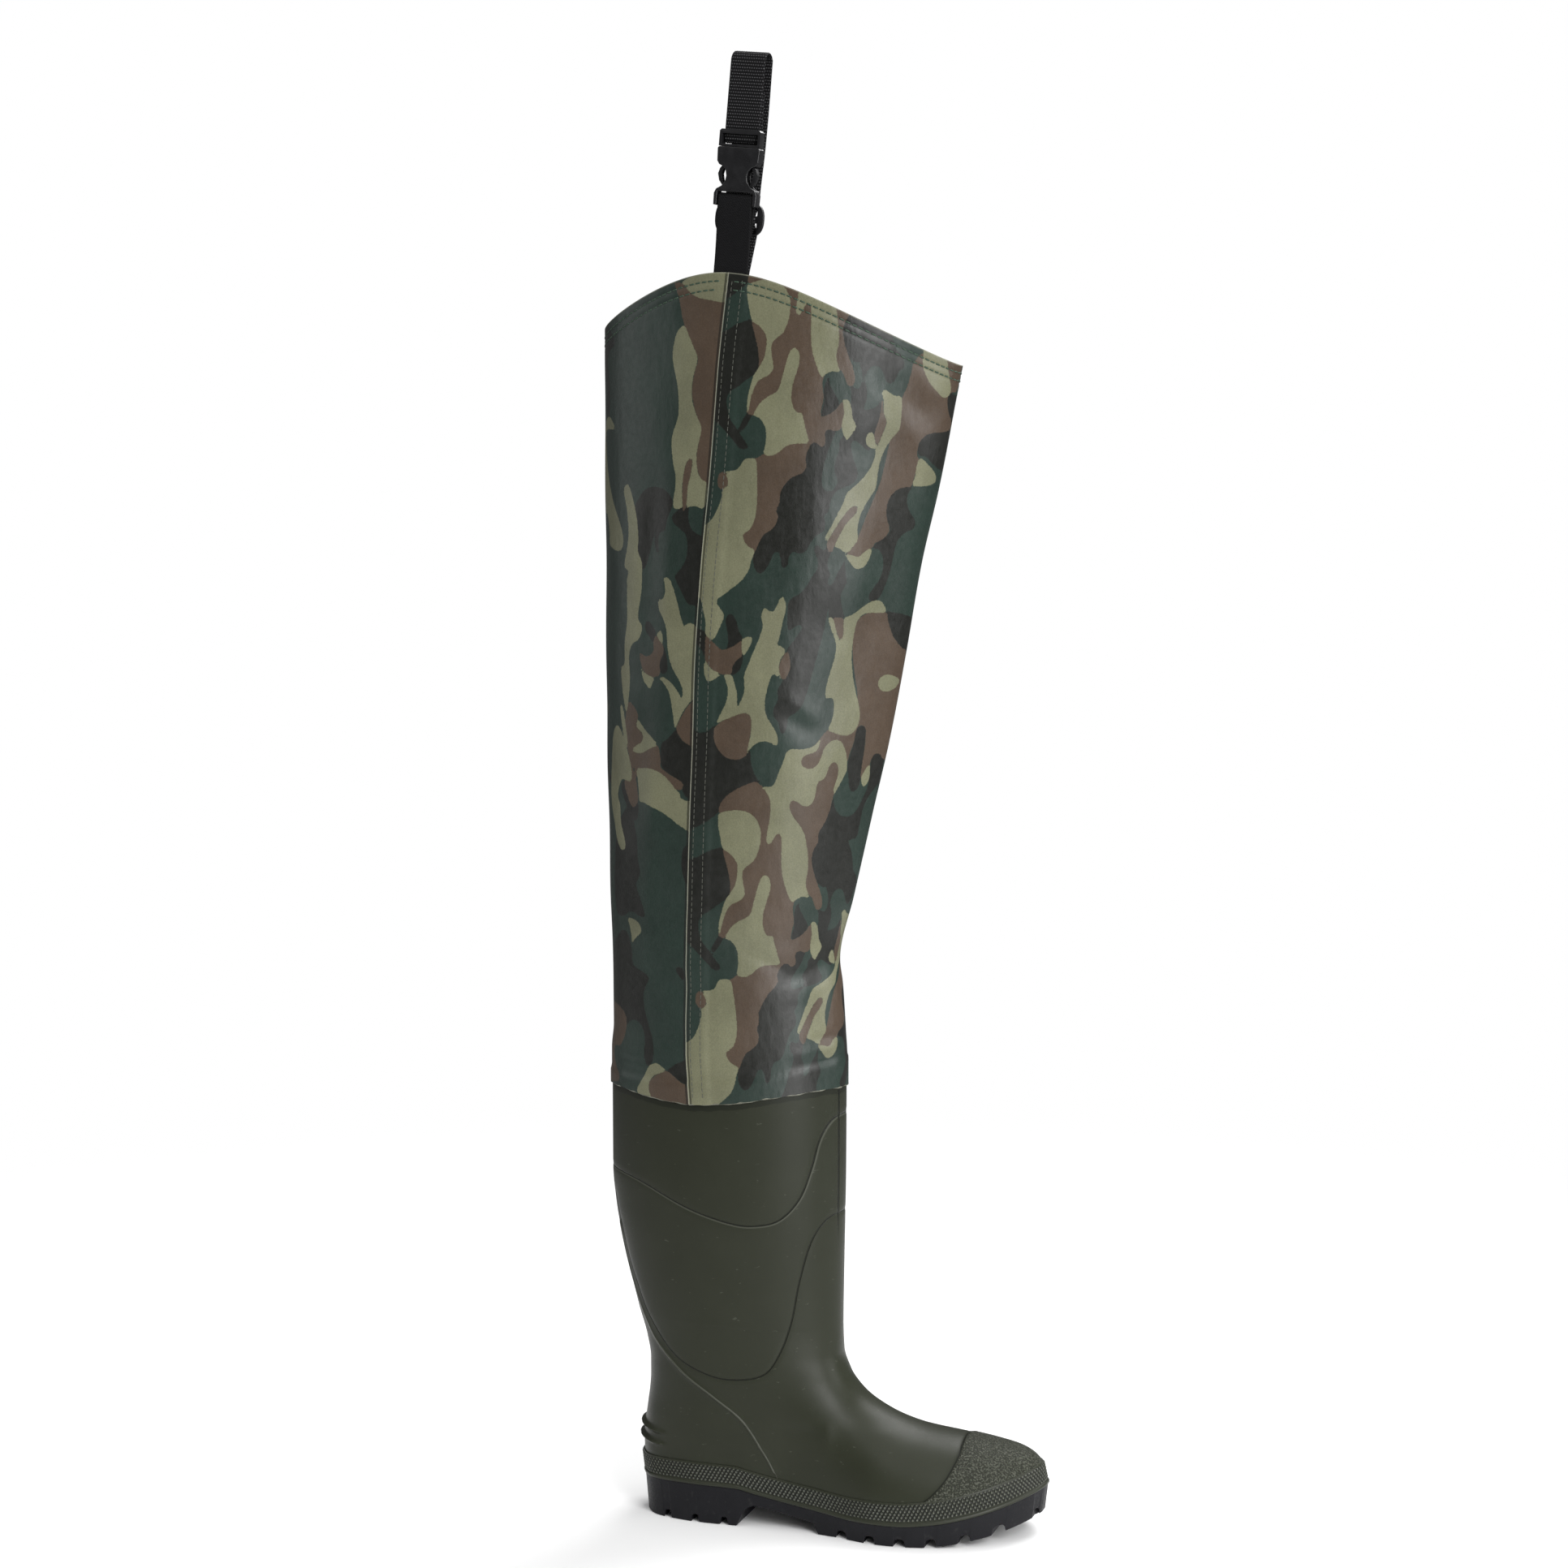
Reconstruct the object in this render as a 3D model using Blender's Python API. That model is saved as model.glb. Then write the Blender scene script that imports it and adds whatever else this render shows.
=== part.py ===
"""Thigh wader for the right leg: a moulded boot, a welded cloth leg and a belt strap.

Sizes are in millimetres and become metres when a mesh is made. +X points to the toe, +Y to the inner
side of the leg and +Z up. The origin lies on the floor, under the middle of the heel.
"""
import math
from collections import namedtuple

import bmesh
import bpy
import numpy as np

MM = 0.001

# Driving dimensions of the boot
WALL = 2.5                  # moulded wall of the boot
GAP = 0.35                  # clearance between curved pieces that meet
SEGMENTS = 22               # points along each side of a ring
TOE_SPRING = 17.0           # rise of the tread at the tip of the toe
LIP_PROUD = 2.4             # how far the lip above the sole stands out
LIP_HEIGHT = 2.4
BAND_PROUD = 1.2            # foxing band above the lip
BAND_HEIGHT = 16.0
WALL_STEP = 0.8             # height over which the wall steps in above the lip and above the band
CAP_PROUD = 1.0             # raised toe cap
COUNTER_PROUD = 0.8         # raised heel counter
RIB_PROUD = 3.2             # heel spur ribs
RIB_HEIGHTS = (57.0, 66.0)
RIB_FRONT = -24.0           # where the ribs fade out along the side of the heel
RIB_FADE = 10.0
INSOLE_THICK = 4.0
INSOLE_INSET = 4.6
INSOLE_STATIONS = 30

# Driving dimensions of the sole
HEEL_BREAST = 37.4          # front edge of the heel block
BREAST_RUN = 5.5            # length of the steep face in front of the heel block
BREAST_RISE = 12.5
ARCH_TOP = 50.0             # highest point of the arch
ARCH_RISE = 16.0
FOREFOOT_START = 99.4
FOREFOOT_STEP = 7.5         # step from the arch down to the forefoot
FOREFOOT_RUN = 3.0
SPRING_START = 165.0        # the tread is flat behind this
LUG_PITCH = 22.2
HEEL_NOTCH_WIDTH = 4.6
FORE_NOTCH_WIDTH = 6.6
NOTCH_DEPTH = 5.5
NOTCH_FLARE = 0.8           # each side of a notch slopes by this much
HEEL_NOTCH_FIRST = -16.4
HEEL_NOTCHES = 3
FORE_NOTCH_FIRST = 118.3
FORE_NOTCHES = 6
CENTRE_NOTCHES = 4          # cross grooves between the side lugs of the forefoot
SIDE_LUG_SHARE = 0.27       # share of the width that each row of side lugs takes
SOLE_TOP_PROUD = 1.4
SOLE_FOOT_INSET = 1.2
SOLE_STATIONS = 33          # even sections along the sole, besides those at its lugs
STATION_CLEAR = 1.6         # an even section is dropped where a lug's own is nearer than this
GROOVE_FLARE = 0.04         # slope between side lugs and cross grooves, as a share of the width
BLUNT_TIP = 0.3             # flat left at the ends of sole and insole

# Driving dimensions of the leg
LEG_WALL = 1.0
HEM_FOLD = 16.0             # depth of the folded hem, which is twice as thick
SEAM_PLACE = -0.128         # side seam, as a share of the half length of a section
SEAM_LAP = 18.0
SEAM_PROUD = 0.8
SEAM_RAMP = 0.008           # slope of each edge of the seam, as a share of the half length
SEAM_GAUGE_Z = 620.0        # height at which the lap's width is measured
COLLAR_RINGS = (16.0, 28.0)  # extra rings above the weld, where the leg leaves the boot's collar
LEG_RING_SHARES = (0.09, 0.93)  # first and last of the even rings between weld and hem
LEG_RINGS = 12
WELD_HEIGHT = 311.5         # lower edge of the leg, over the middle of the shaft
WELD_MIDDLE = 20.0
WELD_SLOPE = 0.075
HEM_PEAK_X = 38.0
HEM_PEAK_Z = 898.0
HEM_SLOPE = 0.6
HEM_ROUND = 60.0
HEM_INNER_DROP = 26.0
HEM_STEP = 0.8              # height over which the fold's edge steps in

# Driving dimensions of the strap, in a frame whose z runs up the strap from the hem's edge
STRAP_X = 46.0
STRAP_LEAN = math.radians(5.3)
WEB_WIDTH = 25.4
LOWER_WEB_THICK = 1.3
UPPER_WEB_THICK = 1.5
TUCK = 22.0                 # length of webbing sewn inside the hem
STRAP_CLEAR = 0.55          # between the hem's curved lining and the flat webbing
SOCKET_BAR_Z = 50.3
SOCKET_BAR_RADIUS = 2.0
SOCKET_FOOT_Z = 45.5
SOCKET_TOP_Z = 84.8
SOCKET_HALF_WIDTH = 15.6
SOCKET_THICK = 8.6
SOCKET_BAR_HALF = 14.4
CAVITY_THICK = 5.0
CAVITY_HALF_WIDTH = 12.2
CAVITY_FLOOR_Z = 57.4
PLUG_TOP_Z = 96.8
PLUG_HALF_WIDTH = 15.2
PLUG_THICK = 7.2
PLUG_CORNER = 1.3
PLUG_SLOT_HALF = 13.2
PLUG_LOW_RAIL = 1.6
PLUG_TOP_RAIL = 3.0
PLUG_BAR_HALF = 13.8
ARM_ROOT_Z = 86.2           # the arms and the guide are rooted in the plug's lower rail
PLUG_BAR_Y = 2.4
PLUG_BAR_Z = 90.6
PLUG_BAR_RADIUS = 1.5
BELT_LOOP_Z = 143.0         # centre of the bend over the belt
BELT_LOOP_RADIUS = 6.6
SLIDER_Z = 37.0
SLIDER_Y = 8.2
SLIDER_THICK = 2.6
SLIDER_HALF_WIDTH = 18.0
SLIDER_HALF_HEIGHT = 12.2
SLIDER_BAR = 2.5            # half the height of the slider's middle bar
SLIDER_SLOT = 9.6           # far edge of each slot from the slider's middle
SLIDER_SIDE_POWER = 0.5     # under 1 makes the slider's oval squarer
SLIDER_TOP_POWER = 0.8
SLOT_PLAY = 0.5             # each end of a slot clears the webbing by this much
WEAVE_CLEAR = 0.4           # between the slider's bars and the webbing
CUT_OVER = 5.0              # cutters run past what they cut by this much

# Plan of the upper where it meets the sole, from the heel along the outer side to the toe and back
Plan = namedtuple("Plan", "name x y")
PLAN = (
    Plan("heel back", -41.5, 0.0),
    Plan("heel corner, outer", -30.0, -26.5),
    Plan("heel, outer", 0.0, -37.0),
    Plan("breast, outer", 37.0, -38.5),
    Plan("waist, outer", 75.0, -37.8),
    Plan("arch front, outer", 108.0, -42.0),
    Plan("ball, outer", 147.0, -51.5),
    Plan("toe root, outer", 187.0, -47.5),
    Plan("toe, outer", 221.0, -33.0),
    Plan("toe corner, outer", 244.0, -12.0),
    Plan("toe tip", 254.5, 10.0),
    Plan("toe corner, inner", 250.0, 29.0),
    Plan("toe, inner", 234.0, 43.0),
    Plan("toe root, inner", 205.0, 52.0),
    Plan("ball, inner", 172.0, 55.0),
    Plan("arch front, inner", 138.0, 50.0),
    Plan("waist front, inner", 105.0, 41.5),
    Plan("waist, inner", 72.0, 36.0),
    Plan("breast, inner", 37.0, 36.0),
    Plan("heel, inner", 0.0, 36.5),
    Plan("heel corner, inner", -30.0, 26.5),
)

# Height of the upper's lower edge along the foot
Edge = namedtuple("Edge", "x z")
SOLE_EDGE = (
    Edge(-44.0, 28.0),
    Edge(0.0, 29.0),
    Edge(37.0, 28.5),
    Edge(52.0, 25.5),
    Edge(70.0, 22.0),
    Edge(95.0, 18.5),
    Edge(130.0, 15.4),
    Edge(160.0, 15.4),
    Edge(185.0, 17.5),
    Edge(210.0, 22.0),
    Edge(235.0, 29.0),
    Edge(258.0, 37.0),
)

# Sections of the boot, each a tilted ring through a point of the back line and one of the front line.
# follow: how much of the sole edge's sweep the ring keeps. half: half width of the shaft there.
Section = namedtuple("Section", "name back_x back_z front_x front_z follow half")
SECTIONS = (
    Section("sole edge", -41.5, 28.0, 254.5, 36.0, 1.00, 10.0),
    Section("band top", -43.6, 44.0, 251.5, 51.0, 1.00, 18.0),
    Section("toe wall", -43.8, 49.0, 246.0, 57.0, 0.85, 21.0),
    Section("toe roll", -43.6, 54.0, 236.5, 62.0, 0.65, 24.0),
    Section("toe top", -43.2, 60.0, 218.0, 66.4, 0.45, 27.0),
    Section("cap edge", -42.4, 68.0, 197.0, 70.0, 0.25, 29.0),
    Section("vamp", -40.8, 80.0, 164.0, 75.6, 0.10, 31.0),
    Section("vamp rise", -39.2, 91.0, 141.5, 84.0, 0.00, 33.0),
    Section("instep", -38.4, 102.0, 124.0, 95.0, 0.00, 35.0),
    Section("throat", -38.4, 114.0, 112.0, 109.5, 0.00, 36.5),
    Section("ankle", -41.0, 130.0, 106.8, 126.0, 0.00, 38.5),
    Section("shin", -47.6, 152.0, 106.4, 148.0, 0.00, 42.0),
    Section("calf, low", -58.4, 195.0, 106.8, 191.0, 0.00, 47.0),
    Section("calf", -64.8, 226.0, 107.4, 229.0, 0.00, 49.5),
    Section("calf, high", -67.6, 256.0, 107.8, 258.0, 0.00, 51.0),
    Section("collar", -67.6, 322.0, 108.0, 335.0, 0.00, 52.0),
)
ANKLE_ROW = 10

# Sections of the leg above the collar. crease: how sharply its front edge is folded.
Girth = namedtuple("Girth", "height back front half crease")
LEG_GIRTHS = (
    Girth(342.0, -67.6, 108.0, 52.0, 0.00),
    Girth(360.0, -66.0, 107.0, 52.2, 0.00),
    Girth(394.0, -66.2, 105.0, 53.0, 0.04),
    Girth(411.0, -66.5, 103.0, 53.8, 0.05),
    Girth(458.0, -67.6, 113.6, 57.0, 0.08),
    Girth(518.0, -68.4, 127.2, 61.5, 0.10),
    Girth(570.0, -69.2, 139.6, 65.0, 0.12),
    Girth(636.0, -69.6, 152.0, 69.0, 0.12),
    Girth(698.0, -69.6, 163.4, 71.5, 0.12),
    Girth(747.0, -69.6, 174.5, 73.0, 0.12),
    Girth(830.0, -69.6, 191.0, 75.0, 0.12),
    Girth(900.0, -69.6, 204.0, 76.0, 0.12),
)

# Side view of the lines that bound the raised toe cap and the raised heel counter
CAP_LINE = (Edge(164.0, 30.0), Edge(172.0, 38.0), Edge(187.0, 53.0), Edge(195.0, 62.0), Edge(198.0, 75.0))
COUNTER_LINE = (Edge(60.0, 36.0), Edge(53.0, 48.0), Edge(38.0, 64.0), Edge(12.0, 82.0),
                Edge(-8.0, 100.0), Edge(-26.0, 124.0), Edge(-44.0, 148.0))
CAP_RAMP = 5.0
COUNTER_RAMP = 7.0

# Side view of the strap's runs: y towards the leg, z up the strap from the hem's edge
Way = namedtuple("Way", "y z")
LOWER_FRONT_RUN = (Way(0.0, -TUCK), Way(0.0, 0.0), Way(0.0, 12.0), Way(-0.9, 26.0), Way(-2.7, 42.0))
LOWER_TAIL = (Way(2.6, 44.0), Way(1.9, 34.0), Way(1.3, 24.0))
UPPER_TAIL = (Way(3.4, 122.0), Way(3.6, 112.0), Way(4.6, 101.0))
UPPER_FRONT_RUN = (Way(0.0, 96.0), Way(0.0, 112.0), Way(0.0, 132.0))
UPPER_BACK_RUN = (Way(13.8, 112.0), Way(13.2, 84.0), Way(11.0, 60.0))
UPPER_SEWN_END = (Way(5.4, 8.0), Way(2.3, -3.0), Way(1.95, -12.0), Way(1.95, -TUCK))

# Right half of the socket's outline, up its foot, round the window for the plug's arm and to its mouth
Corner = namedtuple("Corner", "name x z")
SOCKET_OUTLINE = (
    Corner("foot root, inner", 13.4, 54.6),
    Corner("foot end, inner", 13.4, SOCKET_FOOT_Z),
    Corner("foot tip, inner", 14.2, SOCKET_FOOT_Z - 0.6),
    Corner("foot tip, outer", 15.6, SOCKET_FOOT_Z - 0.4),
    Corner("foot end, outer", SOCKET_HALF_WIDTH, SOCKET_FOOT_Z + 1.2),
    Corner("foot root, outer", 15.8, 53.0),
    Corner("window start", 14.4, 56.0),
    Corner("window, low", 10.6, 58.2),
    Corner("waist, low", 8.2, 61.6),
    Corner("waist", 7.6, 65.2),
    Corner("waist, high", 8.4, 68.8),
    Corner("window, high", 10.6, 71.4),
    Corner("window end", 13.6, 72.6),
    Corner("shoulder", 15.2, 75.0),
    Corner("mouth, outer", SOCKET_HALF_WIDTH, SOCKET_TOP_Z - 1.2),
    Corner("mouth", SOCKET_HALF_WIDTH - 1.0, SOCKET_TOP_Z),
)

# One spring arm of the plug, bowed out into the socket's window: down its outer edge and up its inner one
ARM_OUTLINE = (
    Corner("root, outer", 11.6, ARM_ROOT_Z),
    Corner("neck, outer", 11.6, 72.2),
    Corner("press pad, high", 13.4, 70.2),
    Corner("press pad", 14.6, 66.4),
    Corner("press pad, low", 13.4, 61.8),
    Corner("tip, outer", 11.0, 58.8),
    Corner("tip, inner", 9.4, 58.8),
    Corner("pad back, low", 11.0, 62.6),
    Corner("pad back", 11.8, 66.4),
    Corner("pad back, high", 11.0, 69.6),
    Corner("neck, inner", 8.8, 73.0),
    Corner("root, inner", 8.8, ARM_ROOT_Z),
)
GUIDE_OUTLINE = (Corner("tip", 2.4, 66.0), Corner("root", 2.8, ARM_ROOT_Z))

# Rings that are built, named by their height on the back line
OUTER_HEIGHTS = (47, 50, 53.5, 57, 60, 63, 66, 69, 75, 82, 90, 98, 106, 114, 122, 131, 143, 158, 176, 196,
                 218, 242, 268, 295, 322)
INNER_HEIGHTS = (38, 50, 60, 70, 82, 94, 106, 118, 131, 150, 175, 205, 240, 280, 322)

# Shape factors of the foot's cross sections
VAMP_POWER = 2.3            # arch of the vamp: 2 is an ellipse
HEEL_POWER = 3.4            # the heel's sides stay upright for longer
HEEL_REACH = 80.0           # length of heel that follows the back line
BLEND_POWER = 4.0           # how foot and shaft merge at the ankle
HEEL_ARCH_RISE = 1.0
RIDGE_START = 108.0         # the ridge of the foot swings inwards from here to the toe
RIDGE_SHIFT = 10.0


def smooth_step(value):
    """Ease from 0 to 1 as value goes from 0 to 1."""
    held = np.clip(value, 0.0, 1.0)
    return held * held * (3.0 - 2.0 * held)


def eased_shares(count):
    """Shares from 0 to 1 that lie closer together at both ends."""
    return 0.5 - 0.5 * np.cos(np.pi * np.linspace(0.0, 1.0, count))


def curve_through(knots, values):
    """Smooth curve through a table, with no overshoot between its rows."""
    x = np.asarray(knots, float)
    y = np.asarray(values, float)
    step = np.diff(x)
    rise = np.diff(y) / step
    slope = np.concatenate([rise[:1], np.zeros(len(x) - 2), rise[-1:]])
    for i in range(1, len(x) - 1):
        if rise[i - 1] * rise[i] > 0.0:
            before = 2.0 * step[i] + step[i - 1]
            after = step[i] + 2.0 * step[i - 1]
            slope[i] = (before + after) / (before / rise[i - 1] + after / rise[i])

    def value_at(place):
        place = np.clip(np.asarray(place, float), x[0], x[-1])
        i = np.clip(np.searchsorted(x, place) - 1, 0, len(x) - 2)
        t = (place - x[i]) / step[i]
        return ((1.0 + 2.0 * t) * (1.0 - t) ** 2 * y[i] + t * (1.0 - t) ** 2 * step[i] * slope[i]
                + t * t * (3.0 - 2.0 * t) * y[i + 1] + t * t * (t - 1.0) * step[i] * slope[i + 1])

    return value_at


def plan_sides(offset):
    """Outer and inner side of the plan, moved outwards by offset, as functions of x, with their ends."""
    points = np.array([(row.x, row.y) for row in PLAN])
    count = len(points)
    steps = 24
    curve = []
    for i in range(count):
        p0, p1, p2, p3 = (points[(i + k) % count] for k in (-1, 0, 1, 2))
        for t in np.linspace(0.0, 1.0, steps, endpoint=False):
            curve.append(0.5 * (2 * p1 + (p2 - p0) * t + (2 * p0 - 5 * p1 + 4 * p2 - p3) * t * t
                                + (3 * p1 - p0 - 3 * p2 + p3) * t ** 3))
    curve = np.array(curve)
    along = np.roll(curve, -1, axis=0) - np.roll(curve, 1, axis=0)
    normal = np.stack([along[:, 1], -along[:, 0]], axis=1)
    curve = curve + offset * normal / np.linalg.norm(normal, axis=1)[:, None]
    heel = int(np.argmin(curve[:, 0]))
    toe = int(np.argmax(curve[:, 0]))
    curve = np.roll(curve, -heel, axis=0)
    toe = (toe - heel) % len(curve)
    outer = curve[:toe + 1]
    inner = np.vstack([curve[toe:], curve[:1]])[::-1]

    def outer_y(x):
        return np.interp(x, outer[:, 0], outer[:, 1])

    def inner_y(x):
        return np.interp(x, inner[:, 0], inner[:, 1])

    return outer_y, inner_y, outer[0, 0], outer[-1, 0]


def column(rows, name):
    return [getattr(row, name) for row in rows]


sole_edge = curve_through(column(SOLE_EDGE, "x"), column(SOLE_EDGE, "z"))
ring_back_x = curve_through(column(SECTIONS, "back_z"), column(SECTIONS, "back_x"))
ring_front_x = curve_through(column(SECTIONS, "back_z"), column(SECTIONS, "front_x"))
ring_front_z = curve_through(column(SECTIONS, "back_z"), column(SECTIONS, "front_z"))
ring_follow = curve_through(column(SECTIONS, "back_z"), column(SECTIONS, "follow"))
SHAFT_ROWS = SECTIONS[ANKLE_ROW:]
back_line = curve_through(column(SECTIONS, "back_z") + column(LEG_GIRTHS, "height"),
                          column(SECTIONS, "back_x") + column(LEG_GIRTHS, "back"))
front_line = curve_through(column(SHAFT_ROWS, "front_z") + column(LEG_GIRTHS, "height"),
                           column(SHAFT_ROWS, "front_x") + column(LEG_GIRTHS, "front"))
half_width = curve_through(column(SECTIONS, "back_z") + column(LEG_GIRTHS, "height"),
                           column(SECTIONS, "half") + column(LEG_GIRTHS, "half"))
crease_at = curve_through(column(LEG_GIRTHS, "height"), column(LEG_GIRTHS, "crease"))
PLAN_OUTER, PLAN_INNER, PLAN_BACK, PLAN_FRONT = plan_sides(0.0)

RIDGE_HEIGHTS = np.linspace(SECTIONS[0].back_z, SECTIONS[ANKLE_ROW].back_z, 400)
RIDGE_X = ring_front_x(RIDGE_HEIGHTS)[::-1]
RIDGE_Z = ring_front_z(RIDGE_HEIGHTS)[::-1]
ANKLE_X = SECTIONS[ANKLE_ROW].front_x


def ridge_y(x):
    """Sideways place of the foot's ridge, which swings inwards to the toe."""
    return RIDGE_SHIFT * smooth_step((x - RIDGE_START) / (PLAN_FRONT - RIDGE_START))


def ridge_z(x):
    """Height of the foot's top: the front line before the ankle, and a tall arch behind it."""
    behind = SECTIONS[ANKLE_ROW].front_z + HEEL_ARCH_RISE * (ANKLE_X - x)
    return np.where(x > ANKLE_X, np.interp(x, RIDGE_X, RIDGE_Z), behind)


def foot_share(x, z):
    """How much of the plan's width is left at height z of the foot's arch."""
    edge = sole_edge(x)
    tall = np.maximum(ridge_z(x) - edge, 0.01)
    climb = np.clip((z - edge) / tall, 0.0, 1.0)
    power = np.interp(x, [0.0, 120.0], [HEEL_POWER, VAMP_POWER])
    return np.sqrt(1.0 - climb ** power)


def shaft_share(x, z):
    """Share of the shaft's half width at x on its oval at height z."""
    back = back_line(z)
    front = front_line(z)
    place = (x - 0.5 * (back + front)) / (0.5 * (front - back))
    return np.sqrt(np.clip(1.0 - place ** 2, 0.0, None))


def boot_point_rows(height):
    """Both sides of one ring of the boot: x, z and the outer and inner y, from heel to front."""
    back_x = ring_back_x(height)
    front_x = ring_front_x(height)
    front_z = ring_front_z(height)
    along = eased_shares(SEGMENTS + 1)
    x = back_x + (front_x - back_x) * along
    edge_line = sole_edge(back_x) + (sole_edge(front_x) - sole_edge(back_x)) * along
    z = height + (front_z - height) * along + ring_follow(height) * (sole_edge(x) - edge_line)
    heel_fade = np.clip(1.0 - (x - back_x) / HEEL_REACH, 0.0, 1.0)
    foot_x = x + (PLAN_BACK - back_x) * heel_fade
    shaft = half_width(z) * shaft_share(x, z)
    ridge = ridge_y(x)
    sides = []
    for plan_y in (PLAN_OUTER, PLAN_INNER):
        foot = np.abs(plan_y(foot_x) - ridge) * foot_share(foot_x, z)
        sides.append((foot ** BLEND_POWER + shaft ** BLEND_POWER) ** (1.0 / BLEND_POWER))
    outer = ridge - sides[0]
    inner = ridge + sides[1]
    outer[[0, -1]] = ridge[[0, -1]]
    inner[[0, -1]] = ridge[[0, -1]]
    return x, z, outer, inner


def closed_ring(x, z, outer, inner):
    """One closed ring: up the outer side from back to front, then back along the inner side."""
    out_side = np.stack([x, outer, z], axis=1)
    in_side = np.stack([x, inner, z], axis=1)
    return np.vstack([out_side, in_side[-2:0:-1]])


def boot_ring(height):
    return closed_ring(*boot_point_rows(height))


def ring_normals(rings):
    """Outward normals of a stack of closed rings, level at its open ends."""
    grid = np.array(rings)
    around = np.roll(grid, -1, axis=1) - np.roll(grid, 1, axis=1)
    upward = np.gradient(grid, axis=0)
    normal = np.cross(around, upward)
    normal[0, :, 2] = 0.0
    normal[-1, :, 2] = 0.0
    return normal / np.linalg.norm(normal, axis=2)[:, :, None]


def line_side(line, x, z, ramp):
    """0 behind a side-view line and 1 in front of it, eased over ramp."""
    heights = np.array(column(line, "z"))
    places = np.array(column(line, "x"))
    order = np.argsort(heights)
    return smooth_step(0.5 + (x - np.interp(z, heights[order], places[order])) / ramp)


def boot_relief(points, height):
    """How far the moulded panels and ribs stand out of the boot's plain wall."""
    x = points[:, 0]
    z = points[:, 2]
    relief = CAP_PROUD * line_side(CAP_LINE, x, z, CAP_RAMP)
    counter = COUNTER_PROUD * (1.0 - line_side(COUNTER_LINE, x, z, COUNTER_RAMP))
    relief = relief + np.where(z < COUNTER_LINE[-1].z, counter, 0.0)
    if height in RIB_HEIGHTS:
        relief = relief + RIB_PROUD * smooth_step((RIB_FRONT - x) / RIB_FADE)
    return relief


def mesh_object(name, verts, faces, material, parent=None):
    """Object from points in millimetres, with its faces turned outwards."""
    mesh = bpy.data.meshes.new(name)
    mesh.from_pydata([tuple(float(c) * MM for c in v) for v in verts], [], faces)
    work = bmesh.new()
    work.from_mesh(mesh)
    bmesh.ops.recalc_face_normals(work, faces=work.faces)
    work.to_mesh(mesh)
    work.free()
    mesh.shade_smooth()
    mesh.set_sharp_from_angle(angle=math.radians(35))
    mesh.materials.append(material)
    piece = bpy.data.objects.new(name, mesh)
    piece.parent = parent
    bpy.context.scene.collection.objects.link(piece)
    return piece


def ring_wall(name, outer_rings, inner_rings, material):
    """Hollow wall between two stacks of rings, joined by a rim at the bottom and one at the top."""
    rings = list(outer_rings) + list(inner_rings)[::-1]
    count = len(rings[0])
    verts = np.vstack(rings)
    faces = []
    for level in range(len(rings)):
        above = (level + 1) % len(rings)
        for i in range(count):
            j = (i + 1) % count
            faces.append((level * count + i, level * count + j, above * count + j, above * count + i))
    return mesh_object(name, verts, faces, material)


def loft_along(name, sections, material, parent=None):
    """Solid through sections with equal numbers of points, closed by a face at each end."""
    count = len(sections[0])
    verts = np.vstack(sections)
    faces = [tuple(range(count)), tuple(range(len(verts) - count, len(verts)))]
    for level in range(len(sections) - 1):
        for i in range(count):
            j = (i + 1) % count
            low = level * count
            high = low + count
            faces.append((low + i, low + j, high + j, high + i))
    return mesh_object(name, verts, faces, material, parent)


def plain_material(name, colour, roughness):
    material = bpy.data.materials.new(name)
    material.use_nodes = True
    shader = material.node_tree.nodes["Principled BSDF"]
    shader.inputs["Base Color"].default_value = (*colour, 1.0)
    shader.inputs["Roughness"].default_value = roughness
    shader.inputs["Metallic"].default_value = 0.0
    return material


# Boot
def band_rings():
    """Rings of the lip and the foxing band, which run level above the sole edge."""
    base = boot_ring(SECTIONS[0].back_z)
    top = boot_ring(SECTIONS[1].back_z)
    outward = ring_normals([base, base + (0.0, 0.0, 1.0)])[0]
    lip = ((0.0, LIP_PROUD), (LIP_HEIGHT, LIP_PROUD))
    band = ((LIP_HEIGHT + WALL_STEP, BAND_PROUD), (BAND_HEIGHT, BAND_PROUD), (BAND_HEIGHT + WALL_STEP, 0.0))
    rings = []
    for rise, proud in lip + band:
        share = rise / BAND_HEIGHT
        ring = base + (top - base) * share + outward * proud
        ring[:, 2] = base[:, 2] + rise
        rings.append(ring)
    return rings


def boot(material):
    plain = [boot_ring(height) for height in OUTER_HEIGHTS]
    normals = ring_normals(plain)
    outer = band_rings()
    for ring, normal, height in zip(plain, normals, OUTER_HEIGHTS):
        outer.append(ring + normal * boot_relief(ring, height)[:, None])
    lining = [boot_ring(height) for height in (SECTIONS[0].back_z,) + INNER_HEIGHTS]
    inner = np.array(lining) - WALL * ring_normals(lining)
    return ring_wall("boot", outer, inner, material)


# Sole
def notch_centres():
    """Side notches of heel and forefoot, and the cross grooves between the forefoot's side lugs."""
    heel = [HEEL_NOTCH_FIRST + LUG_PITCH * i for i in range(HEEL_NOTCHES)]
    fore = [FORE_NOTCH_FIRST + LUG_PITCH * i for i in range(FORE_NOTCHES)]
    centre = [FORE_NOTCH_FIRST + LUG_PITCH * (i + 0.5) for i in range(CENTRE_NOTCHES)]
    return heel + fore, centre


def notch_edges(centre):
    """The four corners of one notch along the foot; those of the heel are narrower."""
    half = 0.5 * (HEEL_NOTCH_WIDTH if centre < HEEL_BREAST else FORE_NOTCH_WIDTH)
    return centre - half - NOTCH_FLARE, centre - half, centre + half, centre + half + NOTCH_FLARE


def arch_marks():
    """Places where the underside turns, from the heel block's front edge to the forefoot."""
    return [HEEL_BREAST, HEEL_BREAST + BREAST_RUN, ARCH_TOP, FOREFOOT_START - FOREFOOT_RUN, FOREFOOT_START]


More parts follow.
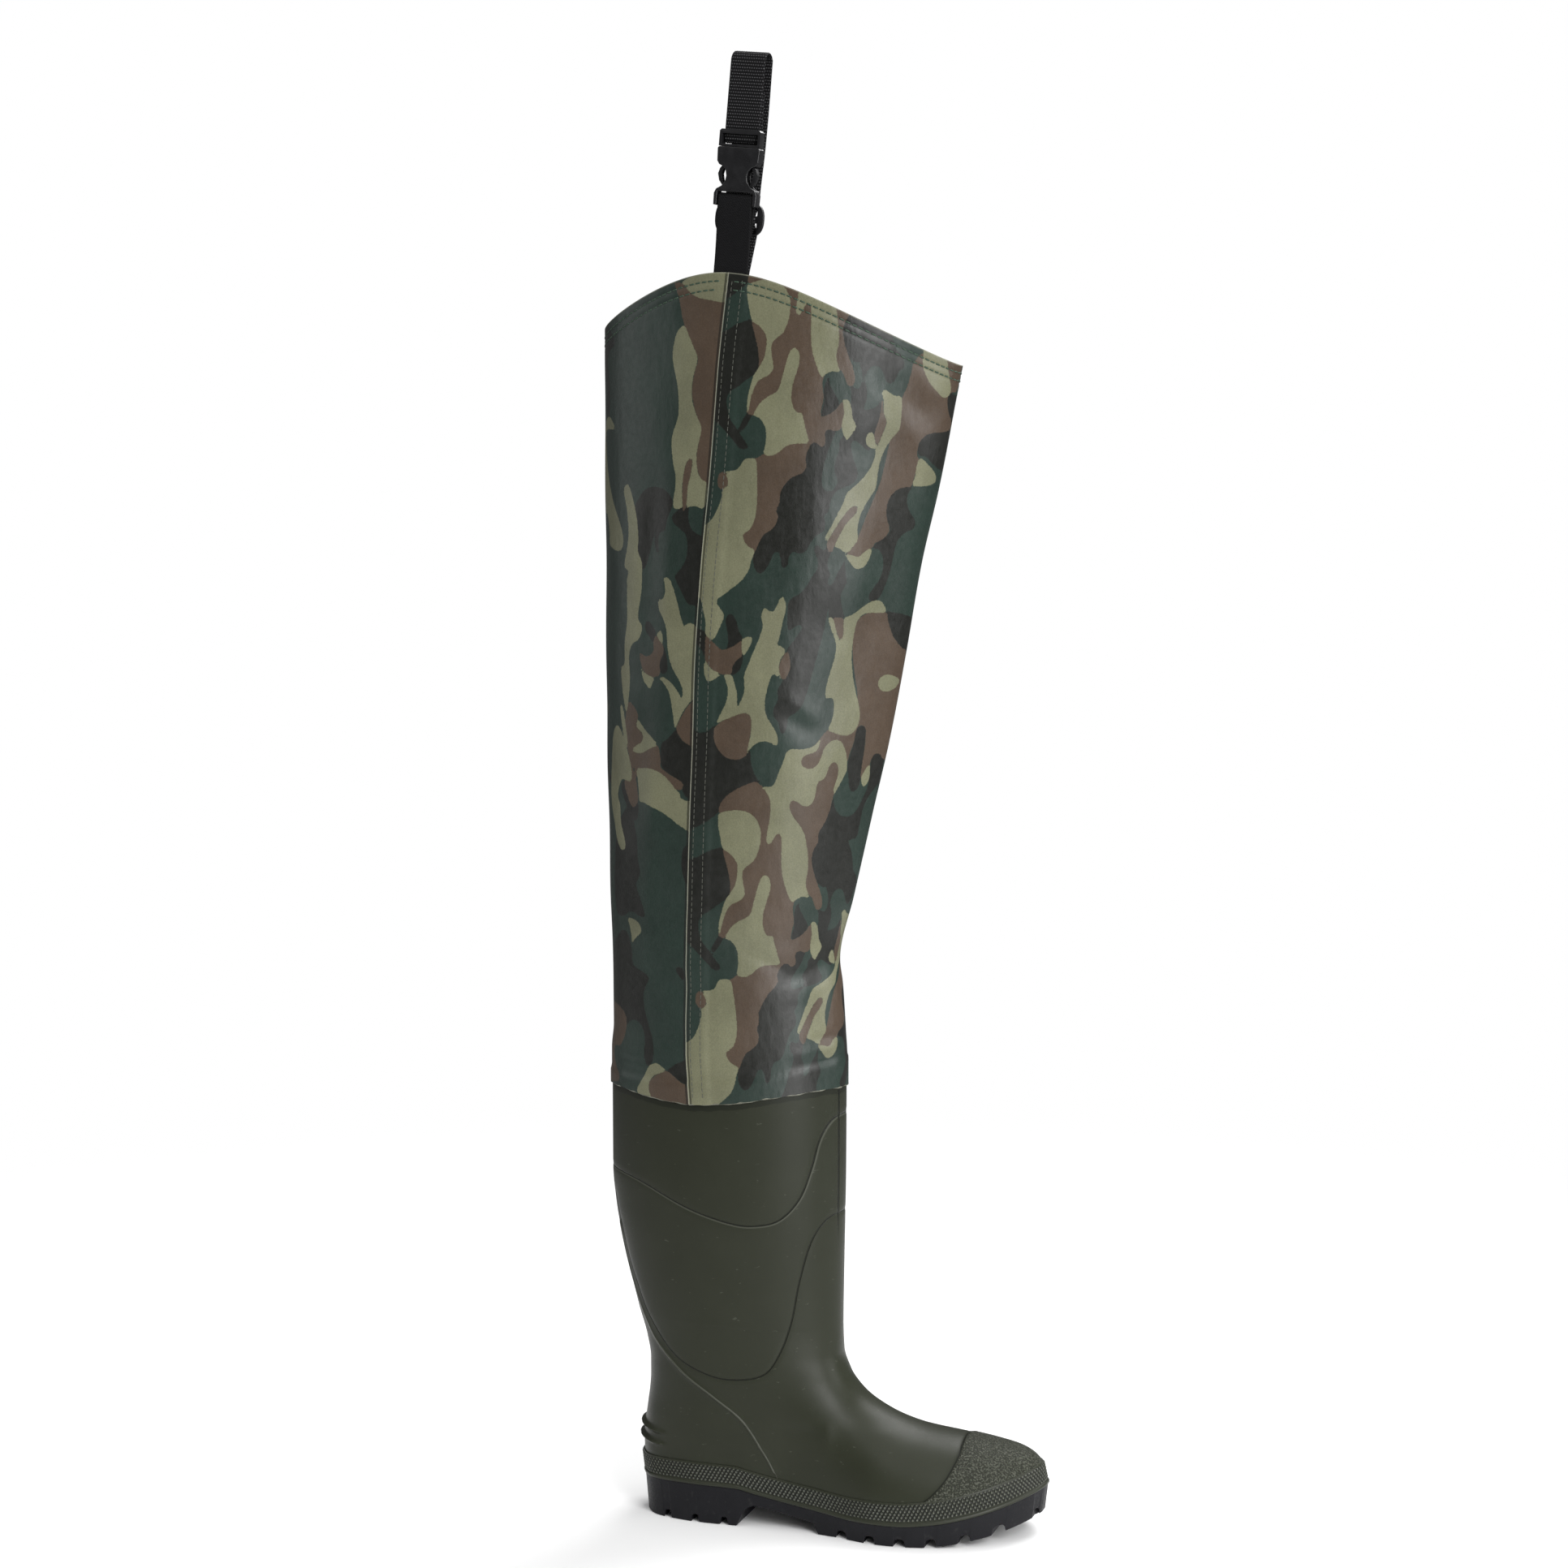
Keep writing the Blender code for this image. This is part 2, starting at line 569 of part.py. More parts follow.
def tread_height(x):
    """Underside of the sole without its notches: heel, breast, arch, forefoot and toe spring."""
    spring = TOE_SPRING * max(0.0, (x - SPRING_START) / (PLAN_FRONT - SPRING_START)) ** 2
    rises = (0.0, BREAST_RISE, ARCH_RISE, FOREFOOT_STEP, 0.0)
    return float(np.interp(x, arch_marks(), rises)) + spring


def notch_depth(x, centres):
    depth = 0.0
    for centre in centres:
        depth = max(depth, float(np.interp(x, notch_edges(centre), (0.0, NOTCH_DEPTH, NOTCH_DEPTH, 0.0))))
    return depth


def sole_stations(back, front):
    """Places along the foot where the sole's section changes, with even ones between them."""
    side, centre = notch_centres()
    marks = arch_marks()
    for place in side + centre:
        marks.extend(notch_edges(place))
    first = back + BLUNT_TIP
    last = front - BLUNT_TIP
    marks = [first, last] + [mark for mark in marks if first < mark < last]
    for share in eased_shares(SOLE_STATIONS):
        place = back + (front - back) * share
        if min(abs(place - mark) for mark in marks) > STATION_CLEAR and first < place < last:
            marks.append(place)
    return sorted(marks)


def outsole(material):
    foot_outer, foot_inner, foot_back, foot_front = plan_sides(-SOLE_FOOT_INSET)
    top_outer, top_inner, top_back, top_front = plan_sides(SOLE_TOP_PROUD)
    seat_x, seat_z, _, _ = boot_point_rows(SECTIONS[0].back_z)
    side, centre = notch_centres()
    lug = SIDE_LUG_SHARE
    groove = lug + GROOVE_FLARE
    shares = (0.0, lug, groove, 1.0 - groove, 1.0 - lug, 1.0)
    rows = (side, side, centre, centre, side, side)
    sections = []
    for x in sole_stations(foot_back, foot_front):
        stretch = (x - foot_back) / (foot_front - foot_back)
        top_x = top_back + (top_front - top_back) * stretch
        top_z = float(np.interp(PLAN_BACK + (PLAN_FRONT - PLAN_BACK) * stretch, seat_x, seat_z)) - GAP
        section = [(top_x, float(top_inner(top_x)), top_z), (top_x, float(top_outer(top_x)), top_z)]
        low = float(foot_outer(x))
        wide = float(foot_inner(x)) - low
        for share, notches in zip(shares, rows):
            section.append((x, low + wide * share, tread_height(x) + notch_depth(x, notches)))
        sections.append(np.array(section))
    return loft_along("outsole", sections, material)


def insole(material):
    outer_y, inner_y, back, front = plan_sides(-INSOLE_INSET)
    sections = []
    for share in eased_shares(INSOLE_STATIONS):
        x = back + BLUNT_TIP + (front - back - 2.0 * BLUNT_TIP) * share
        low = float(sole_edge(x))
        high = low + INSOLE_THICK
        outer = float(outer_y(x))
        inner = float(inner_y(x))
        sections.append(np.array([(x, outer, low), (x, inner, low), (x, inner, high), (x, outer, high)]))
    return loft_along("insole", sections, material)


# Leg
def weld_edge(x):
    return WELD_HEIGHT + WELD_SLOPE * (x - WELD_MIDDLE)


def hem_edge(x, place, inner_side):
    """Top edge of the leg: a rounded peak on the outer side and a shallow dip on the inner side."""
    if not inner_side:
        return HEM_PEAK_Z - HEM_SLOPE * (np.hypot(x - HEM_PEAK_X, HEM_ROUND) - HEM_ROUND)
    ends = hem_edge(x[[0, -1]], None, False)
    chord = ends[0] + (ends[1] - ends[0]) * (0.5 + 0.5 * place)
    return chord - HEM_INNER_DROP * (1.0 - place ** 2)


def leg_side(places, level, drop, inner_side):
    """One side of a ring of the leg, level being its share of the way up and drop a fall below that."""
    z = np.full(len(places), WELD_HEIGHT + level * (HEM_PEAK_Z - WELD_HEIGHT))
    for _ in range(4):
        back = back_line(z)
        front = front_line(z)
        x = 0.5 * (back + front) + 0.5 * (front - back) * places
        low = weld_edge(x)
        z = low + level * (hem_edge(x, places, inner_side) - low) - drop
    power = 0.5 + crease_at(z) * smooth_step(places)
    y = half_width(z) * np.clip(1.0 - places ** 2, 0.0, None) ** power
    return x, z, y if inner_side else -y


def seam_places():
    """Both edges of the lapped side seam, as shares of a section's half length."""
    lap = SEAM_LAP / (0.5 * (front_line(SEAM_GAUGE_Z) - back_line(SEAM_GAUGE_Z)))
    end = SEAM_PLACE + lap
    return SEAM_PLACE, SEAM_PLACE + SEAM_RAMP, end, end + SEAM_RAMP


def leg_ring(level, drop):
    even = 2.0 * eased_shares(SEGMENTS + 1) - 1.0
    outer_places = np.sort(np.concatenate([even, seam_places()]))
    x, z, y = leg_side(outer_places, level, drop, False)
    out_side = np.stack([x, y, z], axis=1)
    x, z, y = leg_side(even, level, drop, True)
    in_side = np.stack([x, y, z], axis=1)
    return np.vstack([out_side, in_side[-2:0:-1]]), outer_places


def seam_relief(outer_places, count):
    """Extra height of the leg's outer face over the lapped seam."""
    start, raised, end, level_again = seam_places()
    relief = np.zeros(count)
    relief[:len(outer_places)] = SEAM_PROUD * np.interp(
        outer_places, (start, raised, end, level_again), (0.0, 1.0, 1.0, 0.0))
    return relief


def leg(material):
    collar = [rise / (HEM_PEAK_Z - WELD_HEIGHT) for rise in COLLAR_RINGS]
    shares = [0.0] + collar + list(np.linspace(*LEG_RING_SHARES, LEG_RINGS))
    levels = [(share, 0.0) for share in shares]
    levels += [(1.0, HEM_FOLD), (1.0, HEM_FOLD - HEM_STEP), (1.0, 0.0)]
    rings = []
    for level, drop in levels:
        ring, outer_places = leg_ring(level, drop)
        rings.append(ring)
    normals = ring_normals(rings)
    relief = seam_relief(outer_places, len(rings[0]))
    inner_out = [GAP] * (len(levels) - 2) + [GAP - LEG_WALL] * 2
    outer = [ring + normal * (GAP + LEG_WALL + relief[:, None]) for ring, normal in zip(rings, normals)]
    inner = [ring + normal * out for ring, normal, out in zip(rings, normals, inner_out)]
    return ring_wall("leg", outer, inner, material)


# Strap
def hem_lining_y(x):
    """Inner face of the hem on the outer side, at the depth where the strap is sewn in."""
    low = HEM_PEAK_Z - TUCK
    back = back_line(low)
    front = front_line(low)
    place = (x - 0.5 * (back + front)) / (0.5 * (front - back))
    return float(LEG_WALL - GAP - half_width(low) * (1.0 - place ** 2) ** 0.5)


def strap_frame():
    """Empty whose z runs up the strap from the hem, flat against the hem's lining."""
    half = 0.5 * WEB_WIDTH
    turn = math.atan2(hem_lining_y(STRAP_X + half) - hem_lining_y(STRAP_X - half), WEB_WIDTH)
    frame = bpy.data.objects.new("strap_frame", None)
    y = hem_lining_y(STRAP_X) + STRAP_CLEAR + 0.5 * LOWER_WEB_THICK
    frame.location = (STRAP_X * MM, y * MM, HEM_PEAK_Z * MM)
    frame.rotation_euler = (0.0, STRAP_LEAN, turn)
    bpy.context.scene.collection.objects.link(frame)
    return frame


def bend(centre_y, centre_z, radius, start, end, steps):
    """Points of a bend in the strap's side view; angles run from the front (180) over the top (90)."""
    angles = np.radians(np.linspace(start, end, steps))
    return [(centre_y + radius * math.cos(a), centre_z + radius * math.sin(a)) for a in angles]


def webbing(name, path, thick, material, frame):
    """Flat webbing swept along a side-view path of (y, z) points."""
    points = np.array(path)
    along = np.gradient(points, axis=0)
    along = along / np.linalg.norm(along, axis=1)[:, None]
    across = np.stack([-along[:, 1], along[:, 0]], axis=1) * 0.5 * thick
    half = 0.5 * WEB_WIDTH
    sections = []
    for (y, z), (dy, dz) in zip(points, across):
        sections.append(np.array([(-half, y - dy, z - dz), (half, y - dy, z - dz),
                                  (half, y + dy, z + dz), (-half, y + dy, z + dz)]))
    return loft_along(name, sections, material, frame)


def strap_lower(material, frame):
    wrap = SOCKET_BAR_RADIUS + GAP + 0.5 * LOWER_WEB_THICK
    path = list(LOWER_FRONT_RUN)
    path += bend(0.0, SOCKET_BAR_Z, wrap, 180.0, 0.0, 9)
    path += LOWER_TAIL
    return webbing("strap_lower", path, LOWER_WEB_THICK, material, frame)


def slider_weave():
    """Way of the webbing through the slider: behind its rim, in front of its bar and behind again."""
    depth = 0.5 * SLIDER_THICK + WEAVE_CLEAR + 0.5 * UPPER_WEB_THICK
    behind = SLIDER_Y + depth
    before = SLIDER_Y - depth
    return [Way(behind, SLIDER_Z + 13.0), Way(behind, SLIDER_Z + 9.0),
            Way(before, SLIDER_Z + 2.8), Way(before, SLIDER_Z - 2.8),
            Way(behind, SLIDER_Z - 9.0), Way(behind - WEAVE_CLEAR, SLIDER_Z - 14.0)]


def strap_upper(material, frame):
    wrap = PLUG_BAR_RADIUS + GAP + 0.5 * UPPER_WEB_THICK
    path = list(UPPER_TAIL)
    path += bend(PLUG_BAR_Y, PLUG_BAR_Z, wrap, 0.0, -180.0, 9)
    path += UPPER_FRONT_RUN
    path += bend(BELT_LOOP_RADIUS, BELT_LOOP_Z, BELT_LOOP_RADIUS, 180.0, 0.0, 11)
    path += UPPER_BACK_RUN
    path += slider_weave()
    path += UPPER_SEWN_END
    return webbing("strap_upper", path, UPPER_WEB_THICK, material, frame)


def plate(name, outline, thick, material, frame):
    """Flat plate with the given (x, z) outline, centred on the strap's middle plane."""
    half = 0.5 * thick
    sections = [np.array([(x, y, z) for x, z in outline]) for y in (-half, half)]
    return loft_along(name, sections, material, frame)


def box(name, low, high, material, frame):
    outline = [(low[0], low[2]), (high[0], low[2]), (high[0], high[2]), (low[0], high[2])]
    piece = plate(name, outline, high[1] - low[1], material, frame)
    piece.location.y = 0.5 * (low[1] + high[1]) * MM
    return piece


def round_bar(name, half_length, radius, place, material, frame):
    angles = np.linspace(0.0, 2.0 * np.pi, 12, endpoint=False)
    circle = [(place.y + radius * math.cos(a), place.z + radius * math.sin(a)) for a in angles]
    sections = [np.array([(x, y, z) for y, z in circle]) for x in (-half_length, half_length)]
    return loft_along(name, sections, material, frame)


def merge(piece, other, operation):
    """Boolean of piece with other, which stays as a hidden tool."""
    modifier = piece.modifiers.new(other.name, "BOOLEAN")
    modifier.operation = operation
    modifier.solver = "EXACT"
    modifier.object = other
    other.hide_render = True
    other.display_type = "WIRE"


def half_outline(corners, side):
    return [(side * corner.x, corner.z) for corner in corners]


def mirrored(corners):
    """Whole outline from the corners of its right half, which runs upwards."""
    return half_outline(corners, 1.0) + half_outline(corners[::-1], -1.0)


def buckle_socket(material, frame):
    body = plate("buckle_socket", mirrored(SOCKET_OUTLINE), SOCKET_THICK, material, frame)
    low = (-CAVITY_HALF_WIDTH, -0.5 * CAVITY_THICK, CAVITY_FLOOR_Z)
    high = (CAVITY_HALF_WIDTH, 0.5 * CAVITY_THICK, SOCKET_TOP_Z + CUT_OVER)
    merge(body, box("socket_cavity", low, high, material, frame), "DIFFERENCE")
    place = Way(0.0, SOCKET_BAR_Z)
    bar = round_bar("socket_bar", SOCKET_BAR_HALF, SOCKET_BAR_RADIUS, place, material, frame)
    merge(body, bar, "UNION")
    return body


def cut_strap_way(body, base, material, frame):
    """Slot of the plug's frame, and the way above its bar where the webbing leaves to the back."""
    half = PLUG_SLOT_HALF
    top = PLUG_TOP_Z - PLUG_TOP_RAIL
    slot_low = (-half, -PLUG_THICK, base + PLUG_LOW_RAIL)
    slot_high = (half, PLUG_THICK, top)
    merge(body, box("plug_slot", slot_low, slot_high, material, frame), "DIFFERENCE")
    way_low = (-half, -0.5 * UPPER_WEB_THICK - GAP, top - 1.0)
    way_high = (half, PLUG_THICK, PLUG_TOP_Z + CUT_OVER)
    merge(body, box("plug_strap_way", way_low, way_high, material, frame), "DIFFERENCE")


def buckle_plug(material, frame):
    base = SOCKET_TOP_Z + GAP
    rim = (Corner("base", PLUG_HALF_WIDTH, base),
           Corner("side, top", PLUG_HALF_WIDTH, PLUG_TOP_Z - PLUG_CORNER),
           Corner("top", PLUG_HALF_WIDTH - PLUG_CORNER, PLUG_TOP_Z))
    body = plate("buckle_plug", mirrored(rim), PLUG_THICK, material, frame)
    cut_strap_way(body, base, material, frame)
    place = Way(PLUG_BAR_Y, PLUG_BAR_Z)
    bar = round_bar("plug_bar", PLUG_BAR_HALF, PLUG_BAR_RADIUS, place, material, frame)
    merge(body, bar, "UNION")
    arm_thick = CAVITY_THICK - 2.0 * GAP
    for name, side in (("plug_arm_front", 1.0), ("plug_arm_back", -1.0)):
        merge(body, plate(name, half_outline(ARM_OUTLINE, side), arm_thick, material, frame), "UNION")
    merge(body, plate("plug_guide", mirrored(GUIDE_OUTLINE), arm_thick, material, frame), "UNION")
    return body


def strap_slider(material, frame):
    angles = np.linspace(0.0, 2.0 * np.pi, 36, endpoint=False)
    outline = []
    for a in angles:
        x = SLIDER_HALF_WIDTH * math.copysign(abs(math.cos(a)) ** SLIDER_SIDE_POWER, math.cos(a))
        z = SLIDER_HALF_HEIGHT * math.copysign(abs(math.sin(a)) ** SLIDER_TOP_POWER, math.sin(a))
        outline.append((x, SLIDER_Z + z))
    body = plate("strap_slider", outline, SLIDER_THICK, material, frame)
    body.location.y = SLIDER_Y * MM
    half = 0.5 * WEB_WIDTH + SLOT_PLAY
    for name, side in (("slider_slot_top", 1.0), ("slider_slot_low", -1.0)):
        edges = sorted((SLIDER_Z + side * SLIDER_BAR, SLIDER_Z + side * SLIDER_SLOT))
        low = (-half, SLIDER_Y - CUT_OVER, edges[0])
        high = (half, SLIDER_Y + CUT_OVER, edges[1])
        merge(body, box(name, low, high, material, frame), "DIFFERENCE")
    return body


def build():
    for thing in list(bpy.data.objects):
        bpy.data.objects.remove(thing, do_unlink=True)
    olive = plain_material("olive_pvc", (0.045, 0.048, 0.034), 0.42)
    black_rubber = plain_material("black_tread", (0.018, 0.018, 0.020), 0.55)
    foam = plain_material("insole_foam", (0.10, 0.10, 0.09), 0.85)
    camo = plain_material("camo_cloth", (0.18, 0.19, 0.12), 0.45)
    web = plain_material("black_webbing", (0.016, 0.016, 0.017), 0.75)
    plastic = plain_material("black_plastic", (0.014, 0.014, 0.015), 0.32)
    outsole(black_rubber)
    boot(olive)
    insole(foam)
    leg(camo)
    frame = strap_frame()
    strap_lower(web, frame)
    buckle_socket(plastic, frame)
    buckle_plug(plastic, frame)
    strap_upper(web, frame)
    strap_slider(plastic, frame)


build()
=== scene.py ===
"""Looks of the thigh wader: moulded boot, printed cloth leg, stitched hem and buckled strap.

Sizes are in millimetres and become metres when a mesh is made. +X points to the toe, +Y to the inner
side of the leg and +Z up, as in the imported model.
"""
import math
from collections import namedtuple

import bmesh
import bpy
import numpy as np
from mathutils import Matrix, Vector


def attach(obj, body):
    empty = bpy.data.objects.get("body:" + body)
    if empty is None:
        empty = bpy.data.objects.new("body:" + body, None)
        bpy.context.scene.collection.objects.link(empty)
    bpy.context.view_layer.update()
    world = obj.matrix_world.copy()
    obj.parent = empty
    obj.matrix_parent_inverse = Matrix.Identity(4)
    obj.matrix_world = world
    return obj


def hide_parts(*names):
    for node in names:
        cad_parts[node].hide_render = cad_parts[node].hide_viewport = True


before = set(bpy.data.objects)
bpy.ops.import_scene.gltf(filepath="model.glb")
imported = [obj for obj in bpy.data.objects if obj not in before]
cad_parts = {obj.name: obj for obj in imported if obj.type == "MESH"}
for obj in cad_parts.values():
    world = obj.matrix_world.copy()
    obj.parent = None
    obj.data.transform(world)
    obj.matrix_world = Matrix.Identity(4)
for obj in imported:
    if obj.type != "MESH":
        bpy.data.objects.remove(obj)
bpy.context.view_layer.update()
MM = 0.001

# Driving dimensions, the same as the solids have
WALL = 2.5
GAP = 0.35
TOE_SPRING = 17.0
LIP_PROUD = 2.4
LIP_HEIGHT = 2.4
BAND_PROUD = 1.2
BAND_HEIGHT = 16.0
CAP_PROUD = 1.0
RIB_PROUD = 3.2
RIB_HEIGHTS = (57.0, 66.0)
RIB_FRONT = -15.0
RIB_FADE = 14.0
COLLAR_TOP = 322.0
HEEL_BREAST = 37.4
BREAST_RUN = 5.5
BREAST_RISE = 12.5
ARCH_TOP = 50.0
ARCH_RISE = 16.0
FOREFOOT_START = 99.4
FOREFOOT_STEP = 7.5
FOREFOOT_RUN = 3.0
SPRING_START = 165.0
LUG_PITCH = 22.2
HEEL_NOTCH_WIDTH = 4.6
FORE_NOTCH_WIDTH = 6.6
NOTCH_DEPTH = 5.5
NOTCH_ROUND = 0.9           # a round-topped notch is this much wider on each side
NOTCH_SQUARE = 3.2          # powers that shape its round top
NOTCH_FULL = 0.42
HEEL_NOTCH_FIRST = -16.4
HEEL_NOTCHES = 3
FORE_NOTCH_FIRST = 118.3
FORE_NOTCHES = 6
CENTRE_NOTCHES = 4
TOE_NOTCH = 250.3           # small notch at each corner of the toe
TOE_NOTCH_WIDTH = 1.6
SIDE_LUG_SHARE = 0.27
SOLE_TOP_PROUD = 1.4
SOLE_FOOT_INSET = 1.2
BLUNT_TIP = 0.3
LEG_WALL = 1.0
HEM_FOLD = 16.0
SEAM_PLACE = -0.128
WELD_HEIGHT = 311.5
HEM_PEAK_X = 38.0
HEM_PEAK_Z = 898.0
HEM_SLOPE = 0.6
HEM_ROUND = 60.0
HEM_INNER_DROP = 26.0
STRAP_X = 46.0
STRAP_LEAN = math.radians(5.3)
WEB_WIDTH = 25.4
LOWER_WEB_THICK = 1.3
UPPER_WEB_THICK = 1.5
TUCK = 22.0
STRAP_CLEAR = 0.55
SOCKET_BAR_Z = 50.3
SOCKET_BAR_RADIUS = 2.0
PLUG_BAR_Y = 2.4
PLUG_BAR_Z = 90.6
PLUG_BAR_RADIUS = 1.5
BELT_LOOP_Z = 143.0
BELT_LOOP_RADIUS = 6.6
SLIDER_Z = 37.0
SLIDER_Y = 8.2
SLIDER_THICK = 2.6
WEAVE_CLEAR = 0.4

# Outline of the foot at the sole edge, seen from above
Plan = namedtuple("Plan", "name x y")
PLAN = (
    Plan("heel back", -41.5, 0.0),
    Plan("heel corner, outer", -30.0, -26.5),
    Plan("heel, outer", 0.0, -37.0),
    Plan("breast, outer", 37.0, -38.5),
    Plan("waist, outer", 75.0, -37.8),
    Plan("arch front, outer", 108.0, -42.0),
    Plan("ball, outer", 147.0, -51.5),
    Plan("toe root, outer", 187.0, -47.5),
    Plan("toe, outer", 221.0, -33.0),
    Plan("toe corner, outer", 244.0, -12.0),
    Plan("toe tip", 254.5, 10.0),
    Plan("toe corner, inner", 250.0, 29.0),
    Plan("toe, inner", 234.0, 43.0),
    Plan("toe root, inner", 205.0, 52.0),
    Plan("ball, inner", 172.0, 55.0),
    Plan("arch front, inner", 138.0, 50.0),
    Plan("waist front, inner", 105.0, 41.5),
    Plan("waist, inner", 72.0, 36.0),
    Plan("breast, inner", 37.0, 36.0),
    Plan("heel, inner", 0.0, 36.5),
    Plan("heel corner, inner", -30.0, 26.5),
)

# Points in side view, and the upper edge of the sole
Edge = namedtuple("Edge", "x z")
SOLE_EDGE = (
    Edge(-44.0, 28.0),
    Edge(0.0, 29.0),
    Edge(37.0, 28.5),
    Edge(52.0, 25.5),
    Edge(70.0, 22.0),
    Edge(95.0, 18.5),
    Edge(130.0, 15.4),
    Edge(160.0, 15.4),
    Edge(185.0, 17.5),
    Edge(210.0, 22.0),
    Edge(235.0, 29.0),
    Edge(258.0, 37.0),
)

# Rings of the boot: both ends in side view, how far they follow the sole edge, and half the shaft's width
Section = namedtuple("Section", "name back_x back_z front_x front_z follow half")
SECTIONS = (
    Section("sole edge", -41.5, 28.0, 254.5, 36.0, 1.00, 10.0),
    Section("band top", -43.6, 44.0, 251.5, 51.0, 1.00, 18.0),
    Section("toe wall", -43.8, 49.0, 246.0, 57.0, 0.85, 21.0),
    Section("toe roll", -43.6, 54.0, 236.5, 62.0, 0.65, 24.0),
    Section("toe top", -43.2, 60.0, 218.0, 66.4, 0.45, 27.0),
    Section("cap edge", -42.4, 68.0, 197.0, 70.0, 0.25, 29.0),
    Section("vamp", -40.8, 80.0, 164.0, 75.6, 0.10, 31.0),
    Section("vamp rise", -39.2, 91.0, 141.5, 84.0, 0.00, 33.0),
    Section("instep", -38.4, 102.0, 124.0, 95.0, 0.00, 35.0),
    Section("throat", -38.4, 114.0, 112.0, 109.5, 0.00, 36.5),
    Section("ankle", -41.0, 130.0, 106.8, 126.0, 0.00, 38.5),
    Section("shin", -47.6, 152.0, 106.4, 148.0, 0.00, 42.0),
    Section("calf, low", -58.4, 195.0, 106.8, 191.0, 0.00, 47.0),
    Section("calf", -64.8, 226.0, 107.4, 229.0, 0.00, 49.5),
    Section("calf, high", -67.6, 256.0, 107.8, 258.0, 0.00, 51.0),
    Section("collar", -67.6, 322.0, 108.0, 335.0, 0.00, 52.0),
)
ANKLE_ROW = 10

# Sections of the leg: back and front in side view, half width, and sharpness of the crease down the front
Girth = namedtuple("Girth", "height back front half crease")
LEG_GIRTHS = (
    Girth(342.0, -67.6, 108.0, 52.0, 0.00),
    Girth(360.0, -66.0, 107.0, 52.2, 0.00),
    Girth(394.0, -66.2, 105.0, 53.0, 0.04),
    Girth(411.0, -66.5, 103.0, 53.8, 0.05),
    Girth(458.0, -67.6, 113.6, 57.0, 0.08),
    Girth(518.0, -68.4, 127.2, 61.5, 0.10),
    Girth(570.0, -69.2, 139.6, 65.0, 0.12),
    Girth(636.0, -69.6, 152.0, 69.0, 0.12),
    Girth(698.0, -69.6, 163.4, 71.5, 0.12),
    Girth(747.0, -69.6, 174.5, 73.0, 0.12),
    Girth(830.0, -69.6, 191.0, 75.0, 0.12),
    Girth(900.0, -69.6, 204.0, 76.0, 0.12),
)

# Runs of the strap in its own side view: y across it and z up from the hem
Way = namedtuple("Way", "y z")
LOWER_FRONT_RUN = (Way(0.0, -TUCK), Way(0.0, 0.0), Way(0.0, 12.0), Way(-0.9, 26.0), Way(-2.7, 42.0))
LOWER_TAIL = (Way(2.6, 44.0), Way(1.9, 34.0), Way(1.3, 24.0))
UPPER_TAIL = (Way(3.4, 122.0), Way(3.6, 112.0), Way(4.6, 101.0))
UPPER_FRONT_RUN = (Way(0.0, 96.0), Way(0.0, 112.0), Way(0.0, 132.0))
UPPER_BACK_RUN = (Way(13.8, 112.0), Way(13.2, 84.0), Way(11.0, 60.0))
UPPER_SEWN_END = (Way(5.4, 8.0), Way(2.3, -3.0), Way(1.95, -12.0), Way(1.95, -TUCK))

# Shape factors of the foot's cross sections
VAMP_POWER = 2.3
HEEL_POWER = 3.4
POWER_SPAN = (0.0, 120.0)   # along this x the arch goes from the heel's power to the vamp's
HEEL_REACH = 80.0
BLEND_POWER = 4.0
HEEL_ARCH_RISE = 1.0
LEAST_ARCH = 0.01
RIDGE_START = 108.0
RIDGE_SHIFT = 10.0
RIDGE_STEPS = 400
PLAN_STEPS = 24
THROAT_LOW = 74.0           # between these heights the fold over the instep is smoothed
THROAT_HIGH = 165.0
THROAT_FADE = 20.0
THROAT_ROWS = 9             # rows of the boot over which the bend is spread
THROAT_EASE_TOP = 195.0
THROAT_REACH = 0.055        # share of a ring's side over which it is smoothed

# Lines moulded into the boot, in side view, the same on both sides
CAP_LINE = (Edge(176.0, 29.0), Edge(180.4, 33.4), Edge(186.6, 38.8), Edge(193.9, 47.8), Edge(199.2, 59.5),
            Edge(199.6, 66.0), Edge(198.0, 76.0))
COUNTER_LINE = (Edge(-57.5, 214.0), Edge(-53.5, 192.7), Edge(-43.2, 164.7), Edge(-31.7, 141.6),
                Edge(-22.8, 129.5), Edge(-3.2, 111.7), Edge(22.4, 94.7), Edge(43.5, 78.7), Edge(58.2, 56.6),
                Edge(66.0, 42.5))
UPPER_PANEL_LINE = (Edge(-66.0, 256.0), Edge(-45.1, 253.0), Edge(-26.5, 247.6), Edge(6.5, 233.9),
                    Edge(36.9, 225.1), Edge(54.2, 223.8), Edge(70.8, 228.0), Edge(84.1, 242.9),
                    Edge(91.7, 264.7), Edge(96.5, 284.8), Edge(103.1, 298.3), Edge(110.0, 302.0))
LOWER_PANEL_LINE = (Edge(-61.5, 236.0), Edge(-55.7, 214.6), Edge(-49.5, 191.3), Edge(-40.3, 169.0),
                    Edge(-30.9, 149.5), Edge(-9.9, 124.0), Edge(16.4, 111.7), Edge(38.0, 109.2),
                    Edge(58.5, 113.7), Edge(69.6, 128.6), Edge(77.7, 152.1), Edge(83.4, 181.9),
                    Edge(91.3, 211.2), Edge(100.8, 226.6), Edge(109.0, 230.0))


def smooth_step(value):
    """Ease from 0 to 1 as value goes from 0 to 1."""
    held = np.clip(value, 0.0, 1.0)
    return held * held * (3.0 - 2.0 * held)


def eased_shares(count):
    """Shares from 0 to 1 that lie closer together at both ends."""
    return 0.5 - 0.5 * np.cos(np.pi * np.linspace(0.0, 1.0, count))


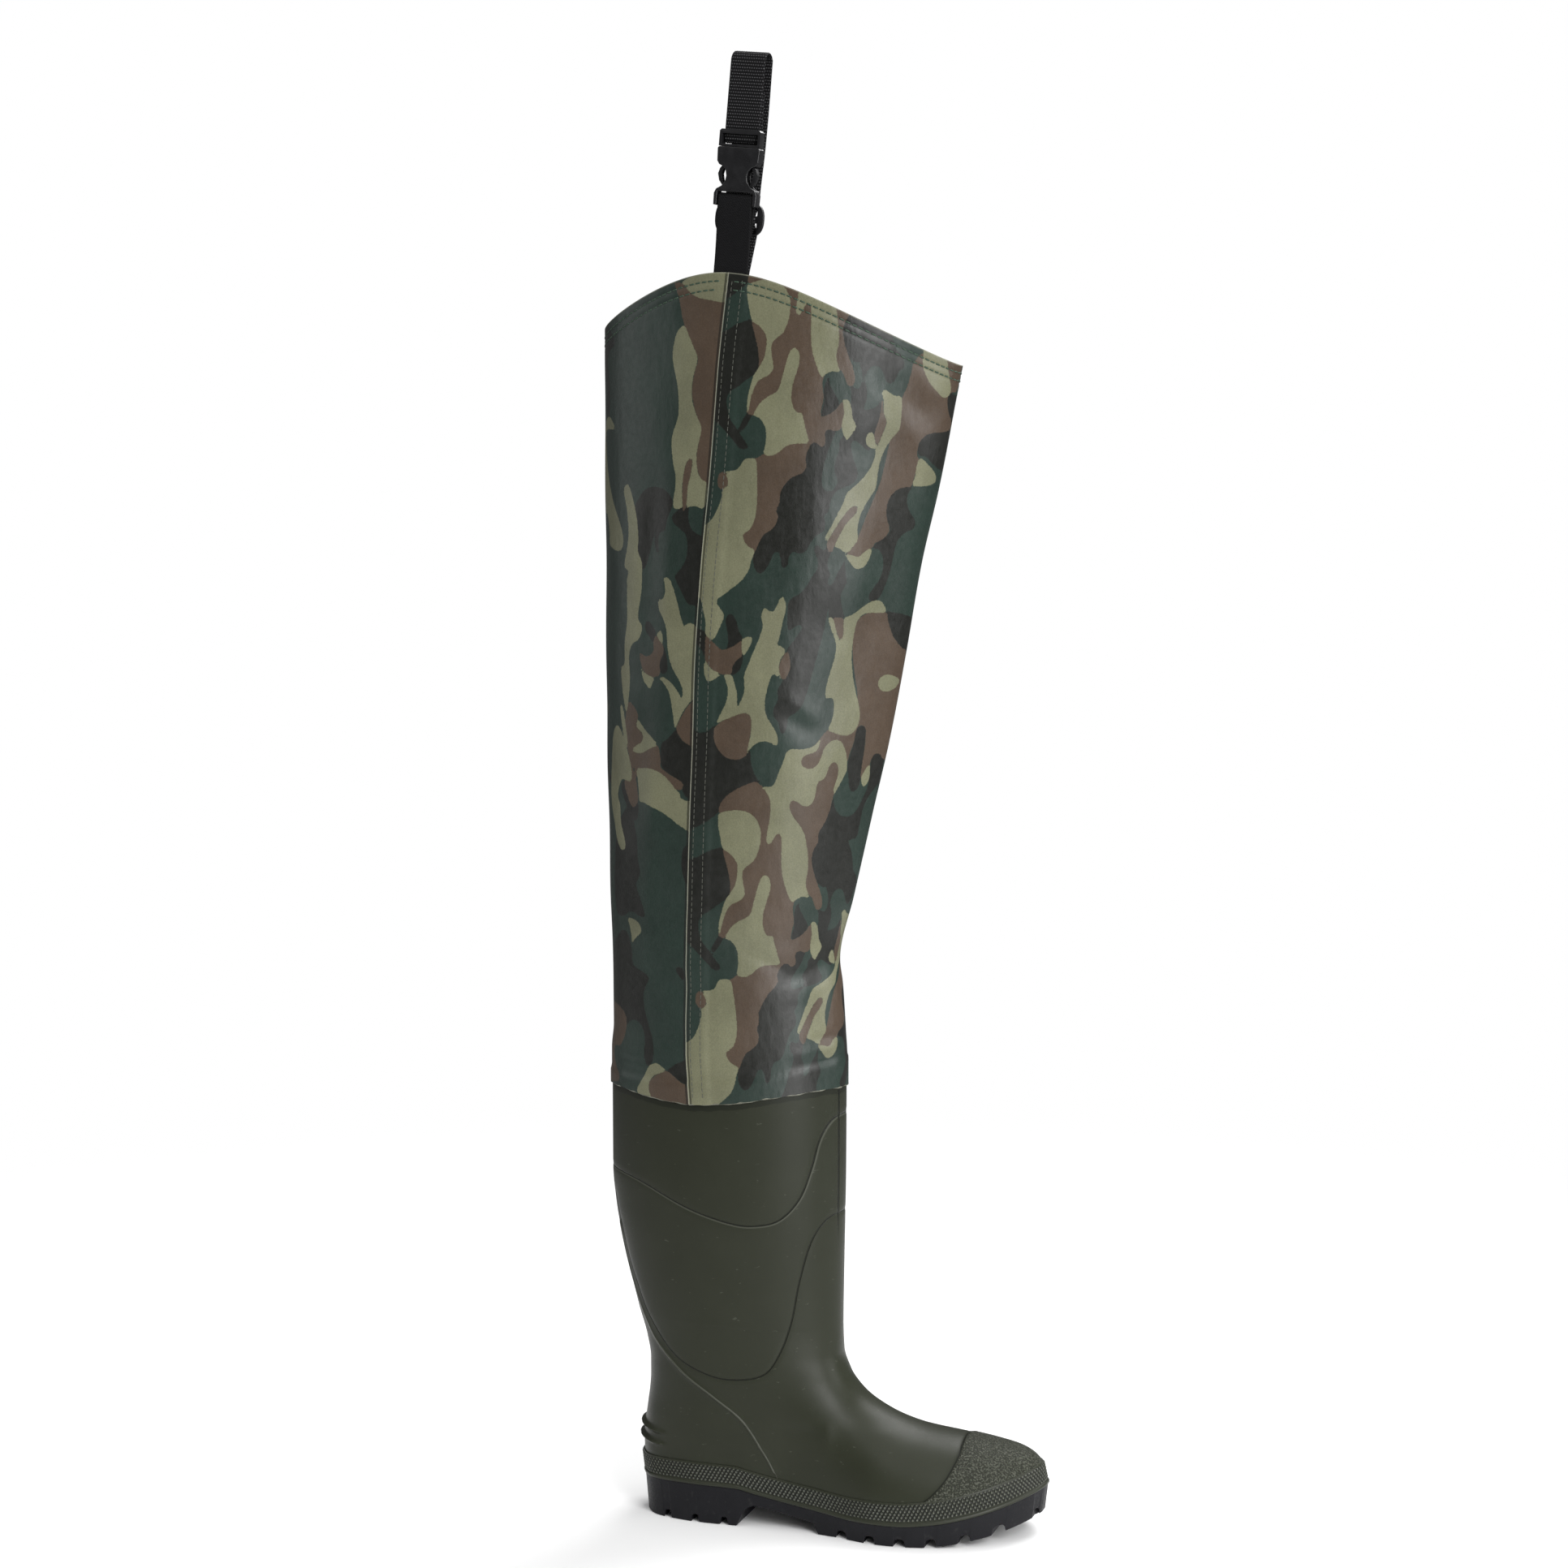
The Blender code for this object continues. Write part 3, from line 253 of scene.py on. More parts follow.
def curve_through(knots, values):
    """Smooth curve through a table, with no overshoot between its rows."""
    x = np.asarray(knots, float)
    y = np.asarray(values, float)
    step = np.diff(x)
    rise = np.diff(y) / step
    slope = np.concatenate([rise[:1], np.zeros(len(x) - 2), rise[-1:]])
    for i in range(1, len(x) - 1):
        if rise[i - 1] * rise[i] > 0.0:
            before = 2.0 * step[i] + step[i - 1]
            after = step[i] + 2.0 * step[i - 1]
            slope[i] = (before + after) / (before / rise[i - 1] + after / rise[i])

    def value_at(place):
        place = np.clip(np.asarray(place, float), x[0], x[-1])
        i = np.clip(np.searchsorted(x, place) - 1, 0, len(x) - 2)
        t = (place - x[i]) / step[i]
        return ((1.0 + 2.0 * t) * (1.0 - t) ** 2 * y[i] + t * (1.0 - t) ** 2 * step[i] * slope[i]
                + t * t * (3.0 - 2.0 * t) * y[i + 1] + t * t * (t - 1.0) * step[i] * slope[i + 1])

    return value_at


def round_curve(points, steps, closed):
    """Curve that rounds through points, with the given number of steps from each to the next."""
    knots = np.asarray(points, float)
    count = len(knots)
    spans = count if closed else count - 1
    t = np.linspace(0.0, 1.0, steps, endpoint=False)[:, None]
    curve = []
    for i in range(spans):
        picks = [(i + k) % count if closed else min(max(i + k, 0), count - 1) for k in (-1, 0, 1, 2)]
        p0, p1, p2, p3 = knots[picks]
        curve.append(0.5 * (2.0 * p1 + (p2 - p0) * t + (2.0 * p0 - 5.0 * p1 + 4.0 * p2 - p3) * t ** 2
                            + (3.0 * p1 - p0 - 3.0 * p2 + p3) * t ** 3))
    if not closed:
        curve.append(knots[-1:])
    return np.vstack(curve)


def run_along(path):
    """Length run along a path to each of its points."""
    return np.concatenate([[0.0], np.cumsum(np.linalg.norm(np.diff(path, axis=0), axis=1))])


def read_along(spots, run, path):
    """Values of a path at the given lengths along it."""
    return np.stack([np.interp(spots, run, path[:, k]) for k in range(path.shape[1])], axis=-1)


def plan_sides(offset):
    """Outer and inner side of the plan, moved outwards by offset, as functions of x, with their ends."""
    curve = round_curve([(row.x, row.y) for row in PLAN], PLAN_STEPS, True)
    along = np.roll(curve, -1, axis=0) - np.roll(curve, 1, axis=0)
    normal = np.stack([along[:, 1], -along[:, 0]], axis=1)
    curve = curve + offset * normal / np.linalg.norm(normal, axis=1)[:, None]
    heel = int(np.argmin(curve[:, 0]))
    toe = int(np.argmax(curve[:, 0]))
    curve = np.roll(curve, -heel, axis=0)
    toe = (toe - heel) % len(curve)
    outer = curve[:toe + 1]
    inner = np.vstack([curve[toe:], curve[:1]])[::-1]

    def outer_y(x):
        return np.interp(x, outer[:, 0], outer[:, 1])

    def inner_y(x):
        return np.interp(x, inner[:, 0], inner[:, 1])

    return outer_y, inner_y, outer[0, 0], outer[-1, 0]


def column(rows, name):
    return [getattr(row, name) for row in rows]


def table_curve(rows, across, up):
    """Smooth curve of one column of a table over another."""
    return curve_through(column(rows, across), column(rows, up))


sole_edge = table_curve(SOLE_EDGE, "x", "z")
ring_back_x = table_curve(SECTIONS, "back_z", "back_x")
ring_front_x = table_curve(SECTIONS, "back_z", "front_x")
ring_front_z = table_curve(SECTIONS, "back_z", "front_z")
ring_follow = table_curve(SECTIONS, "back_z", "follow")
SHAFT_ROWS = SECTIONS[ANKLE_ROW:]
back_line = curve_through(column(SECTIONS, "back_z") + column(LEG_GIRTHS, "height"),
                          column(SECTIONS, "back_x") + column(LEG_GIRTHS, "back"))
front_line = curve_through(column(SHAFT_ROWS, "front_z") + column(LEG_GIRTHS, "height"),
                           column(SHAFT_ROWS, "front_x") + column(LEG_GIRTHS, "front"))
half_width = curve_through(column(SECTIONS, "back_z") + column(LEG_GIRTHS, "height"),
                           column(SECTIONS, "half") + column(LEG_GIRTHS, "half"))
crease_at = table_curve(LEG_GIRTHS, "height", "crease")
PLAN_OUTER, PLAN_INNER, PLAN_BACK, PLAN_FRONT = plan_sides(0.0)
RIDGE_HEIGHTS = np.linspace(SECTIONS[0].back_z, SECTIONS[ANKLE_ROW].back_z, RIDGE_STEPS)
RIDGE_X = ring_front_x(RIDGE_HEIGHTS)[::-1]
RIDGE_Z = ring_front_z(RIDGE_HEIGHTS)[::-1]
ANKLE_X = SECTIONS[ANKLE_ROW].front_x

# Lower edge of the leg's cloth, and the collar's edge that shows through it, in side view
WELD_POINTS = (Edge(-70.0, 317.6), Edge(-55.0, 317.2), Edge(-32.0, 314.5), Edge(8.0, 310.8),
               Edge(38.0, 312.9), Edge(72.0, 317.9), Edge(101.5, 321.5), Edge(112.0, 321.0))
COLLAR_POINTS = (Edge(-70.0, 326.0), Edge(-25.0, 324.0), Edge(8.0, 325.0), Edge(38.0, 326.4),
                 Edge(72.0, 331.0), Edge(92.0, 337.0), Edge(112.0, 341.0))
weld_edge = table_curve(WELD_POINTS, "x", "z")
collar_edge = table_curve(COLLAR_POINTS, "x", "z")


def oval_place(x, z):
    """Place of x across the section at height z, from -1 at its back to 1 at its front."""
    back = back_line(z)
    front = front_line(z)
    return (x - 0.5 * (back + front)) / (0.5 * (front - back))


def oval_x(place, z):
    """The x of a place across the section at height z."""
    back = back_line(z)
    front = front_line(z)
    return 0.5 * (back + front) + 0.5 * (front - back) * place


# Meshes
SHARP_ANGLE = 40.0          # edges sharper than this stay crisp unless a piece says otherwise
NEXT_TO_NOTHING = 1e-9


def grid_faces(rows, columns):
    """Faces of a grid that closes around both ways, like a tyre."""
    index = np.arange(rows * columns).reshape(rows, columns)
    right = np.roll(index, -1, axis=1)
    up = np.roll(index, -1, axis=0)
    corner = np.roll(right, -1, axis=0)
    return np.stack([index, right, corner, up], axis=2).reshape(-1, 4).tolist()


def tube_faces(rows, columns):
    """Faces of a stack of rings, with a cap on both ends."""
    faces = grid_faces(rows, columns)[:(rows - 1) * columns]
    faces.append(list(range(columns))[::-1])
    faces.append(list(range((rows - 1) * columns, rows * columns)))
    return faces


def new_object(name, data):
    """Object put into the scene."""
    thing = bpy.data.objects.new(name, data)
    bpy.context.scene.collection.objects.link(thing)
    return thing


def mesh_piece(name, verts, faces, material, values=None, sharp=SHARP_ANGLE):
    """Smooth piece from points in millimetres, riding on the wader, with named values at its points."""
    mesh = bpy.data.meshes.new(name)
    mesh.from_pydata((np.asarray(verts, float) * MM).tolist(), [], faces)
    for key, value in (values or {}).items():
        layer = mesh.attributes.new(key, "FLOAT", "POINT")
        layer.data.foreach_set("value", np.asarray(value, np.float32).ravel())
    mesh.shade_smooth()
    mesh.set_sharp_from_angle(angle=math.radians(sharp))
    mesh.materials.append(material)
    piece = new_object(name, mesh)
    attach(piece, "root")
    return piece


def grid_normals(grid):
    """Outward normals of a stack of closed rings."""
    around = np.roll(grid, -1, axis=1) - np.roll(grid, 1, axis=1)
    normal = np.cross(around, np.gradient(grid, axis=0))
    return normal / np.maximum(np.linalg.norm(normal, axis=2), NEXT_TO_NOTHING)[:, :, None]


def ring_wall(name, outer, inner, material, values=None, bare_rows=0, behind=None):
    """Closed wall between an outer and an inner stack of rings; its lowest inner rows may be left bare.

    The inner rings take the values of the outer rows that they lie behind, or else of the top row.
    """
    grid = np.concatenate([outer, inner[::-1]])
    rows, columns = grid.shape[:2]
    if behind is None:
        behind = np.full(len(inner), len(outer) - 1)
    full = {}
    for key, value in (values or {}).items():
        full[key] = np.concatenate([value, value[behind][::-1]])
    full["inside"] = np.repeat(np.arange(rows) >= rows - bare_rows, columns)
    return mesh_piece(name, grid.reshape(-1, 3), grid_faces(rows, columns), material, full)


def miss_of(points, a, b):
    """Way to each point from the nearest place on the straight line from a to b, in a plane."""
    along = b - a
    share = np.clip((points - a) @ along / max(along @ along, NEXT_TO_NOTHING), 0.0, 1.0)
    return points - a - share[:, None] * along


def distance_to_curve(points, curve):
    """Distance from each point to an open curve, both in a plane, negative on the curve's right side."""
    best = np.full(len(points), np.inf)
    for a, b in zip(curve[:-1], curve[1:]):
        miss = miss_of(points, a, b)
        side = np.where((b - a)[0] * miss[:, 1] - (b - a)[1] * miss[:, 0] < 0.0, -1.0, 1.0)
        best = np.where(np.hypot(*miss.T) < np.abs(best), side * np.hypot(*miss.T), best)
    return best


# Boot
def ridge_y(x):
    """Sideways place of the foot's ridge, which swings inwards to the toe."""
    return RIDGE_SHIFT * smooth_step((x - RIDGE_START) / (PLAN_FRONT - RIDGE_START))


def ridge_z(x):
    """Height of the foot's top: the front line before the ankle, and a tall arch behind it."""
    behind = SECTIONS[ANKLE_ROW].front_z + HEEL_ARCH_RISE * (ANKLE_X - x)
    return np.where(x > ANKLE_X, np.interp(x, RIDGE_X, RIDGE_Z), behind)


def foot_share(x, z):
    """How much of the plan's width is left at height z of the foot's arch."""
    edge = sole_edge(x)
    tall = np.maximum(ridge_z(x) - edge, LEAST_ARCH)
    climb = np.clip((z - edge) / tall, 0.0, 1.0)
    power = np.interp(x, POWER_SPAN, (HEEL_POWER, VAMP_POWER))
    return np.sqrt(1.0 - climb ** power)


def shaft_share(x, z):
    """Share of the shaft's half width at x on its oval at height z."""
    return np.sqrt(np.clip(1.0 - oval_place(x, z) ** 2, 0.0, None))


def bridged(along, side):
    """Half widths of a ring with any hollow between heel and front bridged straight across."""
    hull = [0]
    for k in range(1, len(side)):
        while len(hull) > 1:
            a, b = hull[-2:]
            if (side[b] - side[a]) * (along[k] - along[a]) > (side[k] - side[a]) * (along[b] - along[a]):
                break
            hull.pop()
        hull.append(k)
    return np.interp(along, along[hull], side[hull])


def bell_weights(reach):
    """Steps to either side, and the weights of a soft average over them."""
    steps = np.arange(-3 * reach, 3 * reach + 1)
    weights = np.exp(-0.5 * (steps / reach) ** 2)
    return steps, weights / weights.sum()


def throat_share(heights, top):
    """How much the bend over the instep is smoothed at each height, up to a top."""
    return smooth_step((heights - THROAT_LOW) / THROAT_FADE) * smooth_step((top - heights) / THROAT_FADE)


def soften(along, side, height):
    """Half widths of a ring with the fold between instep and shaft smoothed away."""
    share = throat_share(height, THROAT_HIGH)
    reach = int(THROAT_REACH * len(along))
    if share == 0.0 or reach < 2:
        return side
    full = bridged(along, side)
    steps, weights = bell_weights(reach)
    end = steps[-1]
    longer = np.concatenate([-full[end:0:-1], full, -full[-2:-end - 2:-1]])
    return side + share * (np.convolve(longer, weights, "valid") - side)


def boot_sides(height, along):
    """Both sides of one ring of the boot: x, z and the outer and inner y, from heel to front."""
    back_x = ring_back_x(height)
    front_x = ring_front_x(height)
    x = back_x + (front_x - back_x) * along
    edge_line = sole_edge(back_x) + (sole_edge(front_x) - sole_edge(back_x)) * along
    z = height + (ring_front_z(height) - height) * along + ring_follow(height) * (sole_edge(x) - edge_line)
    heel_fade = np.clip(1.0 - (x - back_x) / HEEL_REACH, 0.0, 1.0)
    foot_x = x + (PLAN_BACK - back_x) * heel_fade
    shaft = half_width(z) * shaft_share(x, z)
    ridge = ridge_y(x)
    sides = []
    for plan_y in (PLAN_OUTER, PLAN_INNER):
        foot = np.abs(plan_y(foot_x) - ridge) * foot_share(foot_x, z)
        side = (foot ** BLEND_POWER + shaft ** BLEND_POWER) ** (1.0 / BLEND_POWER)
        sides.append(soften(along, side, height))
    outer = ridge - sides[0]
    inner = ridge + sides[1]
    outer[[0, -1]] = ridge[[0, -1]]
    inner[[0, -1]] = ridge[[0, -1]]
    return x, z, outer, inner


def boot_ring(height, segments):
    """Closed ring of the boot: along the outer side from back to front, then back along the inner side."""
    x, z, outer, inner = boot_sides(height, eased_shares(segments + 1))
    out_side = np.stack([x, outer, z], axis=1)
    in_side = np.stack([x, inner, z], axis=1)
    return np.vstack([out_side, in_side[-2:0:-1]])


BOOT_SEGMENTS = 136
BOOT_ROW_SPANS = ((41.0, 72.0, 0.62), (72.0, 150.0, 1.25), (150.0, COLLAR_TOP, 1.7))  # from, to and step
BOOT_HEIGHTS = np.concatenate([np.arange(*span) for span in BOOT_ROW_SPANS] + [[COLLAR_TOP]])
LINING_HEIGHTS = np.array([28, 38, 50, 60, 70, 82, 94, 106, 118, 131, 150, 175, 205, 240, 280, 322.0])
MouldedLine = namedtuple("MouldedLine", "name points height width")
MOULDED_LINES = (
    MouldedLine("upper_line", UPPER_PANEL_LINE, -0.35, 1.5),
    MouldedLine("lower_line", LOWER_PANEL_LINE, -0.35, 1.5),
    MouldedLine("counter_line", COUNTER_LINE, 0.75, 1.4),
)
LINE_STEPS = 8              # steps from each point of a moulded line to the next
CAP_LINE_STEPS = 6
EDGE_REACH = 9.0            # distances to a line or an edge are kept up to this
WELD_REACH = 20.0
CAP_EDGE_RAMP = 1.8
BACK_STRIP = 2.6            # plain strip up the back of the shaft, as its depth in side view
FRONT_STRIP = 1.6
STRIP_FOOT = 150.0
RIB_WIDTH = 1.6
RIB_SLOPE = 0.16            # fall of a rib towards the front


def line_ahead(line, x, z):
    """How far x lies in front of a side-view line at height z."""
    curve = round_curve(line, CAP_LINE_STEPS, False)
    order = np.argsort(curve[:, 1])
    return x - np.interp(z, curve[order, 1], curve[order, 0])


def kept_near(distance):
    """Distance to a line or an edge, held within reach."""
    return np.clip(distance, -EDGE_REACH, EDGE_REACH)


def boot_relief(grid, heights):
    """How far panels, beads and ribs stand out of the boot's wall, and the values its material needs."""
    x = grid[:, :, 0]
    z = grid[:, :, 2]
    side_view = np.stack([x.ravel(), z.ravel()], axis=1)
    cap = line_ahead(CAP_LINE, x, z)
    relief = CAP_PROUD * smooth_step(0.5 + cap / CAP_EDGE_RAMP)
    values = {"cap_edge": kept_near(cap)}
    for line in MOULDED_LINES:
        near = distance_to_curve(side_view, round_curve(line.points, LINE_STEPS, False)).reshape(x.shape)
        relief = relief + line.height * np.exp(-(near / line.width) ** 2)
        values[line.name] = kept_near(near)
    values["back_strip"] = kept_near(x - back_line(z) - BACK_STRIP)
    values["front_strip"] = kept_near(front_line(np.maximum(z, STRIP_FOOT)) - x - FRONT_STRIP)
    values["height"] = z
    values["weld_gap"] = np.clip(weld_edge(x) - z, -EDGE_REACH, WELD_REACH)
    fade = smooth_step((RIB_FRONT - x) / RIB_FADE)
    for rib in RIB_HEIGHTS:
        miss = heights[:, None] - rib + RIB_SLOPE * (x - PLAN_BACK)
        relief = relief + RIB_PROUD * fade * np.exp(-(miss / RIB_WIDTH) ** 2)
    return relief, values


def ease_throat(grid, heights):
    """Spread the bend between foot and shaft over more height, and leave the side view as it is."""
    steps, weights = bell_weights(THROAT_ROWS)
    reach = steps[-1]
    y = grid[:, :, 1]
    longer = np.concatenate([np.repeat(y[:1], reach, axis=0), y, np.repeat(y[-1:], reach, axis=0)])
    smooth = sum(weight * longer[reach + step:reach + step + len(y)] for step, weight in zip(steps, weights))
    grid[:, :, 1] = y + throat_share(heights, THROAT_EASE_TOP)[:, None] * (smooth - y)
    return grid


def boot_wall(material):
    plain = np.array([boot_ring(height, BOOT_SEGMENTS) for height in BOOT_HEIGHTS])
    plain = ease_throat(plain, BOOT_HEIGHTS)
    relief, values = boot_relief(plain, BOOT_HEIGHTS)
    outer = plain + grid_normals(plain) * relief[:, :, None]
    lining = np.array([boot_ring(height, BOOT_SEGMENTS) for height in LINING_HEIGHTS])
    inner = lining - WALL * grid_normals(lining)
    piece = ring_wall("boot_wall", outer, inner, material, values)
    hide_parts("boot")
    return piece


BAND_COLUMNS = 2200
BAND_ROWS = 27
BAND_RING_STEPS = 400       # steps along each side of the rings that the band follows
BAND_ROOT = 1.4             # the band reaches this deep into the wall behind it
BAND_EDGE = 0.3             # the top edge takes up this much below and above the band's height
BAND_SHOULDER = 0.2         # its bevel lies this far above that height, and this far in
BAND_BEVEL = 0.35
LIP_ROLL = 0.5
LIP_GAP = 0.5               # from the lip to the band's first row
LIP_STEPS = 6
KNURL_PITCH = 3.1
KNURL_ROW = 4.2
KNURL_PROUD = 0.9
KNURL_SHARPNESS = 0.8
KNURL_FOOT = 3.6            # the knurl starts this far above the sole edge
KNURL_HEAD = 15.2
KNURL_PLAIN = 0.6           # value that the smooth parts of the band give to its material


def ring_by_length(ring, count):
    """Closed ring with its points spread evenly along it, and the length run to each."""
    closed = np.vstack([ring, ring[:1]])
    run = run_along(closed)
    places = np.linspace(0.0, run[-1], count, endpoint=False)
    return read_along(places, run, closed), places


def band_profile():
    """Rise and stand-out of the lip and the knurled band, from the sole edge upwards."""
    turns = np.linspace(0.0, math.pi, LIP_STEPS)
    rises = np.linspace(LIP_HEIGHT + LIP_GAP, BAND_HEIGHT - BAND_EDGE, BAND_ROWS)
    profile = [(LIP_HEIGHT * 0.5 * (1.0 - math.cos(a)), LIP_PROUD - LIP_ROLL * (1.0 - math.sin(a)))
               for a in turns]
    profile += [(rise, BAND_PROUD) for rise in rises]
    profile.append((BAND_HEIGHT + BAND_SHOULDER, BAND_PROUD - BAND_BEVEL))
    profile.append((BAND_HEIGHT + BAND_EDGE, -BAND_ROOT))
    return profile


def boot_band(material):
    """Lip over the sole and the knurled foxing band, as one ring."""
    base, run = ring_by_length(boot_ring(SECTIONS[0].back_z, BAND_RING_STEPS), BAND_COLUMNS)
    top, _ = ring_by_length(boot_ring(SECTIONS[1].back_z, BAND_RING_STEPS), BAND_COLUMNS)
    outward = grid_normals(np.array([base, base + (0.0, 0.0, 1.0)]))[0]
    outward[:, 2] = 0.0
    outward /= np.linalg.norm(outward, axis=1)[:, None]
    pitch = run[-1] / round(run[-1] / KNURL_PITCH)
    around = np.cos(2.0 * math.pi * run / pitch)
    rings = []
    knurls = []
    for rise, proud in band_profile():
        stand = np.full(BAND_COLUMNS, proud)
        knurl = np.full(BAND_COLUMNS, KNURL_PLAIN)
        if KNURL_FOOT < rise < KNURL_HEAD and proud == BAND_PROUD:
            knurl = np.abs(0.5 * (around + np.cos(2.0 * math.pi * rise / KNURL_ROW))) ** KNURL_SHARPNESS
            stand = proud + KNURL_PROUD * knurl
        ring = base + (top - base) * (rise / BAND_HEIGHT) + outward * stand[:, None]
        ring[:, 2] = base[:, 2] + rise
        rings.append(ring)
        knurls.append(knurl)
    inner = np.array([base - outward * BAND_ROOT, top - outward * BAND_ROOT])
    return ring_wall("boot_band", np.array(rings), inner, material, {"knurl": np.array(knurls)})


# Sole
def arch_marks():
    return [HEEL_BREAST, HEEL_BREAST + BREAST_RUN, ARCH_TOP, FOREFOOT_START - FOREFOOT_RUN, FOREFOOT_START]


def tread_height(x):
    """Underside of the sole without its notches: heel, breast, arch, forefoot and toe spring."""
    spring = TOE_SPRING * np.maximum(0.0, (x - SPRING_START) / (PLAN_FRONT - SPRING_START)) ** 2
    return np.interp(x, arch_marks(), (0.0, BREAST_RISE, ARCH_RISE, FOREFOOT_STEP, 0.0)) + spring


def notch_centres():
    """Side notches of heel and forefoot, and the cross grooves between the forefoot's side lugs."""
    heel = [HEEL_NOTCH_FIRST + LUG_PITCH * i for i in range(HEEL_NOTCHES)]
    fore = [FORE_NOTCH_FIRST + LUG_PITCH * i for i in range(FORE_NOTCHES)]
    centre = [FORE_NOTCH_FIRST + LUG_PITCH * (i + 0.5) for i in range(CENTRE_NOTCHES)]
    return heel + fore + [TOE_NOTCH], centre + fore[CENTRE_NOTCHES:]


def notch_width(centre):
    if centre == TOE_NOTCH:
        return TOE_NOTCH_WIDTH
    return HEEL_NOTCH_WIDTH if centre < HEEL_BREAST else FORE_NOTCH_WIDTH


def notch_depth(x, centres):
    """Depth of round-topped notches at the places x."""
    depth = np.zeros_like(x)
    for centre in centres:
        half = 0.5 * notch_width(centre) + NOTCH_ROUND
        share = np.clip(1.0 - np.abs((x - centre) / half) ** NOTCH_SQUARE, 0.0, None)
        depth = np.maximum(depth, NOTCH_DEPTH * share ** NOTCH_FULL)
    return depth


SOLE_SECTIONS = 620
SOLE_SHARP = 32.0           # edges sharper than this angle stay crisp
SEAT_STEPS = 200
SOLE_EDGE_ROUND = 0.7
SOLE_EDGE_SHARE = 0.2       # the rounding is at most this share of the sole's width
EDGE_IN = 0.3               # the middle of the rounded edge, in shares of the rounding
EDGE_UP = 0.25
WALL_DROPS = (0.0, 0.5, 1.0)
WALL_SLANT = 0.85           # shares of the way inwards that a side wall has come at its foot
WALL_TUCK = 0.96
LUG_EDGE = 0.01             # a side lug ends this share of the width short of its line,
LUG_SLOPE = 0.03            # and the middle starts this share past it


def sole_wall(head, foot, drops):
    """Columns of a side wall at the given shares of the way from its head to its foot."""
    shares = (WALL_SLANT, WALL_SLANT * WALL_TUCK, 1.0)
    return [[h + (f - h) * drop * share for h, f, share in zip(head, foot, shares)] for drop in drops]


def sole_grid():
    """Points of the sole: sections across it from heel to toe, each a ring from the top around the tread."""
    foot_outer, foot_inner, foot_back, foot_front = plan_sides(-SOLE_FOOT_INSET)
    top_outer, top_inner, top_back, top_front = plan_sides(SOLE_TOP_PROUD)
    seat_x, seat_z, _, _ = boot_sides(SECTIONS[0].back_z, eased_shares(SEAT_STEPS))
    side, centre = notch_centres()
    share = 0.5 * eased_shares(SOLE_SECTIONS) + 0.5 * np.linspace(0.0, 1.0, SOLE_SECTIONS)
    x = foot_back + BLUNT_TIP + (foot_front - foot_back - 2.0 * BLUNT_TIP) * share
    stretch = (x - foot_back) / (foot_front - foot_back)
    top_x = top_back + (top_front - top_back) * stretch
    top_z = np.interp(PLAN_BACK + (PLAN_FRONT - PLAN_BACK) * stretch, seat_x, seat_z) - GAP
    side_z = tread_height(x) + notch_depth(x, side)
    centre_z = tread_height(x) + notch_depth(x, centre)
    outer = foot_outer(x)
    inner = foot_inner(x)
    rounding = np.minimum(SOLE_EDGE_ROUND, SOLE_EDGE_SHARE * (inner - outer))
    outer_top = (top_x, top_outer(top_x), top_z)
    inner_top = (top_x, top_inner(top_x), top_z)
    columns = [inner_top, outer_top] + sole_wall(outer_top, (x, outer, side_z + rounding), WALL_DROPS)
    columns.append((x, outer + EDGE_IN * rounding, side_z + EDGE_UP * rounding))
    columns.append((x, outer + rounding, side_z))
    lug = SIDE_LUG_SHARE
    for place, z in ((lug - LUG_EDGE, side_z), (lug + LUG_SLOPE, centre_z), (0.5, centre_z),
                     (1.0 - lug - LUG_SLOPE, centre_z), (1.0 - lug + LUG_EDGE, side_z)):
        columns.append((x, outer + (inner - outer) * place, z))
    columns.append((x, inner - rounding, side_z))
    columns.append((x, inner - EDGE_IN * rounding, side_z + EDGE_UP * rounding))
    columns += sole_wall(inner_top, (x, inner, side_z + rounding), WALL_DROPS[::-1])
    return np.stack([np.stack(part, axis=1) for part in columns], axis=1)


def outsole(material):
    """Tread unit with rounded edges, round-topped side notches and cross grooves."""
    grid = sole_grid()
    faces = tube_faces(*grid.shape[:2])
    piece = mesh_piece("tread", grid.reshape(-1, 3), faces, material, None, SOLE_SHARP)
    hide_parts("outsole")
    return piece


# Leg: its shape
LEG_COLUMNS = 330
LEG_ROWS = 250
HEM_ROWS = 16
HEM_START = 1.2             # the hem's first row lies this far above the lower edge of its fold
HEM_DROPS = np.linspace(HEM_FOLD - HEM_START, 0.0, HEM_ROWS)  # falls of its rows below its upper edge
CORNER_TURNS = 8            # turns of the search for a row's height, at its ends
RING_TURNS = 5              # and all around it
GAUGE_Z = 620.0
SEAM_LAP = 18.0
SEAM_PROUD = 0.8
SEAM_SHARE = 0.22           # share of the way around over which the columns follow the lapped edge
LAP_RAMP = 5.0
COLLAR_STEP = 0.9
COLLAR_RAMP = 4.0
STITCH_DIP = 0.28
STITCH_DIP_WIDTH = 1.5
HEM_STITCH_DROPS = (6.0, 12.0)

# How creases and slack die away over the collar, under the hem and beside the seam
COLLAR_CALM = 20.0
HEM_FLAT = 4.0
HEM_CALM = 30.0
SEAM_CALM = 0.05            # share of the way around
SEAM_SLACK = 0.35           # share of the slack that is left at the seam
CREASE_LEFT = 0.4           # share of the creases that is left at collar and hem

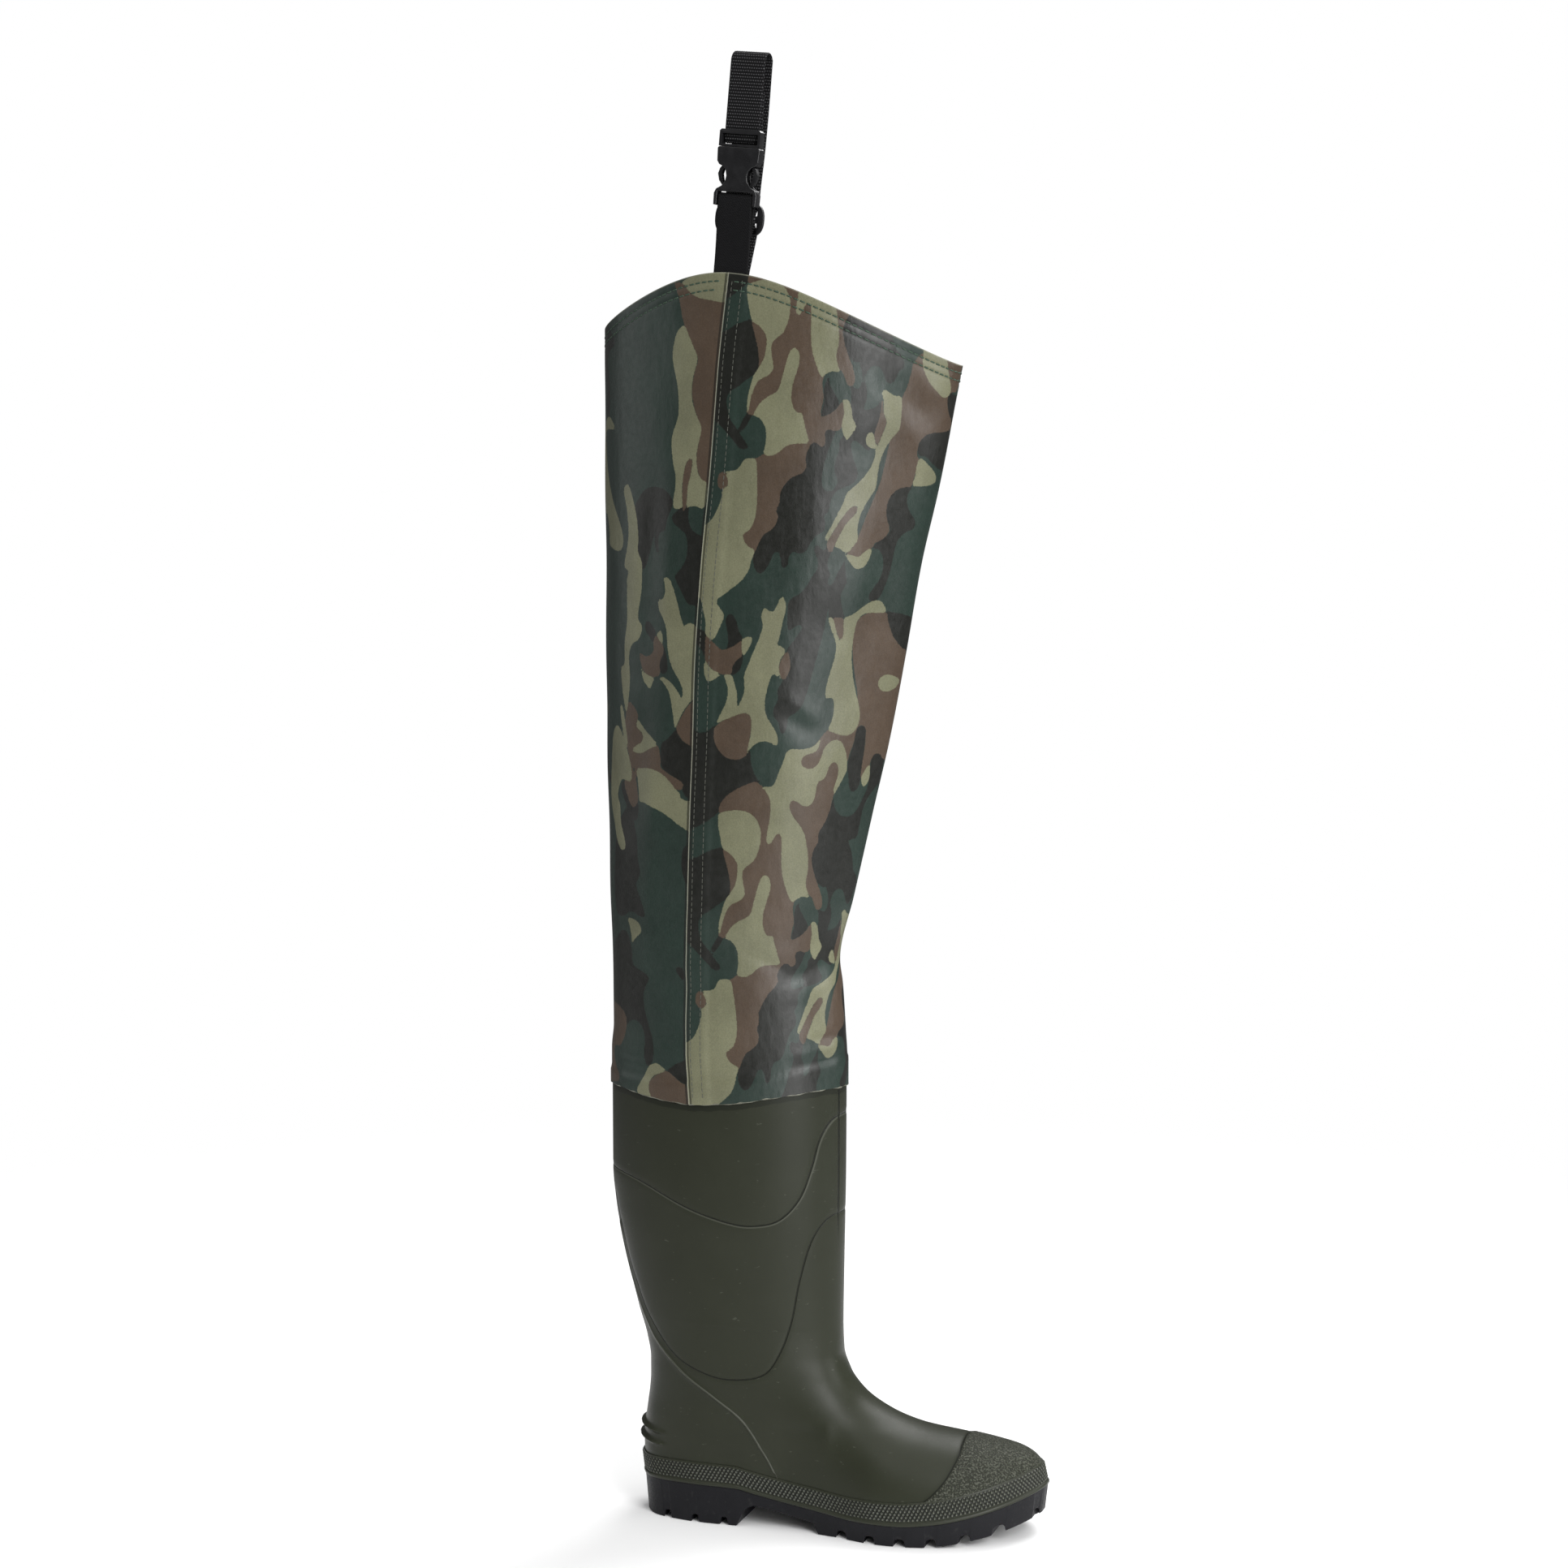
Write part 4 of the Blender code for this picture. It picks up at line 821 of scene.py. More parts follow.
# Where the lapped edge of the front panel runs, in front of the seam line (negative is behind it)
SeamEdge = namedtuple("SeamEdge", "z ahead")
SEAM_EDGE = (SeamEdge(312, -1.5), SeamEdge(360, -4.5), SeamEdge(420, -1.5), SeamEdge(450, -3.0),
             SeamEdge(500, -5.0), SeamEdge(560, -7.0), SeamEdge(640, -9.0), SeamEdge(700, -8.5),
             SeamEdge(760, -7.5), SeamEdge(830, -7.0), SeamEdge(880, -5.0), SeamEdge(900, -4.0))
seam_edge = table_curve(SEAM_EDGE, "z", "ahead")


def hem_peak(x):
    """Top edge of the leg on its outer side, a rounded peak."""
    return HEM_PEAK_Z - HEM_SLOPE * (np.hypot(x - HEM_PEAK_X, HEM_ROUND) - HEM_ROUND)


def level_height(level):
    """Height of a level under the hem's peak, before its fall."""
    return WELD_HEIGHT + level * (HEM_PEAK_Z - WELD_HEIGHT)


def hem_corner(line, level, drop):
    """Height of the hem over the end of a row at the leg's back or front line."""
    z = level_height(level)
    for _ in range(CORNER_TURNS):
        x = line(z)
        z = weld_edge(x) + level * (hem_peak(x) - weld_edge(x)) - drop
    return hem_peak(line(z))


def leg_ring(angles, level, drop):
    """Ring of the leg at angles from the back line over the outer side; level is its share of the way up."""
    place = -np.cos(angles)
    inner_side = np.sin(angles) < 0.0
    hem_back = hem_corner(back_line, level, drop)
    hem_front = hem_corner(front_line, level, drop)
    dip = hem_back + (hem_front - hem_back) * (0.5 + 0.5 * place) - HEM_INNER_DROP * (1.0 - place ** 2)
    z = np.full(len(angles), level_height(level))
    for _ in range(RING_TURNS):
        x = oval_x(place, z)
        low = weld_edge(x)
        z = low + level * (np.where(inner_side, dip, hem_peak(x)) - low) - drop
    return np.stack([x, section_y(angles, z), z], axis=1)


def section_y(angles, z):
    """Sideways place on the leg's section at height z, flatter towards the crease down the front."""
    place = -np.cos(angles)
    power = 0.5 + crease_at(z) * smooth_step(place)
    side = half_width(z) * np.clip(1.0 - place ** 2, 0.0, None) ** power
    return np.where(np.sin(angles) < 0.0, side, -side)


ARC_HEIGHTS = np.linspace(300.0, 905.0, 56)
ARC_ANGLES = np.linspace(0.0, 2.0 * np.pi, 601)
LAST_CELL = 1.001           # keeps a place inside the last cell of the table of lengths


def arc_table():
    """Length run around the level section at each height, from the back line to each angle."""
    table = []
    for z in ARC_HEIGHTS:
        x = oval_x(-np.cos(ARC_ANGLES), z)
        y = section_y(ARC_ANGLES, np.full(len(ARC_ANGLES), z))
        table.append(run_along(np.stack([x, y], axis=1)))
    return np.array(table)


ARCS = arc_table()
SEAM_ANGLE = math.acos(-SEAM_PLACE)


def look_up(angles, z):
    """Length run to an angle at height z, read between the rows and columns of the table."""
    row = np.clip((z - ARC_HEIGHTS[0]) / (ARC_HEIGHTS[1] - ARC_HEIGHTS[0]), 0.0, len(ARC_HEIGHTS) - LAST_CELL)
    spot = np.clip(angles / (ARC_ANGLES[1] - ARC_ANGLES[0]), 0.0, len(ARC_ANGLES) - LAST_CELL)
    i = row.astype(int)
    j = spot.astype(int)
    down = row - i
    along = spot - j
    low = ARCS[i, j] * (1.0 - along) + ARCS[i, j + 1] * along
    high = ARCS[i + 1, j] * (1.0 - along) + ARCS[i + 1, j + 1] * along
    return low * (1.0 - down) + high * down


def leg_girth(z):
    return np.interp(z, ARC_HEIGHTS, ARCS[:, -1])


def chart_place(angles, z):
    """Length run from the seam line around the front to an angle; a full turn past 2 pi counts on."""
    turns = np.floor(angles / (2.0 * np.pi))
    run = look_up(angles - 2.0 * np.pi * turns, z) + turns * leg_girth(z)
    return run - look_up(np.full_like(angles, SEAM_ANGLE), z)


# Soft creases of the leg, as lines on its chart: length from the seam line and height at both ends
Crease = namedtuple("Crease", "name start_u start_z end_u end_z depth width")
CREASES = (
    Crease("over the collar, front", 70.0, 338.0, 118.0, 344.0, -1.1, 3.2),
    Crease("roll over the collar, front", 66.0, 347.0, 118.0, 352.0, 0.8, 4.5),
    Crease("second fold over the collar", 84.0, 357.0, 120.0, 361.0, -0.8, 4.0),
    Crease("back of the collar", -70.0, 338.0, -34.0, 334.0, -0.7, 4.0),
    Crease("knee bend, front", 58.0, 398.0, 104.0, 412.0, -1.0, 6.0),
    Crease("roll under the knee", 62.0, 386.0, 104.0, 398.0, 0.5, 7.0),
    Crease("roll over the knee bend", 52.0, 416.0, 106.0, 428.0, 0.5, 7.5),
    Crease("slant fold at the knee", 26.0, 432.0, 78.0, 404.0, -0.8, 5.0),
    Crease("shallow slant at the shin", 10.0, 470.0, 70.0, 452.0, -0.6, 8.0),
    Crease("thigh dent, low", 52.0, 596.0, 84.0, 572.0, -1.0, 7.0),
    Crease("thigh dent, its upper lip", 54.0, 608.0, 90.0, 584.0, 0.7, 6.0),
    Crease("thigh dent, high", 100.0, 838.0, 158.0, 788.0, -1.3, 9.0),
    Crease("thigh roll, high", 92.0, 826.0, 148.0, 774.0, 0.9, 9.0),
    Crease("hem slant, front", 118.0, 842.0, 166.0, 806.0, 0.8, 6.0),
    Crease("back trough, low", -52.0, 350.0, -58.0, 470.0, -1.3, 9.0),
    Crease("back trough, middle", -60.0, 480.0, -50.0, 610.0, -1.2, 10.0),
    Crease("back trough, high", -48.0, 620.0, -56.0, 760.0, -1.2, 10.0),
    Crease("back ridge", -36.0, 420.0, -40.0, 560.0, 0.8, 9.0),
    Crease("back ridge, high", -34.0, 640.0, -40.0, 780.0, 0.7, 9.0),
    Crease("broad flat of the thigh", 84.0, 560.0, 92.0, 690.0, -2.4, 34.0),
    Crease("broad flat of the thigh, high", 96.0, 720.0, 100.0, 800.0, -1.8, 30.0),
    Crease("front trough along the thigh", 96.0, 560.0, 130.0, 720.0, -0.9, 12.0),
    Crease("side trough along the thigh", 40.0, 640.0, 60.0, 800.0, -0.7, 16.0),
    Crease("inner knee fold", 190.0, 404.0, 250.0, 396.0, -1.5, 6.0),
    Crease("inner knee roll", 186.0, 418.0, 252.0, 410.0, 1.0, 7.0),
    Crease("inner collar fold", 180.0, 344.0, 240.0, 338.0, -1.0, 4.5),
    Crease("inner thigh slant", 230.0, 640.0, 300.0, 600.0, -1.2, 10.0),
    Crease("inner thigh slant, high", 250.0, 800.0, 330.0, 750.0, -1.2, 11.0),
)
CREASE_END = 0.35           # share of a crease's length over which each end fades out
CREASE_TAIL = 0.15          # share of its depth that is left at its ends
BACK_REACH = 100.0          # creases behind the seam line lie within this length of it

# Long low waves of the cloth: height, and two sines to be multiplied, as length in u, length in z and start
Wave = namedtuple("Wave", "height first second")
SLACK_WAVES = (
    Wave(0.30, (17.0, 61.0, 0.0), (math.inf, 43.0, 1.0)),
    Wave(0.22, (9.0, -37.0, 2.0), (31.0, 29.0, 0.0)),
)


def crease_relief(u, z):
    """Soft troughs and ridges of the cloth, in millimetres outwards."""
    girth = leg_girth(z)
    relief = np.zeros_like(u)
    for crease in CREASES:
        start = np.array([crease.start_u, crease.start_z])
        along = np.array([crease.end_u, crease.end_z]) - start
        place = np.where(u > girth - BACK_REACH, u - girth, u) if crease.start_u < 0.0 else u
        across = np.stack([place - start[0], z - start[1]], axis=-1)
        share = across @ along / (along @ along)
        held = np.clip(share, 0.0, 1.0)
        miss = np.linalg.norm(across - held[..., None] * along, axis=-1)
        ends = smooth_step(held / CREASE_END) * smooth_step((1.0 - held) / CREASE_END)
        depth = crease.depth * (CREASE_TAIL + (1.0 - CREASE_TAIL) * ends)
        relief = relief + depth * np.exp(-(miss / crease.width) ** 2)
    return relief


def slack_relief(u, z):
    """Long low waves of the cloth, so that no stretch of the tube is quite flat."""
    relief = np.zeros_like(u)
    for wave in SLACK_WAVES:
        sines = [np.sin(u / across + z / up + start) for across, up, start in (wave.first, wave.second)]
        relief = relief + wave.height * sines[0] * sines[1]
    return relief


def column_angles():
    """Angles of the leg's columns, evenly apart at the gauge height, from the lap round to the lap again."""
    steps = np.linspace(0.0, 1.0, LEG_COLUMNS)
    row = np.array([np.interp(GAUGE_Z, ARC_HEIGHTS, ARCS[:, k]) for k in range(len(ARC_ANGLES))])
    start = np.interp(SEAM_ANGLE, ARC_ANGLES, row)
    run = start + steps * row[-1]
    turns = np.floor(run / row[-1])
    return np.interp(run - turns * row[-1], row, ARC_ANGLES) + turns * 2.0 * np.pi, steps


def leg_levels():
    """Rows of the leg from weld to hem: level and the fall below it."""
    body = [(level, HEM_FOLD * level) for level in np.linspace(0.0, 1.0, LEG_ROWS)]
    return body + [(1.0, drop) for drop in HEM_DROPS]


def leg_grid():
    """Plain surface of the leg with its angle and its two chart lengths at each point."""
    base, steps = column_angles()
    near_seam = 1.0 - smooth_step(np.minimum(steps, 1.0 - steps) / SEAM_SHARE)
    rings = []
    turned = []
    for level, drop in leg_levels():
        middle = level_height(level) - drop
        half = 0.5 * (front_line(middle) - back_line(middle))
        angles = base + near_seam * seam_edge(middle) / (half * math.sin(SEAM_ANGLE))
        rings.append(leg_ring(angles, level, drop))
        turned.append(angles)
    grid = np.array(rings)
    u = chart_place(np.array(turned), grid[:, :, 2])
    return grid, u


def leg_relief(grid, u):
    """Everything that stands out of the leg's plain tube: lap, collar step, hem stitching and creases."""
    z = grid[:, :, 2]
    above_collar = z - collar_edge(grid[:, :, 0])
    below_hem = z[-1:] - z
    past_edge = u - u[:, :1]
    steps = np.linspace(0.0, 1.0, LEG_COLUMNS)
    relief = SEAM_PROUD * (1.0 - smooth_step((past_edge - SEAM_LAP + LAP_RAMP) / LAP_RAMP))
    relief = relief - COLLAR_STEP * smooth_step(above_collar / COLLAR_RAMP)
    for drop in HEM_STITCH_DROPS:
        relief = relief - STITCH_DIP * np.exp(-((below_hem - drop) / STITCH_DIP_WIDTH) ** 2)
    calm = smooth_step(above_collar / COLLAR_CALM) * smooth_step((below_hem - HEM_FLAT) / HEM_CALM)
    seam_calm = SEAM_SLACK + (1.0 - SEAM_SLACK) * smooth_step(np.minimum(steps, 1.0 - steps) / SEAM_CALM)
    creases = crease_relief(u, z) * (CREASE_LEFT + (1.0 - CREASE_LEFT) * calm)
    return relief + creases + slack_relief(u, z) * calm * seam_calm


# Print of the leg: outlines of its colour patches, (length in front of the seam line, height); green lies
# under all, then dark, brown and tan on top, and a stripe turns tan to brown
FRONT_TAN = (
    ((30, 402), (31.5, 396), (32.5, 386), (33.5, 372), (33, 361), (30, 353), (25.5, 350), (27.5, 344),
     (31, 341), (35, 338.5), (33.5, 334), (31.5, 325), (28, 319), (22, 313.5), (15, 308), (10, 303.5),
     (13, 298), (16, 293), (13, 284), (9.5, 276.5), (6, 277.5), (3, 281), (3, 288), (0.5, 297),
     (-2.5, 305), (-12, 315), (-12, 345), (-5, 354.5), (1, 359), (5, 366), (8, 375), (8, 381), (11, 382),
     (12, 386), (10.5, 390), (9, 393), (13, 393.7), (18, 395), (20.5, 399), (23, 402)),
    ((15.7, 521), (20, 523), (28, 524.3), (36, 523), (42, 519), (46, 512), (47, 504), (46, 496),
     (43.5, 489), (40, 485.5), (36.5, 482.5), (35.5, 479), (36, 474), (37.5, 468), (38, 463), (35, 459.5),
     (30, 457), (27, 454), (25, 449), (23.5, 442), (22.5, 435), (21.5, 435), (21.3, 443), (22.5, 451),
     (24.5, 459), (28, 465), (31, 471), (32, 479), (31.5, 486), (28, 491), (24, 494.5), (20.5, 496.5),
     (18.5, 503), (16.5, 511), (15.7, 516)),
    ((52, 478), (55, 475), (56, 469), (54.5, 461), (52.5, 453), (52, 446), (53, 440), (55, 435.5),
     (58, 433.5), (60, 434), (62, 428), (64.5, 420), (66.5, 414), (65, 412.5), (60, 412.5), (54, 412),
     (50, 410), (46, 406.5), (42, 404.5), (38, 404.5), (35.5, 406), (36.5, 412), (36.5, 419), (35, 425),
     (31, 430), (26.5, 432), (28, 436), (31, 441), (36, 445), (41, 447.5), (43.5, 451), (44.5, 457),
     (46, 464), (47.5, 471), (49.5, 476.5)),
    ((61, 566), (65, 568), (71, 567.5), (77, 568.5), (82, 571.5), (85, 576), (84, 571), (82.5, 567),
     (80, 565), (76, 564), (73, 562.5), (71.5, 559.5), (72.5, 556), (76, 554), (80, 554), (83.5, 556.5),
     (85.5, 561), (87, 566.5), (90, 571), (94, 573.5), (98, 573.5), (101, 571), (104, 565), (105.5, 559),
     (106, 552), (104, 547), (101, 541), (98, 535.5), (97.5, 535), (97, 539), (98.5, 545), (99.5, 551),
     (98.5, 556), (96, 558), (93.5, 557), (91.5, 553), (90, 548), (88, 545.5), (85, 544.5), (84, 541),
     (83.5, 535), (82, 530), (79, 527), (75, 527.5), (71, 530), (67.5, 531.5), (65.5, 529), (66, 525),
     (69, 519.5), (74, 513), (78, 506), (80, 498), (81.5, 490), (82, 480), (81, 472), (83, 465),
     (84.5, 461), (79, 462), (74, 459.5), (73, 457.5), (70, 461), (67, 468), (64, 477), (62.5, 487),
     (62, 497), (61.5, 504), (60, 507.5), (57.5, 507), (55, 502), (53, 500), (51, 503), (51.5, 511),
     (52.5, 520), (52, 530), (50, 535.5), (46, 540), (43, 543), (47, 541.5), (52, 541), (54.5, 545),
     (56.5, 552), (59, 559)),
    ((51, 675), (53.5, 672), (54.5, 667), (53, 658), (51.5, 648), (50, 641), (53, 640), (56, 636.5),
     (53, 631), (52, 625), (53.5, 620), (55, 617), (52, 618.5), (49.5, 620.5), (47, 619), (45, 611),
     (43.5, 601), (44.5, 593), (47.5, 587.5), (52, 581), (54, 575), (53.5, 570), (49, 572.5), (43, 573.3),
     (38, 571), (34.5, 567), (33, 564.5), (34, 572), (35, 580), (35, 587), (33.5, 591.5), (30, 593.2),
     (26, 592.5), (20, 590), (14, 587.5), (10, 585.5), (12, 591.5), (15.5, 599), (17, 606), (16, 613),
     (13.5, 619), (15, 620), (19, 619.5), (21.5, 613), (23.5, 607), (24, 600), (24, 597.3), (26, 600),
     (28.5, 607), (28.5, 613), (28, 620), (31, 629), (34.5, 639), (37.5, 647), (39, 655), (37.5, 661),
     (39, 666.5), (41, 666), (43.5, 664.3), (46.5, 665), (48.5, 669.5)),
    ((25, 644.5), (28, 646.5), (31.5, 646.5), (32, 643), (29.5, 637.5), (27, 633.5), (25.5, 636)),
    ((-1, 630), (2, 626), (6, 622.5), (11, 620.3), (8, 617.5), (4, 615.2), (1.5, 615.5), (-0.5, 619),
     (-1.5, 624)),
    ((129, 663), (127, 668), (123, 671.3), (118, 671.2), (112, 668.5), (107, 665), (102, 661.5),
     (96.5, 659), (97, 650), (96.5, 645), (95, 643.5), (93, 646.5), (90.8, 652), (88.2, 659.5),
     (85, 659.5), (88, 651), (91, 644.5), (92.3, 638), (91.5, 630), (89, 621), (87, 612), (86.5, 605.5),
     (88, 602.5), (90.5, 603.5), (93, 601.5), (93.5, 595), (92.5, 588), (90, 581), (95, 578.5),
     (101, 576.7), (106, 577), (110, 579.5), (113, 584.5), (113.8, 591), (112.5, 598), (110, 606),
     (107.5, 615), (105.5, 625), (104.5, 636), (105, 647), (106, 655), (108.5, 660), (113, 662.5),
     (120, 662.7)),
    ((127.3, 613), (129.5, 617), (134, 618.7), (140, 618), (146, 616), (150, 613.5), (146, 609.5),
     (140, 607), (134, 606.7), (129.5, 608.5)),
    ((119, 545), (121, 549.5), (124, 553.5), (126, 554.5), (127, 550), (127, 544), (124.5, 540),
     (121.5, 539.5)),
    ((87.8, 441.5), (89.5, 443), (92.5, 441), (94.5, 435), (95.5, 430), (98.5, 424), (96, 419.5),
     (93.5, 415), (91.5, 416.5), (89, 421.5), (88.5, 428), (89.3, 434)),
    ((109.5, 815), (112, 817.5), (117, 814.5), (121, 813), (125, 812.5), (125.3, 800), (124.5, 790),
     (120, 784), (115.5, 776), (113, 767), (112, 757), (111.5, 749.5), (107.5, 742.5), (104, 736.5),
     (101.3, 729), (100.5, 721), (101.5, 714.5), (98.5, 709.5), (94.5, 705), (90, 707.5), (85.5, 709.5),
     (81, 712), (78, 715.5), (81, 722), (85, 731), (88.5, 739), (91, 746.5), (95.5, 750.5), (101, 756),
     (105.5, 762), (108.5, 769.5), (109, 776), (105, 777.5), (101.8, 780.5), (101.3, 785), (103.5, 788.5),
     (106, 787.5), (107.8, 782.5), (109.3, 777.5), (112, 784), (114, 791), (114.7, 796), (112.3, 801),
     (111.5, 808), (110.5, 813)),
    ((93.5, 703.5), (96.5, 703.8), (99.5, 703), (103, 702.2), (106, 704.5), (109, 707), (112.5, 707.7),
     (112, 703), (109.5, 697.5), (106, 694.3), (102, 694), (98.5, 697)),
    ((138.5, 840.5), (139, 834), (141.5, 828), (146, 822), (152, 817), (158, 813), (163, 812.5),
     (167, 815.5), (166.5, 820), (163, 828), (160, 836), (158.5, 842), (158, 848), (140, 852)),
    ((140.5, 751.5), (141.5, 758), (142, 765), (143.5, 770), (147, 769.5), (152, 766), (158, 762),
     (162.5, 757.5), (162, 753.5), (156, 751.5), (148, 751)),
)
FRONT_STRIPES = (
    ((79.5, 711), (83, 719), (88, 728), (93, 735), (96.5, 737.5), (99, 737), (99.3, 734), (96.5, 730),
     (92, 725), (88.5, 718), (85.5, 710.5), (83, 705)),
)
FRONT_BROWN = (
    ((35, 337.5), (37, 343), (40, 349.5), (45, 353), (48, 357), (49, 362.5), (47.5, 366.5), (49.3, 372),
     (49.3, 378.5), (52, 384.5), (57, 389.5), (63, 392), (66, 396), (65, 402.5), (66.5, 409),
     (69.5, 413.3), (72.5, 412.5), (75, 410), (77.7, 411.5), (77.7, 416), (77, 420), (80, 422.5),
     (84.5, 421), (89, 424), (90, 434), (88, 442), (84, 436.5), (78.5, 432.3), (73.5, 431), (73.5, 437),
     (74.5, 443), (73.3, 450), (73, 457), (76, 466), (68, 485), (66, 505), (58, 512), (56, 520),
     (54, 533), (48, 539), (43.5, 543), (40, 544.5), (32, 541.5), (24, 537), (18, 531), (15.6, 523),
     (22, 518), (24, 505), (20.5, 497), (24, 485), (27, 474), (27.5, 464), (25, 458), (22.5, 446),
     (21.5, 436), (22, 433.5), (26.5, 432), (32, 436), (40, 420), (38, 408), (35.5, 405.5), (31, 402.5),
     (29.5, 402), (28, 395), (30, 375), (29, 360), (24, 350), (27, 342), (33, 338)),
    ((84, 463), (86.5, 461), (89, 455), (91.5, 451.7), (94.3, 452.5), (95, 457), (93, 464.5), (89.5, 472),
     (86, 481), (84.3, 489), (85.5, 496), (88.3, 501), (88, 507), (91, 512.5), (94, 519), (96, 527),
     (97.5, 535), (102, 548), (105.5, 557), (107.5, 564), (110.3, 573), (111.5, 580), (114, 583),
     (118.3, 582.5), (119.7, 578), (119.5, 565), (118.5, 552), (119, 545), (123, 547), (126, 554),
     (127, 558.5), (130, 562), (136, 561.5), (142, 557.5), (158, 560), (160, 600), (156, 632), (148, 637),
     (141, 642), (135.5, 648.5), (131.5, 657), (129, 663), (118, 664), (105, 655), (106, 630), (112, 600),
     (108, 583), (98, 579), (92, 582), (88, 579.5), (85.5, 576.5), (80, 570), (70, 562), (70, 556),
     (62, 545), (60, 525), (72, 505), (77, 490), (79, 470)),
    ((9, 583), (8.3, 577), (10, 570.5), (14.5, 564.5), (20, 561), (26, 560), (31, 562), (33.3, 565),
     (34.5, 575), (35.2, 585), (34, 591), (30, 593.3), (24, 592), (16, 588.5)),
    ((-1.5, 649), (0, 647), (5, 642), (10, 637.7), (15, 638), (20, 640.5), (25, 644), (25.5, 638),
     (26, 633.5), (23, 631), (20, 627.5), (19, 622.5), (19.5, 620), (15, 620), (11, 620.2), (6, 622.5),
     (2, 626.5), (-1, 631)),
    ((55, 617), (52.5, 621), (52, 626), (54, 632), (57, 636.8), (59.3, 632), (60, 625.5), (58.5, 620),
     (57, 617)),
    ((88.2, 659.5), (90.8, 651.5), (95, 643.5), (97, 646), (96.8, 653), (96, 659)),
    ((5, 392), (9, 393), (11.5, 389.5), (12, 385), (10, 381.2), (6, 381.5), (4, 386)),
    ((125.5, 812), (128, 818), (129.7, 827), (131, 835), (135, 840.5), (139, 843), (150, 846), (165, 846),
     (178, 838), (176, 818), (168, 816), (164.5, 812.5), (166, 806), (170, 799.5), (175, 796), (175, 791),
     (165, 788.5), (155, 788), (148, 786.5), (143, 783), (141, 778), (141.5, 772), (144, 768), (141, 758),
     (139.5, 751), (134, 750.3), (128, 748.5), (123.5, 744), (121.2, 737.5), (121.7, 730), (125, 721.5),
     (122.5, 716), (118, 713.3), (114.5, 711.5), (112, 707.5), (104, 700), (96, 702), (94.5, 704.8),
     (100, 712), (106, 730), (115, 755), (120, 790)),
    ((109.5, 814), (111.5, 806), (112.5, 800), (114.7, 796), (113.5, 789), (109.5, 778), (108, 782),
     (107, 789), (109, 796), (109.8, 805)),
)
